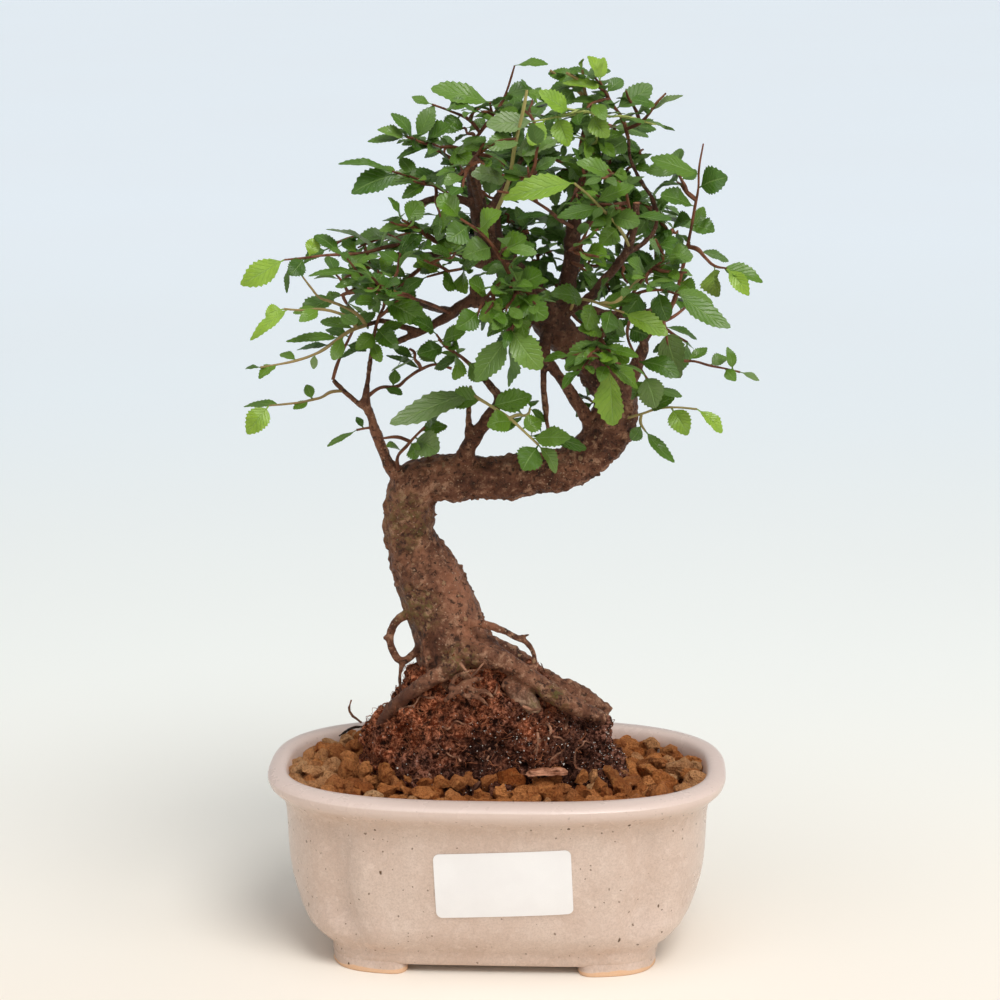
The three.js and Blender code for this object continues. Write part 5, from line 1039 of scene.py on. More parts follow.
def tint_parts(tree):
    """The four masks painted on a piece: first, second and third colour and alpha of Tint."""
    paint = wire(tree, "ShaderNodeAttribute", attribute_name="Tint")
    split = wire(tree, "ShaderNodeSeparateColor", {"Color": paint.outputs["Color"]})
    return (*split.outputs[:3], paint.outputs["Alpha"])


def akadama_material():
    skin, tree, place = new_material("akadama_grains")
    tan, bright, deep, _ = tint_parts(tree)
    lumps = crumbs(tree, place, 420.0)
    cloud = grain(tree, place, 150.0, 3.0)
    tone = blend(tree, bright, (0.4, 0.11, 0.024), (0.8, 0.3, 0.09))
    tone = blend(tree, tan, tone, (0.9, 0.54, 0.27))
    tone = blend(tree, ramp(tree, cloud, 0.42, 0.72, 0.0, 0.5), tone, (0.3, 0.075, 0.012))
    # Painted highlight: the raised crumbs of the grains are lighter.
    tone = blend(tree, ramp(tree, lumps, 0.78, 1.05, 0.0, 0.45), tone, (0.76, 0.36, 0.11))
    speckle = grain(tree, place, 1250.0, 4.0, 0.75)
    tone = blend(tree, ramp(tree, speckle, 0.56, 0.34, 0.0, 0.7), tone, (0.36, 0.25, 0.2), "MULTIPLY")
    # Painted shade: the bed and the buried grains are darkened towards black, where shade falls between the
    # grains.
    tone = blend(tree, deep, tone, (0.07, 0.02, 0.006))
    height = scaled(tree, speckle, 0.5, lumps)
    return dress(skin, tone, 0.93, height, 1.0, 0.003, 0.12)


def near_spot(tree, place, spot, reach):
    """A soft mask round a spot given in millimetres."""
    away = wire(tree, "ShaderNodeVectorMath", {0: place, 1: Vector(spot) * MM}, operation="DISTANCE")
    return ramp(tree, away.outputs["Value"], reach * MM * 0.4, reach * MM, 1.0, 0.0)


def near_any(tree, place, first, second):
    return larger(tree, near_spot(tree, place, *first), near_spot(tree, place, *second))


def peat_material():
    """Fibrous peat: red and dry on the upper left, black and damp low on the right, with painted shade in
    its pits and raised crumbs that are lighter, partly from a painted highlight.
    """
    skin, tree, place = new_material("root_ball_peat")
    lumps = crumbs(tree, place, 760.0)
    wide = grain(tree, place, 70.0, 3.0)
    across = scaled(tree, axis(tree, place, "X"), -14.0, -0.1)
    up = scaled(tree, axis(tree, place, "Z"), 16.0, -1.15)
    red = maths(tree, "ADD", maths(tree, "ADD", across, up), scaled(tree, wide, 3.4, -1.7))
    red = ramp(tree, red, -0.5, 0.7)
    tone = blend(tree, red, (0.04, 0.01, 0.005), (0.17, 0.034, 0.011))
    # Raised crumbs are lighter: partly the orange of the fibres, partly a painted highlight.
    raised = blend(tree, red, (0.42, 0.18, 0.12), (0.95, 0.34, 0.17))
    tone = blend(tree, ramp(tree, lumps, 0.64, 0.95), tone, raised)
    dust = flecks(tree, place, 900.0, 0.16, 0.28)
    tone = blend(tree, times(tree, dust, 0.75), tone, (0.75, 0.45, 0.32))
    # Painted shade: near-black pits where the peat is hollow.
    hollows = ramp(tree, grain(tree, place, 280.0, 5.0, 0.75), 0.52, 0.38, 0.0, 0.96)
    tone = blend(tree, hollows, tone, (0.012, 0.003, 0.0015))
    damp = near_any(tree, place, ((-2, -22, 64), 22), ((22, -20, 66), 20))
    tone = blend(tree, times(tree, damp, 0.62), tone, (0.02, 0.007, 0.005))
    rough = ramp(tree, grain(tree, place, 800.0), 0.35, 0.6, 0.35, 0.9)
    return dress(skin, tone, rough, lumps, 1.0, 0.002, 0.08)


def fibre_material(name, dark, light, rough):
    skin, tree, place = new_material(name)
    share = grain(tree, place, 260.0, 3.0)
    fine = grain(tree, place, 2200.0, 3.0)
    tone = blend(tree, ramp(tree, share, 0.35, 0.65), dark, light)
    tone = blend(tree, ramp(tree, fine, 0.45, 0.7, 0.0, 0.5), tone, dark)
    return dress(skin, tone, rough, fine, 0.5, 0.0003, 0.2)


def perlite_material():
    skin, tree, place = new_material("perlite")
    pits = grain(tree, place, 2400.0, 3.0)
    tone = blend(tree, ramp(tree, pits, 0.35, 0.65), (0.55, 0.5, 0.44), (0.92, 0.89, 0.84))
    return dress(skin, tone, 0.7, pits, 0.6, 0.0003)


def bark_material():
    """Reddish grey-brown bark with fine pale dots, painted shade in its hollows and sunk bud rings, lighter
    smooth patches that are partly a painted highlight, moss, pale cuts and painted shade on the wood inside
    the crown.
    """
    skin, tree, place = new_material("elm_bark")
    tops, sunk, cut, _ = tint_parts(tree)
    lumps = crumbs(tree, place, 520.0)
    wide = grain(tree, place, 70.0, 4.0, 0.6)
    patchy = grain(tree, place, 300.0, 5.0, 0.75, 0.4)
    tone = blend(tree, ramp(tree, wide, 0.36, 0.64), (0.115, 0.043, 0.023), (0.26, 0.11, 0.06))
    tone = blend(tree, ramp(tree, patchy, 0.5, 0.66, 0.0, 0.8), tone, (0.46, 0.26, 0.16))
    tone = blend(tree, ramp(tree, patchy, 0.48, 0.37, 0.0, 0.7), tone, (0.045, 0.017, 0.009))
    # Smooth reddish patches low on the trunk's front: lighter smooth bark, partly a painted highlight.
    smooth = near_any(tree, place, ((-11, -9, 127), 12), ((-6, -12, 112), 9))
    tone = blend(tree, times(tree, smooth, 0.5), tone, (0.4, 0.165, 0.09))
    # Painted shade: the low places of the crumbly bark are darkened nearly to black.
    tone = blend(tree, ramp(tree, lumps, 0.7, 0.56, 0.0, 0.85), tone, (0.02, 0.009, 0.005))
    dots = flecks(tree, place, 950.0, 0.36, 0.28)
    crusts = flecks(tree, place, 400.0, 0.16, 0.3)
    tone = blend(tree, times(tree, dots, 0.55), tone, (0.6, 0.4, 0.26))
    tone = blend(tree, times(tree, crusts, 0.6), tone, (0.42, 0.26, 0.14))
    # Painted shade in the sunk ring round each bud.
    tone = blend(tree, ramp(tree, sunk, 0.25, 0.9, 0.0, 0.4), tone, (0.04, 0.018, 0.008))
    tone = blend(tree, ramp(tree, tops, 0.3, 0.9, 0.0, 0.35), tone, (0.3, 0.16, 0.08))
    bulge = times(tree, near_spot(tree, place, (8, -18, 85), 9), 0.75)
    worn = blend(tree, ramp(tree, patchy, 0.38, 0.6), (0.2, 0.1, 0.06), (0.58, 0.38, 0.26))
    tone = blend(tree, bulge, tone, worn)
    moss = near_any(tree, place, ((-27, -9, 118), 11), ((17, -17, 88), 9))
    moss = larger(tree, moss, times(tree, near_spot(tree, place, (-32, -7, 148), 14), 0.7))
    moss = larger(tree, moss, near_spot(tree, place, (-12, -13, 101), 9))
    moss = times(tree, moss, ramp(tree, grain(tree, place, 520.0, 4.0, 0.75), 0.45, 0.6))
    tone = blend(tree, times(tree, moss, 0.5), tone, (0.15, 0.15, 0.035))
    low_root = times(tree, near_spot(tree, place, (-33, -14, 82), 17), 0.6)
    tone = blend(tree, low_root, tone, (0.1, 0.036, 0.02))
    # Painted shade: the wood higher than the lower trunk, inside the crown, is darkened.
    high = axis(tree, place, "Z")
    tone = blend(tree, ramp(tree, high, 0.165, 0.215, 0.0, 0.6), tone, (0.03, 0.014, 0.008))
    tone = blend(tree, cut, tone, (0.5, 0.22, 0.12))
    rough = ramp(tree, patchy, 0.35, 0.65, 0.42, 0.72)
    height = scaled(tree, larger(tree, dots, crusts), 0.3, lumps)
    return dress(skin, tone, rough, height, 1.0, 0.0013, 0.22)


def twig_material():
    skin, tree, place = new_material("young_twigs")
    straw, green, _, _ = tint_parts(tree)
    share = grain(tree, place, 240.0, 3.0)
    fine = grain(tree, place, 1500.0, 3.0, 0.65)
    tone = blend(tree, ramp(tree, share, 0.35, 0.65), (0.085, 0.028, 0.014), (0.2, 0.075, 0.036))
    tone = blend(tree, straw, tone, blend(tree, share, (0.36, 0.25, 0.1), (0.5, 0.4, 0.17)))
    tone = blend(tree, green, tone, (0.36, 0.45, 0.12))
    tone = blend(tree, ramp(tree, fine, 0.56, 0.72, 0.0, 0.45), tone, (0.3, 0.19, 0.11))
    return dress(skin, tone, 0.6, fine, 0.4, 0.0003, 0.25)


def vein_group():
    """The midrib and side veins of a leaf from its own map: along in X, across in Y."""
    ins = (("Map", VECTOR, None), ("Pairs", FLOAT, 7.0))
    group, given, out = new_group("leaf_veins", ins, (("Midrib", FLOAT), ("Veins", FLOAT)))
    split = wire(group, "ShaderNodeSeparateXYZ", {0: given["Map"]})
    off = maths(group, "ABSOLUTE", maths(group, "SUBTRACT", split.outputs["Y"], 0.5))
    midrib = ramp(group, off, 0.012, 0.04, 1.0, 0.0)
    slant = maths(group, "SUBTRACT", split.outputs["X"], times(group, off, 0.55))
    steps = times(group, slant, given["Pairs"])
    wave = maths(group, "ABSOLUTE", maths(group, "SUBTRACT", maths(group, "FRACT", steps), 0.5))
    veins = ramp(group, wave, 0.0, 0.17, 1.0, 0.0)
    group.links.new(midrib, out["Midrib"])
    group.links.new(veins, out["Veins"])
    return group


VEINS = vein_group()


def leaf_material():
    skin, tree, place = new_material("elm_leaf")
    yellow, bright, grey, under = tint_parts(tree)
    leaf_map = wire(tree, "ShaderNodeUVMap", uv_map="UVMap").outputs["UV"]
    veins = use_group(tree, VEINS, {"Map": leaf_map, "Pairs": 8.0})
    mottle = grain(tree, place, 260.0, 3.0)
    fine = grain(tree, place, 1400.0, 3.0, 0.6)
    tone = blend(tree, bright, (0.042, 0.11, 0.007), (0.17, 0.31, 0.022))
    tone = blend(tree, yellow, tone, (0.36, 0.53, 0.05))
    tone = blend(tree, grey, tone, (0.17, 0.24, 0.09))
    tone = blend(tree, ramp(tree, mottle, 0.4, 0.7, 0.0, 0.3), tone, (0.09, 0.2, 0.01))
    tone = blend(tree, times(tree, veins["Veins"], 0.16), tone, (0.15, 0.3, 0.06))
    tone = blend(tree, times(tree, veins["Midrib"], 0.45), tone, (0.24, 0.38, 0.1))
    ribs = times(tree, larger(tree, veins["Midrib"], veins["Veins"]), 0.5)
    below = blend(tree, ribs, (0.11, 0.22, 0.05), (0.2, 0.33, 0.1))
    below = blend(tree, yellow, below, (0.36, 0.52, 0.08))
    tone = blend(tree, under, tone, below)
    upper = ramp(tree, mottle, 0.35, 0.65, 0.27, 0.4)
    rough = scaled(tree, under, 0.25, upper)
    height = scaled(tree, fine, 0.12, times(tree, veins["Veins"], -0.8))
    height = scaled(tree, veins["Midrib"], -1.0, height)
    return dress(skin, tone, rough, height, 0.55, 0.0003, 0.4)


def plastic_material():
    skin, tree, place = new_material("drain_mesh_plastic")
    fine = grain(tree, place, 1200.0, 3.0)
    cloud = grain(tree, place, 120.0)
    tone = blend(tree, ramp(tree, cloud, 0.3, 0.7), (0.012, 0.02, 0.017), (0.03, 0.045, 0.04))
    rough = ramp(tree, fine, 0.3, 0.7, 0.45, 0.7)
    return dress(skin, tone, rough, fine, 0.2, 0.0003)


def soil_material():
    skin, tree, place = new_material("potting_soil")
    lumps = crumbs(tree, place, 300.0)
    tone = blend(tree, ramp(tree, lumps, 0.5, 1.0), (0.014, 0.009, 0.006), (0.09, 0.05, 0.03))
    return dress(skin, tone, 0.95, lumps, 1.0, 0.0015)


def floor_material():
    """A pale floor, warm near the pot and cooler far behind it, where it also glows faintly blue as painted
    light.
    """
    (material, shader), tree, place = new_material("studio_floor")
    away = axis(tree, place, "Y")
    cloud = grain(tree, place, 2.0, 3.0)
    tone = blend(tree, ramp(tree, away, -0.25, 0.4), (0.92, 0.82, 0.7), (0.9, 0.92, 0.88))
    tone = blend(tree, ramp(tree, away, 0.2, 1.1), tone, (0.88, 0.95, 0.98))
    tone = blend(tree, ramp(tree, cloud, 0.3, 0.7, 0.0, 0.15), tone, (0.86, 0.87, 0.87))
    give(tree, shader, "Base Color", tone)
    # Painted light: the far floor glows faintly blue though it is no lamp.
    give(tree, shader, "Emission Color", (0.55, 0.68, 1.0, 1))
    give(tree, shader, "Emission Strength", ramp(tree, away, 0.3, 2.2, 0.0, 0.1))
    give(tree, shader, "Roughness", 0.85)
    give(tree, shader, "Specular IOR Level", 0.2)
    return material


# The pot
def lowness(z):
    """How near the foot a height is: the plan grows squarer and shorter downwards."""
    share = min(1.0, max(0.0, (POT_LOW[1] - z) / (POT_LOW[1] - POT_LOW[0])))
    return share * share * (3 - 2 * share)


def half_width(ring, z):
    less = POT_LENGTH_LESS_WIDTH - POT_LOW_LESS_WIDTH * lowness(z)
    if z > RIM_BOTTOM:
        less += RIM_LESS_WIDTH * min(1.0, max(0.0, (RIM_RING - ring) / RIM_FADE))
    return ring - less if ring > POT_SMALL_RING else ring * (POT_SMALL_RING - less) / POT_SMALL_RING


def plan_power(z):
    return POT_PLAN_POWER + POT_LOW_POWER * lowness(z)


def plan_point(ring, angle, z):
    power = 2 / plan_power(z)
    cos, sin = math.cos(angle), math.sin(angle)
    x = math.copysign(abs(cos) ** power * ring, cos)
    y = math.copysign(abs(sin) ** power * half_width(ring, z), sin)
    return x, y


# The pot's section as (half length, height), up the outside and down the inside
POT_OUTSIDE = (
    (30, 2.8), (53, 2.8), (54.6, 3), (55.1, 3.8), (55.3, 5.2), (55.7, 6.6), (56.8, 8), (58.8, 9.6),
    (61, 11.4), (63.8, 14), (66.2, 17.4), (68.2, 21.6), (69.6, 26.6), (70.4, 32), (70.8, 38), (71, 44),
    (71.3, 49), (71.8, 52), (72.7, 54.1), (74, 55.8), (75.5, 57.1), (76.7, 58.4), (77.3, 59.9),
    (77.3, 61.1), (76.7, 61.9), (75.5, 62.5), (74, 62.9), (72.7, 62.9), (71.7, 62.5), (71.1, 61.8),
    (70.7, 60.8), (70.2, 58.8), (69, 55), (68, 51), (67.2, 44), (65.6, 32), (62, 21), (57, 14), (50, 11),
    (30, 10.5),
)


def loft(outlines, name):
    """A closed shell drawn out, outline by outline, from a circle. Outlines are points in millimetres."""
    sides = len(outlines[0])
    thing = add_mesh(bpy.ops.mesh.primitive_circle_add, vertices=sides, radius=MM)
    thing.name = name
    thing.data.name = name
    with editing():
        for _ in outlines[1:]:
            bpy.ops.mesh.extrude_edges_move(TRANSFORM_OT_translate={"value": (0, 0, MM)})
    move_spots(thing.data, np.array(outlines).reshape(-1, 3) * MM)
    with editing("DESELECT"):
        bpy.ops.mesh.select_non_manifold()
        bpy.ops.mesh.edge_face_add()
    turn_outwards()
    return thing


def cut_with(thing, tool, way):
    """Joins the tool to the thing, or cuts it out of it, and throws the tool away."""
    use_modifier(thing, "BOOLEAN", operation=way, object=tool, solver="EXACT")
    bpy.data.objects.remove(tool)


def make_foot(side_x, side_y):
    """A low pad that carries on the wall at a corner, with round ends and an eased bottom edge."""
    edge = []
    for i in range(FOOT_STEPS + 1):
        angle = math.radians(FOOT_START + (FOOT_END - FOOT_START) * i / FOOT_STEPS)
        x, y = plan_point(FOOT_RING, angle, 3)
        edge.append(Vector((x * side_x, y * side_y)))
    outer, middle, inner = [], [], []
    for i, point in enumerate(edge):
        way = (edge[min(i + 1, FOOT_STEPS)] - edge[max(i - 1, 0)]).normalized()
        inward = Vector((-way.y, way.x))
        if inward.dot(point) > 0:
            inward.negate()
        outer.append(point)
        middle.append(point + inward * FOOT_HALF_WIDTH)
        inner.append(point + inward * FOOT_HALF_WIDTH * 2)
    turn = -1 if side_x * side_y > 0 else 1
    ends = []
    for centre, start in ((middle[-1], outer[-1]), (middle[0], inner[0])):
        spoke = start - centre
        ends.append([centre + Matrix.Rotation(-turn * math.pi * k / 8, 2) @ spoke for k in range(1, 8)])
    outline = outer + ends[0] + inner[::-1] + ends[1]
    foot = loft([[(p.x * s, p.y * s * flare, z) for p in outline] for z, s, flare in FOOT_ROWS], "foot")
    with editing("DESELECT"):
        pass  # leaves nothing selected
    for edge_line in foot.data.edges:
        edge_line.select = all(foot.data.vertices[i].co.z < 0.1 * MM for i in edge_line.vertices)
    bpy.ops.object.mode_set(mode="EDIT")
    bpy.ops.mesh.select_mode(type="EDGE")
    bpy.ops.mesh.bevel(offset=FOOT_ROUNDING * MM, segments=3)
    bpy.ops.object.mode_set(mode="OBJECT")
    return foot


def press_grooves(pot):
    """Presses a shallow upright groove between two soft swellings into each corner of the wall."""
    places = spots(pot.data) / MM
    x, y, z = places.T
    on_wall = np.clip((z - 5) / 12, 0, 1) * np.clip((57 - z) / 7, 0, 1)
    outside = np.clip((np.abs(y) - 12) / 14, 0, 1)
    centre = GROOVE_X * (0.85 + 0.15 * np.clip((z - 5) / 22, 0, 1))
    groove = GROOVE_DEPTH * np.exp(-(((np.abs(x) - centre) / GROOVE_REACH) ** 2))
    outer = 0.6 * np.exp(-(((np.abs(x) - centre - RIDGE_OFF_GROOVE) / 5) ** 2))
    inner = 0.7 * np.exp(-(((np.abs(x) - centre + RIDGE_OFF_GROOVE) / 5) ** 2))
    push = (outer + inner - groove) * on_wall * outside
    places[:, 1] += np.sign(y) * push
    places[:, 0] += np.sign(x) * push * 0.6
    move_spots(pot.data, places * MM)


def turn_with_pot(piece):
    """The pot stands a little turned, its right end nearer."""
    piece.rotation_euler.z = math.radians(POT_TURN)
    place_in_mesh(piece)


def make_pot():
    sides = [2 * math.pi * side / POT_SIDES for side in range(POT_SIDES)]
    outlines = [[(*plan_point(ring, angle, z), z) for angle in sides] for ring, z in POT_OUTSIDE]
    pot = loft(outlines, "pot_body")
    press_grooves(pot)
    for side_x in (1, -1):
        for side_y in (1, -1):
            cut_with(pot, make_foot(side_x, side_y), "UNION")
    for x in (-DRAIN_X, DRAIN_X):
        drill = add_mesh(
            bpy.ops.mesh.primitive_cylinder_add, vertices=40, radius=DRAIN_RADIUS * MM,
            depth=DRAIN_DEPTH * MM, location=(x * MM, 0, DRAIN_Z * MM),
        )
        cut_with(pot, drill, "DIFFERENCE")
    turn_with_pot(pot)
    return hand_over(pot, ["pot"], [glaze_material()], smooth_angle=35)


def wall_depth(x, z):
    """The Y of the pot's front wall at (x, z), from the rows the wall is drawn through."""
    depths = []
    for ring, height in POT_OUTSIDE[1:WALL_ROWS]:
        power = plan_power(height)
        depths.append(half_width(ring, height) * max(0, 1 - (abs(x) / ring) ** power) ** (1 / power))
    return -float(np.interp(z, [row[1] for row in POT_OUTSIDE[1:WALL_ROWS]], depths))


def make_label():
    """A bare paper label with rounded corners, bent to the wall."""
    label = add_mesh(bpy.ops.mesh.primitive_plane_add, size=MM)
    label.name = "paper_label"
    label.scale = (LABEL_WIDTH, LABEL_HEIGHT, 1)
    place_in_mesh(label)
    with editing():
        bpy.ops.mesh.bevel(offset=LABEL_CORNER * MM, segments=6, affect="VERTICES")
        for axis, reach, step in ((0, LABEL_WIDTH / 2, 1.5), (1, LABEL_HEIGHT / 2, 2.5)):
            cut = -reach + step
            while cut < reach - 0.1:
                spot, way = [0, 0, 0], [0, 0, 0]
                spot[axis], way[axis] = cut * MM, 1
                bpy.ops.mesh.select_all(action="SELECT")
                bpy.ops.mesh.bisect(plane_co=spot, plane_no=way)
                cut += step
    turn = math.radians(LABEL_TURN)
    places = []
    for x, y, _ in spots(label.data) / MM:
        across = LABEL_X + x * math.cos(turn) - y * math.sin(turn)
        up = LABEL_Z + x * math.sin(turn) + y * math.cos(turn)
        places.append((across * MM, (wall_depth(across, up) - LABEL_OFF_WALL) * MM, up * MM))
    move_spots(label.data, places)
    turn_outwards()
    if label.data.polygons[0].normal.y > 0:
        label.data.flip_normals()
    use_modifier(label, "SOLIDIFY", thickness=0.2 * MM, offset=-1)
    turn_with_pot(label)
    return hand_over(label, ["blank_label"], [paper_material()], smooth_angle=40)


# Roughening and painting
def roughen(mesh, layers, weights=None):
    """Moves each point along its normal by lumps of each (size, height, place in the noise)."""
    places = spots(mesh)
    rise = np.zeros(len(places))
    for size, height, shift in layers:
        scale = 1 / (size * MM)
        rise += [height * MM * noise.noise(Vector(p) * scale + Vector((shift, shift, 0))) for p in places]
    if weights is not None:
        rise *= weights
    move_spots(mesh, places + normals_of(mesh) * rise[:, None])


def paint(mesh, colours):
    """Stores one colour for all corners, or one colour for each corner, as Tint."""
    layer = mesh.color_attributes.get("Tint") or mesh.color_attributes.new("Tint", "FLOAT_COLOR", "CORNER")
    colours = np.asarray(colours, dtype=np.float32)
    if colours.ndim == 1:
        colours = np.tile(colours, (len(mesh.loops), 1))
    layer.data.foreach_set("color", colours.ravel())


def corner_points(mesh):
    points = np.empty(len(mesh.loops), dtype=np.int32)
    mesh.loops.foreach_get("vertex_index", points)
    return points


def settle(piece, ground):
    """Lets a piece down, or lifts it, until its lowest places touch the ground below."""
    tree = BVHTree.FromObject(ground, bpy.context.evaluated_depsgraph_get())
    gaps = []
    for place in spots(piece.data):
        hit = tree.ray_cast(Vector((place[0], place[1], 0.2)), Vector((0, 0, -1)))[0]
        if hit:
            gaps.append(place[2] - hit.z)
    move_spots(piece.data, spots(piece.data) - np.array([0, 0, min(gaps) + 0.1 * MM]))


# Akadama
def grain_shape(dice):
    """A ball of eighty faces, worn flat from nine sides."""
    thing = add_mesh(bpy.ops.mesh.primitive_ico_sphere_add, subdivisions=2, radius=1)
    places = spots(thing.data)
    for _ in range(9):
        way = np.array(any_way(dice))
        way /= np.linalg.norm(way)
        over = np.maximum(places @ way - dice.uniform(0.5, 0.8), 0)
        places -= over[:, None] * way
    places += [[dice.uniform(-0.12, 0.12) for _ in range(3)] for _ in places]
    move_spots(thing.data, places)
    return thing


def copy_shape(shape, places, name="copy"):
    thing = add_object(name, shape.data.copy())
    move_spots(thing.data, places)
    return thing


def heap(x, y):
    """How much higher the grains lie against the root ball, most of all behind it on the left."""
    away = math.hypot((x + 2) / 44, y / 21) - 1
    mound = 4.5 * math.exp(-(((x + 46) / 13) ** 2) - ((y - 16) / 16) ** 2)
    low_end = 1 - 0.6 * min(1, max(0, (x - 30) / 15))
    return 4.2 * low_end * math.exp(-((max(away, 0) / 0.3) ** 2)) + mound


def scatter_grains(dice):
    """Centres and sizes of the grains, in three layers between the pot's wall and the root ball."""
    kept = []
    for z, spacing, tries, heaped in GRAIN_LAYERS:
        layer = []
        for _ in range(tries):
            x, y = (dice.uniform(-reach, reach) for reach in GRAIN_FIELD)
            size = dice.uniform(*GRAIN_SIZES)
            ring = GRAIN_RING - size * 0.55
            if (abs(x) / ring) ** POT_PLAN_POWER + (abs(y) / half_width(ring, z)) ** POT_PLAN_POWER > 1:
                continue
            if ((x - BALL_X) / BALL_REACH[0]) ** 2 + (y / BALL_REACH[1]) ** 2 < 1:
                continue
            if all((x - a) ** 2 + (y - b) ** 2 > (spacing * (size + s) / 7.4) ** 2 for a, b, _, s in layer):
                level = z + heaped * heap(x, y) + dice.uniform(-GRAIN_UNEVEN, GRAIN_UNEVEN)
                layer.append((x, y, level, size))
        kept += layer
    return kept


def make_akadama():
    dice = random.Random(SEED_OF_GRAINS)
    shapes = [grain_shape(dice) for _ in range(GRAIN_SHAPES)]
    grains = []
    for x, y, z, size in scatter_grains(dice):
        shape = dice.choice(shapes)
        turn = Matrix.Rotation(dice.uniform(0, 6.28), 3, any_way(dice))
        stretch = np.array([size * dice.uniform(*share) for share in GRAIN_STRETCH])
        places = (spots(shape.data) * stretch) @ np.array(turn) + np.array([x, y, z])
        copy = copy_shape(shape, places * MM)
        ends = max(0, (abs(x) - 44) / 20)
        tan_share = 0.08 + (0.9 if x < 0 else 0.4) * ends
        tan = dice.uniform(0.3, 0.9) if dice.random() < tan_share else dice.uniform(0, 0.14)
        bright = min(1, dice.random() + 0.3 * ends)
        # The third channel is painted shade: half for grains below BURIED_BELOW, nearly none for the top
        # layer.
        deep = 0.5 if z < BURIED_BELOW else dice.uniform(0, 0.1)
        paint(copy.data, (tan, bright, deep, 1))
        grains.append(copy)
    sides = [2 * math.pi * side / 72 for side in range(72)]
    bed = loft([[(*plan_point(ring, angle, z), z) for angle in sides] for ring, z in BED_SECTION], "bed")
    # The bed under the grains is painted fully dark, as painted shade in the gaps between them.
    paint(bed.data, (0, 0, 1, 1))
    for shape in shapes:
        bpy.data.objects.remove(shape)
    whole = join([bed, *grains], "akadama_grains")
    turn_with_pot(whole)
    return hand_over(whole, ["akadama_topping"], [akadama_material()], smooth_angle=26)


# Chip and twig that lie on the grains
def make_chip(grains):
    """A splintered strip of bark: thin layers with torn ends, laid on each other."""
    dice = random.Random(SEED_OF_CHIP)
    low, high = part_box("bark_chip")
    centre = (low + high) / 2 / MM
    layers = []
    for index, (reach, half, lift, shift) in enumerate(CHIP_LAYERS):
        layer = add_mesh(bpy.ops.mesh.primitive_grid_add, x_subdivisions=18, y_subdivisions=6, size=2)
        places = []
        for x, y, _ in spots(layer.data):
            torn = dice.uniform(0, 1.5) if abs(x) > 0.98 else dice.uniform(-0.12, 0.12)
            wide = half * (1 - 0.5 * abs(x) ** 3) * (1 + 0.12 * noise.noise(Vector((x * 4, index, y))))
            curl = 0.35 * y * y + 0.35 * noise.noise(Vector((x * 2, y * 1.5, index)))
            along = x * reach - math.copysign(torn, x) + shift
            places.append((along, y * wide, lift + curl - 0.012 * (x * reach) ** 2))
        move_spots(layer.data, np.array(places) * MM)
        use_modifier(layer, "SOLIDIFY", thickness=0.45 * MM, offset=0)
        layers.append(layer)
    chip = join(layers, "torn_bark_chip")
    chip.rotation_euler = (math.radians(28), math.radians(-2), math.radians(3))
    chip.location = (centre + Vector((-1, 4, 0))) * MM
    place_in_mesh(chip)
    settle(chip, grains)
    roughen(chip.data, [(1.1, 0.3, 3.0)])
    skin = fibre_material("dry_bark", (0.24, 0.09, 0.045), (0.62, 0.31, 0.19), 0.8)
    return hand_over(chip, ["bark_chip"], [skin], smooth_angle=30)


def make_dead_twig(grains):
    low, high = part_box("dry_twig")
    left, right = low / MM, high / MM
    line = [
        (left.x, left.y - 4, left.z + 0.5), (left.x + 2, left.y - 2, left.z + 1.3),
        (left.x + 5, left.y + 2.4, left.z + 1.6), (right.x - 2, right.y - 0.5, left.z + 1.5),
        (right.x, right.y - 0.2, left.z + 1.1),
    ]
    side = [(left.x + 4.6, left.y + 2.2, left.z + 1.5), (left.x + 5.6, left.y + 1.2, left.z + 2.4)]
    twig = rods([(line, [0.2, 0.42, 0.5, 0.36, 0.2]), (side, [0.28, 0.14])], "dead_twig", 2, 6)
    roughen(twig.data, [(0.9, 0.18, 1.0)])
    settle(twig, grains)
    skin = fibre_material("dead_twig_wood", (0.012, 0.008, 0.006), (0.05, 0.03, 0.02), 0.7)
    return hand_over(twig, ["dry_twig"], [skin], smooth_angle=50)


# Root ball
def make_root_ball():
    """A lofted lump, remeshed evenly, then broken up by lumps, hollows and crumbs."""
    sides = 48
    outlines = []
    for z, centre, half_length, half_depth in BALL_RINGS:
        turns = [2 * math.pi * side / sides for side in range(sides)]
        outlines.append([(centre + half_length * math.cos(a), half_depth * math.sin(a), z) for a in turns])
    ball = loft(outlines, "peat_root_ball")
    use_modifier(ball, "REMESH", mode="VOXEL", voxel_size=BALL_VOXEL * MM)
    for lumps in BALL_LUMPS:
        roughen(ball.data, lumps)
    return hand_over(ball, ["root_ball"], [peat_material()], smooth_angle=60)


def surface_walks(ball, dice, count, steps, pace, lift, where=None):
    """Lines that wander over the ball's surface, each a list of points in millimetres."""
    tree = BVHTree.FromObject(ball, bpy.context.evaluated_depsgraph_get())
    mesh = ball.data
    lines = []
    while len(lines) < count:
        face = mesh.polygons[dice.randrange(len(mesh.polygons))]
        place, normal = face.center.copy(), face.normal.copy()
        if place.z < WALKS_ABOVE * MM or (where and not where(place / MM)):
            continue
        way = Vector(any_way(dice)).cross(normal).normalized()
        line = []
        for _ in range(steps):
            line.append((place + normal * MM * dice.uniform(*lift)) / MM)
            bend = Vector(any_way(dice)) * 0.45
            way = (way + bend - normal * way.dot(normal)).normalized()
            place, normal, _, _ = tree.find_nearest(place + way * pace * MM * dice.uniform(0.7, 1.3))
        lines.append(line)
    return lines


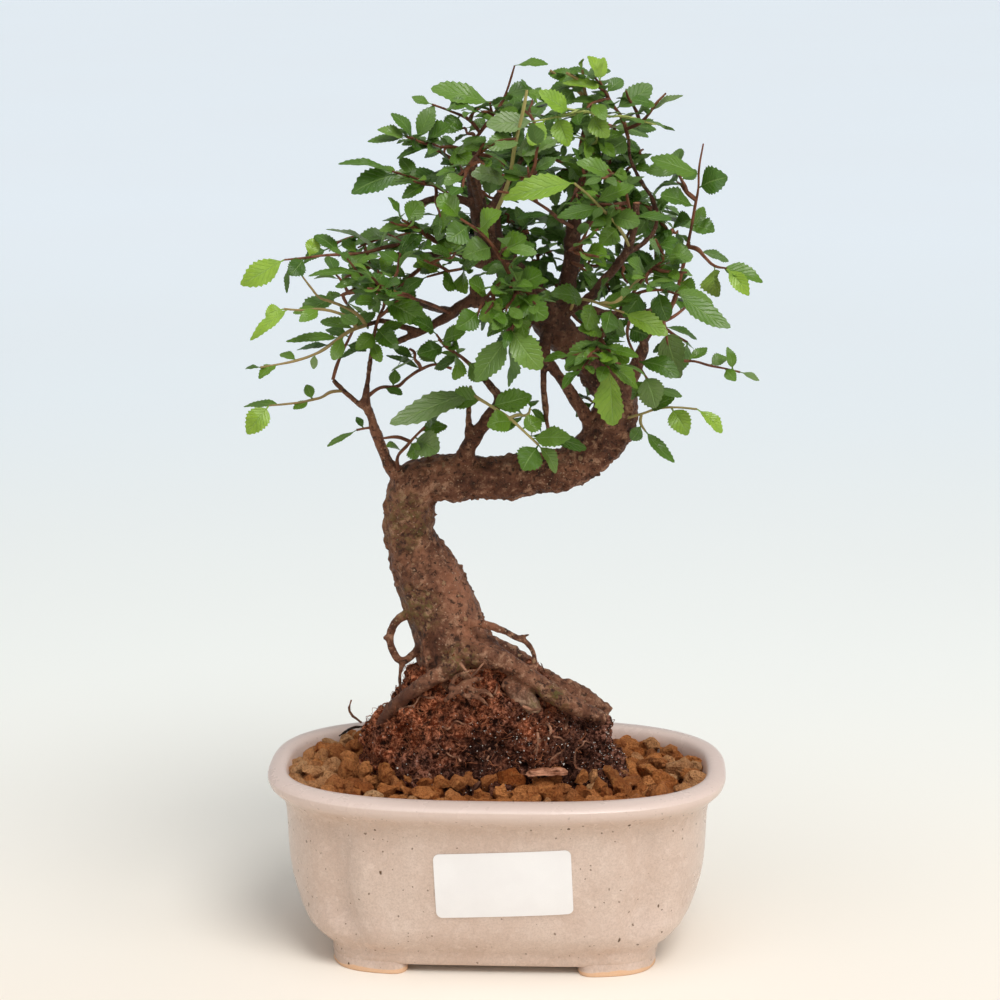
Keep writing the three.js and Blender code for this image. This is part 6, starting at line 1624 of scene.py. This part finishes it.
# Rootlets laid one by one, as they are seen: points of (x, z, depth)
OWN_ROOTLETS = [
    [(13.6, 72.6, -22), (13.9, 69, -23.4), (13.2, 64.6, -24)],
    [(8.6, 81.8, -18.6), (12, 80.6, -20), (15.4, 81, -19.6)],
    [(-12.6, 97, -16.6), (-10.4, 94, -18), (-8.6, 91.8, -18.6)],
    [(-8.6, 92.4, -18.6), (-6.6, 94.6, -17.6), (-4.6, 97, -16)],
    [(-46, 76, -4), (-50, 80, -4), (-49.4, 84, -4)],
]


def make_fibres(ball):
    """Fine feeding roots matted over the ball, some of them standing out of it."""
    dice = random.Random(SEED_OF_FIBRES)
    lines = []

    def on_fibrous_side(place):
        return place.x < -10 or place.z > 80 or dice.random() < 0.35

    for line in surface_walks(ball, dice, FIBRES, 4, 1.1, (-0.1, 0.8), on_fibrous_side):
        thick = dice.uniform(0.05, 0.12)
        lines.append((line, [thick, thick * 1.1, thick * 0.9, thick * 0.5]))
    for line in surface_walks(ball, dice, STRAY_FIBRES, 5, 1.8, (0.1, 1.8)):
        thick = dice.uniform(0.07, 0.15)
        lines.append((line, [thick, thick * 1.1, thick, thick * 0.8, thick * 0.4]))
    fine = rods(lines, "feeding_roots", 0, 2)
    red = fibre_material("feeding_root_skin", (0.06, 0.018, 0.009), (0.42, 0.15, 0.07), 0.6)
    hand_over(fine, [], [red], smooth_angle=60)
    lines = []
    for line in surface_walks(ball, dice, WOODY_ROOTS, 8, 2.6, (-0.3, 0.7)):
        thick = dice.uniform(0.25, 0.6)
        lines.append((line, [thick * (1 - 0.09 * k) for k in range(8)]))
    lines += [([seen(*spot) for spot in line], [0.5, 0.42, 0.25]) for line in OWN_ROOTLETS]
    thicker = rods(lines, "woody_roots", 1, 3)
    roughen(thicker.data, [(1.2, 0.25, 6.0)])
    brown = fibre_material("woody_root_skin", (0.09, 0.036, 0.02), (0.4, 0.2, 0.12), 0.8)
    return hand_over(thicker, [], [brown], smooth_angle=60)


def make_perlite(ball):
    """White specks caught in the peat, mostly low on the right."""
    dice = random.Random(SEED_OF_PERLITE)
    shape = grain_shape(dice)
    specks = []

    def on_speckled_side(place):
        return dice.random() < (1.0 if place.x > -12 and place.z < 84 else 0.25)

    for (centre,) in surface_walks(ball, dice, PERLITE_SPECKS, 1, 1, (0, 0.5), on_speckled_side):
        size = dice.uniform(0.07, 0.2) if dice.random() < 0.94 else dice.uniform(0.2, 0.5)
        turn = Matrix.Rotation(dice.uniform(0, 6.28), 3, (dice.gauss(0, 1), dice.gauss(0, 1), 1))
        flat = np.array([size * dice.uniform(0.6, 1.5), size, size * dice.uniform(0.5, 1)])
        places = (spots(shape.data) * flat) @ np.array(turn) + np.array(centre)
        specks.append(copy_shape(shape, places * MM))
    bpy.data.objects.remove(shape)
    whole = join(specks, "perlite_specks")
    return hand_over(whole, [], [perlite_material()], smooth_angle=40)


# Trunk, limbs and roots
def limb_lines():
    lines = {}
    for name, rows in {**LIMBS, **ROOTS}.items():
        lines[name] = ([seen(x, z, y) for x, z, y, _ in rows], [row[3] for row in rows])
    return lines


def smooth_line(points, steps=8):
    """Points along a smooth curve through the given ones, ends included."""
    out = []
    for i in range(len(points) - 1):
        before, start, end = points[max(i - 1, 0)], points[i], points[i + 1]
        after = points[min(i + 2, len(points) - 1)]
        second = 2 * before - 5 * start + 4 * end - after
        third = 3 * start - before - 3 * end + after
        for k in range(steps):
            t = k / steps
            out.append(0.5 * (2 * start + (end - before) * t + second * t * t + third * t ** 3))
    return out + [points[-1]]


def raise_buds(mesh, thick):
    """Small round bumps with a sunk ring on the thicker wood. Returns their tops and rings as masks."""
    dice = random.Random(SEED_OF_BUDS)
    places = spots(mesh)
    thicker = np.nonzero(thick > BUD_WOOD)[0]
    rise, tops, rings = np.zeros(len(places)), np.zeros(len(places)), np.zeros(len(places))
    for _ in range(BUDS):
        index = thicker[dice.randrange(len(thicker))]
        size = dice.uniform(0.5, 1.05)
        away = np.linalg.norm(places - places[index], axis=1) / MM
        near = away < size * 2.4
        top = np.exp(-((away[near] / (size * 0.6)) ** 2))
        ring = np.exp(-(((away[near] - size * 1.2) / (size * 0.36)) ** 2))
        rise[near] += (top - 0.3 * ring) * size * dice.uniform(0.4, 0.75)
        tops[near] = np.maximum(tops[near], top)
        rings[near] = np.maximum(rings[near], ring)
    move_spots(mesh, places + normals_of(mesh) * rise[:, None] * MM)
    return tops, rings


def tree_of(points):
    """A tree that finds the nearest of the points, given in millimetres."""
    tree = KDTree(len(points))
    for i, point in enumerate(points):
        tree.insert(point * MM, i)
    tree.balance()
    return tree


def make_wood(lines):
    """All limbs and roots grown into one skin, with burrs on the thick parts and pale cut ends."""
    wood = rods(list(lines.values()), "trunk_and_limbs", 4, 8)
    use_modifier(wood, "REMESH", mode="VOXEL", voxel_size=WOOD_VOXEL * MM)
    use_modifier(wood, "SMOOTH", factor=0.5, iterations=3)
    samples = []
    for points, radii in lines.values():
        path = smooth_line([p.copy() for p in points])
        thick = np.interp(np.linspace(0, len(radii) - 1, len(path)), range(len(radii)), radii)
        samples += list(zip(path, thick))
    tree = tree_of([point for point, _ in samples])
    thick = np.array([samples[tree.find(Vector(p))[1]][1] for p in spots(wood.data)])
    weights = np.clip(thick / 7, 0.16, 1.15)
    roughen(wood.data, WOOD_SWELLINGS, weights)
    roughen(wood.data, WOOD_BURRS, np.clip(thick / 5, 0.25, 1.0))
    tops, rings = raise_buds(wood.data, thick)
    places = spots(wood.data) / MM
    cut = np.zeros(len(places))
    for name in CUT_LIMBS:
        points, radii = lines[name]
        end = np.array(points[-1])
        way = np.array((points[-1] - points[-2]).normalized())
        along = (places - end) @ way
        away = np.linalg.norm(places - end, axis=1)
        cut = np.maximum(cut, (along > -0.25) & (away < radii[-1] * 1.7))
    # The rings mask is used as painted shade in the sunk ring round each bud.
    masks = np.stack([tops, rings, cut, np.ones(len(cut))], axis=1)
    paint(wood.data, masks[corner_points(wood.data)])
    return hand_over(wood, ["trunk_and_roots"], [bark_material()], smooth_angle=75)


# Shoots: twigs and leaves
def leaf_blank():
    """One flat leaf: a stalk, a toothed blade and an underside that shares its margin."""
    leaf = add_mesh(bpy.ops.mesh.primitive_grid_add, x_subdivisions=LEAF_STATIONS, y_subdivisions=2, size=1)
    leaf.name = "leaf_blank"
    with editing():
        bpy.ops.transform.translate(value=(0.5, 0, 0))
        bpy.ops.mesh.duplicate()
        bpy.ops.mesh.flip_normals()
        bpy.ops.transform.translate(value=(0, 0, -0.001))
    for vertex in leaf.data.vertices:
        inner = abs(vertex.co.y) < 0.01 and 0.01 < vertex.co.x < 0.99
        vertex.co.z = (0.5 if vertex.co.z > -0.0005 else -0.5) if inner else 0
    with editing():
        bpy.ops.mesh.remove_doubles(threshold=0.0005)
    leaf.data.uv_layers[0].name = "UVMap"
    return leaf


def leaf_axes(base, tip, lean):
    """Along the leaf, out of its face and across it. Its face leans towards the front."""
    along = (tip - base).normalized()
    up = (Vector((0, 0, 1)) - along * along.z).normalized()
    side = along.cross(up)
    if side.y > 0:
        side.negate()
    face = (up * math.cos(lean) + side * math.sin(lean)).normalized()
    return along, face, face.cross(along)


def leaf_places(blank, base, tip, width, lean, dice):
    """The blank drawn out from base to tip, folded, arched, rippled and twisted."""
    length = (tip - base).length
    u, side, skin = blank[:, 0], np.sign(np.round(blank[:, 1], 3)), blank[:, 2]
    station = np.round(u * LEAF_STATIONS)
    stalk = min(0.14, LEAF_STALK / length)
    stalk_end = 2 / LEAF_STATIONS
    blade = np.clip((u - stalk_end) / (1 - stalk_end), 0, 1)
    along_way = np.where(u < stalk_end, u / stalk_end * stalk, stalk + blade * (1 - stalk))
    power, sharpness = dice.choice(LEAF_OUTLINES)
    outline = np.sin(np.pi * blade ** power) ** sharpness
    tooth = np.where(station % 2 == 1, 1.08, 0.93)
    half = np.where((blade <= 0) | (blade >= 1), 0.02, outline * tooth) * width / 2
    half = np.maximum(half, 0.28)
    half = np.where(blade >= 1, 0.06, half)
    forward = np.where((station % 2 == 1) & (side != 0), 0.3, 0) / LEAF_STATIONS
    along_way = np.where((blade > 0) & (blade < 1), along_way + forward, along_way)
    out = side * half
    out += dice.uniform(-0.05, 0.05) * length * np.sin(np.pi * blade)
    fold = math.tan(math.radians(dice.uniform(4, 24)))
    rise = np.abs(side) * half * fold * np.sin(np.pi * np.clip(blade * 0.9 + 0.08, 0, 1))
    rise += dice.uniform(-0.02, 0.11) * length * np.sin(np.pi * along_way)
    ripple_height = dice.uniform(0.02, 0.06) * width
    ripple = np.sin(dice.uniform(6, 17) * blade + dice.uniform(0, 6))
    rise += ripple_height * ripple * np.abs(side) * outline
    rise += skin * LEAF_THICKNESS
    twist = dice.uniform(-0.35, 0.35) * (blade - 0.4)
    along, face, across = leaf_axes(base, tip, lean)
    c = out * np.cos(twist) - rise * np.sin(twist)
    h = out * np.sin(twist) + rise * np.cos(twist)
    spine = np.array(base) + np.outer(along_way * length, along)
    return (spine + np.outer(c, across) + np.outer(h, face)) * MM


def has_room(base, tip):
    """Whether a leaf stays, seen from the front, inside the crown and off the places where wood shows."""
    def seen_in(point, rooms):
        share = (point.y - VIEW_POINT.y) / -VIEW_POINT.y
        x = VIEW_POINT.x + (point.x - VIEW_POINT.x) / share
        z = VIEW_POINT.z + (point.z - VIEW_POINT.z) / share
        return any(((x - cx) / rx) ** 2 + ((z - cz) / rz) ** 2 < 1 for cx, cz, rx, rz in rooms)

    places = [base.lerp(tip, share) for share in (0.4, 0.7, 1.0)]
    covers = tip.y < 6 and any(seen_in(place, CLEARINGS) for place in places)
    in_gap = any(seen_in(place, OPEN_PLACES) for place in places)
    return seen_in(tip, CROWN_ROOM) and not covers and not in_gap


def lay_spur(path, dice):
    """A short side twig from a place on the path, with a leaf at each of its joints."""
    index = dice.randrange(len(path) // 4, len(path) - 1)
    along = (path[index + 1] - path[index]).normalized()
    way = along * 0.5 + any_step(dice, (-1, 1), (-1, 0.9), (-0.45, 0.5))
    way.normalize()
    spur = [path[index]]
    for _ in range(4):
        way = (way + any_step(dice, (-0.3, 0.3), (-0.3, 0.3), (-0.2, 0.2))).normalized()
        spur.append(spur[-1] + way * dice.uniform(2.2, 3.6))
    leaves = []
    for k, base in enumerate(spur[1:]):
        side = Vector((way.y, -way.x, 0)).normalized() * (1 if k % 2 else -1)
        out = way * (2.5 if k == 3 else 0.6) + side * dice.uniform(0.7, 1.2)
        out += Vector((0, 0, dice.uniform(-0.45, 0.3)))
        length = dice.uniform(6, 11)
        lean = any_lean(dice, 0.5)
        tip = base + out.normalized() * length
        if has_room(base, tip):
            leaves.append((base, tip, length * dice.uniform(*LEAF_WIDTHS), lean, None))
    return spur, leaves


def nearest_place(twigs, x, z):
    """The place on the twigs that is seen nearest to (x, z)."""
    best = None
    for twig in twigs:
        for i, point in enumerate(twig):
            after = twig[min(i + 1, len(twig) - 1)]
            for share in (0, 0.25, 0.5, 0.75):
                place = point.lerp(after, share)
                flat = seen(x, z, place.y)
                away = math.hypot(flat.x - place.x, flat.z - place.z)
                if best is None or away < best[0]:
                    best = (away, place)
    return best[1]


def lay_filling(twig, count, size, dice):
    """Leaves set along a twig, now on one side and now on the other."""
    leaves = []
    path = smooth_line(twig, 6)
    for k in range(count):
        share = 0.18 + 0.82 * (k + 0.5) / count
        index = min(int(share * (len(path) - 1)), len(path) - 2)
        base, along = path[index], (path[index + 1] - path[index]).normalized()
        side = Vector((along.y, -along.x, 0.05)).normalized() * (1 if k % 2 else -1)
        way = along * 0.75 + side * dice.uniform(0.7, 1.3)
        way += Vector((0, dice.uniform(-0.5, 0.3), dice.uniform(-0.45, 0.35)))
        length = size * dice.uniform(0.6, 1.05)
        lean = any_lean(dice, 0.5)
        tip = base + way.normalized() * length
        if has_room(base, tip):
            leaves.append((base, tip, length * dice.uniform(*LEAF_WIDTHS), lean, None))
    return leaves


def lay_shoot(shoot, limbs, dice):
    """A shoot in space: twigs as points, leaves as (base, tip, width, lean, seen tip)."""
    twigs = [[seen(x, z, y) for x, z, y in rows] for rows in shoot["twigs"]]
    start = Vector(limbs.find(twigs[0][0] * MM)[0]) / MM
    if (start - twigs[0][0]).length > 0.4:
        twigs[0].insert(0, start)
    else:
        twigs[0][0] = start
    leaves = []
    for base_x, base_z, tip_x, tip_z, deeper, width, lean in shoot["leaves"]:
        base = nearest_place(twigs, base_x, base_z)
        slim = SLIM if tip_x < SLIM_SIDE and (tip_x, tip_z) not in LEAF_TINTS else 1
        tip = seen(tip_x, tip_z, base.y + deeper)
        leaves.append((base, tip, width * slim, math.radians(lean * slim), (tip_x, tip_z)))
    count, size = shoot.get("filling", FILLING)
    for number, twig in enumerate(twigs):
        leaves += lay_filling(twig, round(count * 0.6) if number else count, size, dice)
    for _ in range(shoot.get("spurs", 0)):
        spur, spur_leaves = lay_spur(smooth_line(dice.choice(twigs[:3]), 6), dice)
        if len(spur_leaves) > 1:
            twigs.append(spur)
            leaves += spur_leaves
    return twigs, leaves


def lay_reach(laid, aim, dice):
    """A side twig from the nearest shoot to a thin place in the crown, with small leaves along it."""
    def away(point):
        return (point - aim).length

    def nearest(twigs):
        return min((point for twig in twigs for point in twig), key=away)

    twigs, leaves = min(laid, key=lambda shoot: away(nearest(shoot[0])))
    start = nearest(twigs)
    spur = [start]
    for share in (0.3, 0.55, 0.8, 1.0):
        spur.append(start.lerp(aim, share) + any_step(dice, (-1, 1), (-1, 1), (-1, 1)))
    kept = []
    for base in (*spur[2:], *spur[2:]):
        out = any_step(dice, (-1, 1), (-0.6, 0.6), (-0.8, 0.6)).normalized()
        length = dice.uniform(6, 10.5)
        lean = any_lean(dice, 0.35)
        if has_room(base, base + out * length):
            kept.append((base, base + out * length, length * dice.uniform(*SMALL_LEAF_WIDTHS), lean, None))
    if len(kept) > 1:
        twigs.append(spur)
        leaves.extend(kept)


def leaf_tint(all_bright, seen_tip, depth, dice):
    """How yellow, bright and grey a leaf is: darker, as painted shade, when it lies deep in the crown."""
    shade = 0.2 if depth > 6 else 0.6 if depth > -8 else 1.0
    yellow, bright, grey = 0.0, dice.uniform(0.0, 0.75) * shade, max(0.0, dice.uniform(-0.3, 0.3))
    if seen_tip in LEAF_TINTS:
        yellow, bright, grey = LEAF_TINTS[seen_tip]
    elif seen_tip and all_bright:
        yellow, bright = dice.uniform(0.15, 0.45), 1.0
    return yellow, bright, grey


def make_shoots(lines):
    dice = random.Random(SEED_OF_SHOOTS)
    blank = leaf_blank()
    shape = spots(blank.data)
    under = np.zeros(len(blank.data.loops))
    for polygon in blank.data.polygons:
        if polygon.normal.z < 0:
            under[list(polygon.loop_indices)] = 1
    limbs = tree_of([p for points, _ in lines.values() for p in smooth_line(points)])
    leaf_skin, twig_skin = leaf_material(), twig_material()
    laid = [lay_shoot(shoot, limbs, dice) for shoot in SHOOTS.values()]
    for x, z, y, reach, count in THICKETS:
        for _ in range(count):
            off_x, off_z = dice.uniform(-reach, reach), dice.uniform(-reach, reach)
            lay_reach(laid, seen(x + off_x, z + off_z, y + dice.uniform(-6, 6)), dice)
    for (name, shoot), (twigs, leaves) in zip(SHOOTS.items(), laid):
        parts = []
        for base, tip, width, lean, seen_tip in leaves:
            leaf = copy_shape(blank, leaf_places(shape, base, tip, width, lean, dice))
            colours = np.empty((len(under), 4))
            colours[:, :3] = leaf_tint("all_bright" in shoot, seen_tip, base.y, dice)
            colours[:, 3] = under
            paint(leaf.data, colours)
            leaf.data.materials.append(leaf_skin)
            parts.append(leaf)
        thick, thin = shoot["radius"]
        tubes = []
        for twig in twigs:
            ends = (0, len(twig) - 1), (thick, thin)
            radii = [np.interp(i, *ends) * (1.0 if i % 2 else 0.82) for i in range(len(twig))]
            tubes.append((twig, radii))
        tube = rods(tubes, "twigs", 1, 5)
        tube.data.materials.append(twig_skin)
        paint(tube.data, (*shoot.get("tint", (0, 0)), 0, 1))
        node = "shoot_" + name
        whole = join([*parts, tube], node + "_leaves")
        hand_over(whole, [node], None, smooth_angle=27)
    bpy.data.objects.remove(blank)


# Everything, in its order
set_camera()
set_studio()
make_pot()
make_label()
for node, make_skin in (
    ("growing_soil", soil_material),
    ("drain_mesh_left", plastic_material),
    ("drain_mesh_right", plastic_material),
):
    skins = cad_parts[node].data.materials
    skins.clear()
    skins.append(make_skin())
akadama = make_akadama()
make_chip(akadama)
make_dead_twig(akadama)
root_ball = make_root_ball()
make_fibres(root_ball)
make_perlite(root_ball)
limbs = limb_lines()
make_wood(limbs)
make_shoots(limbs)

floor = add_mesh(bpy.ops.mesh.primitive_plane_add, size=40)
floor.name = "studio_floor"
floor.data.materials.append(floor_material())
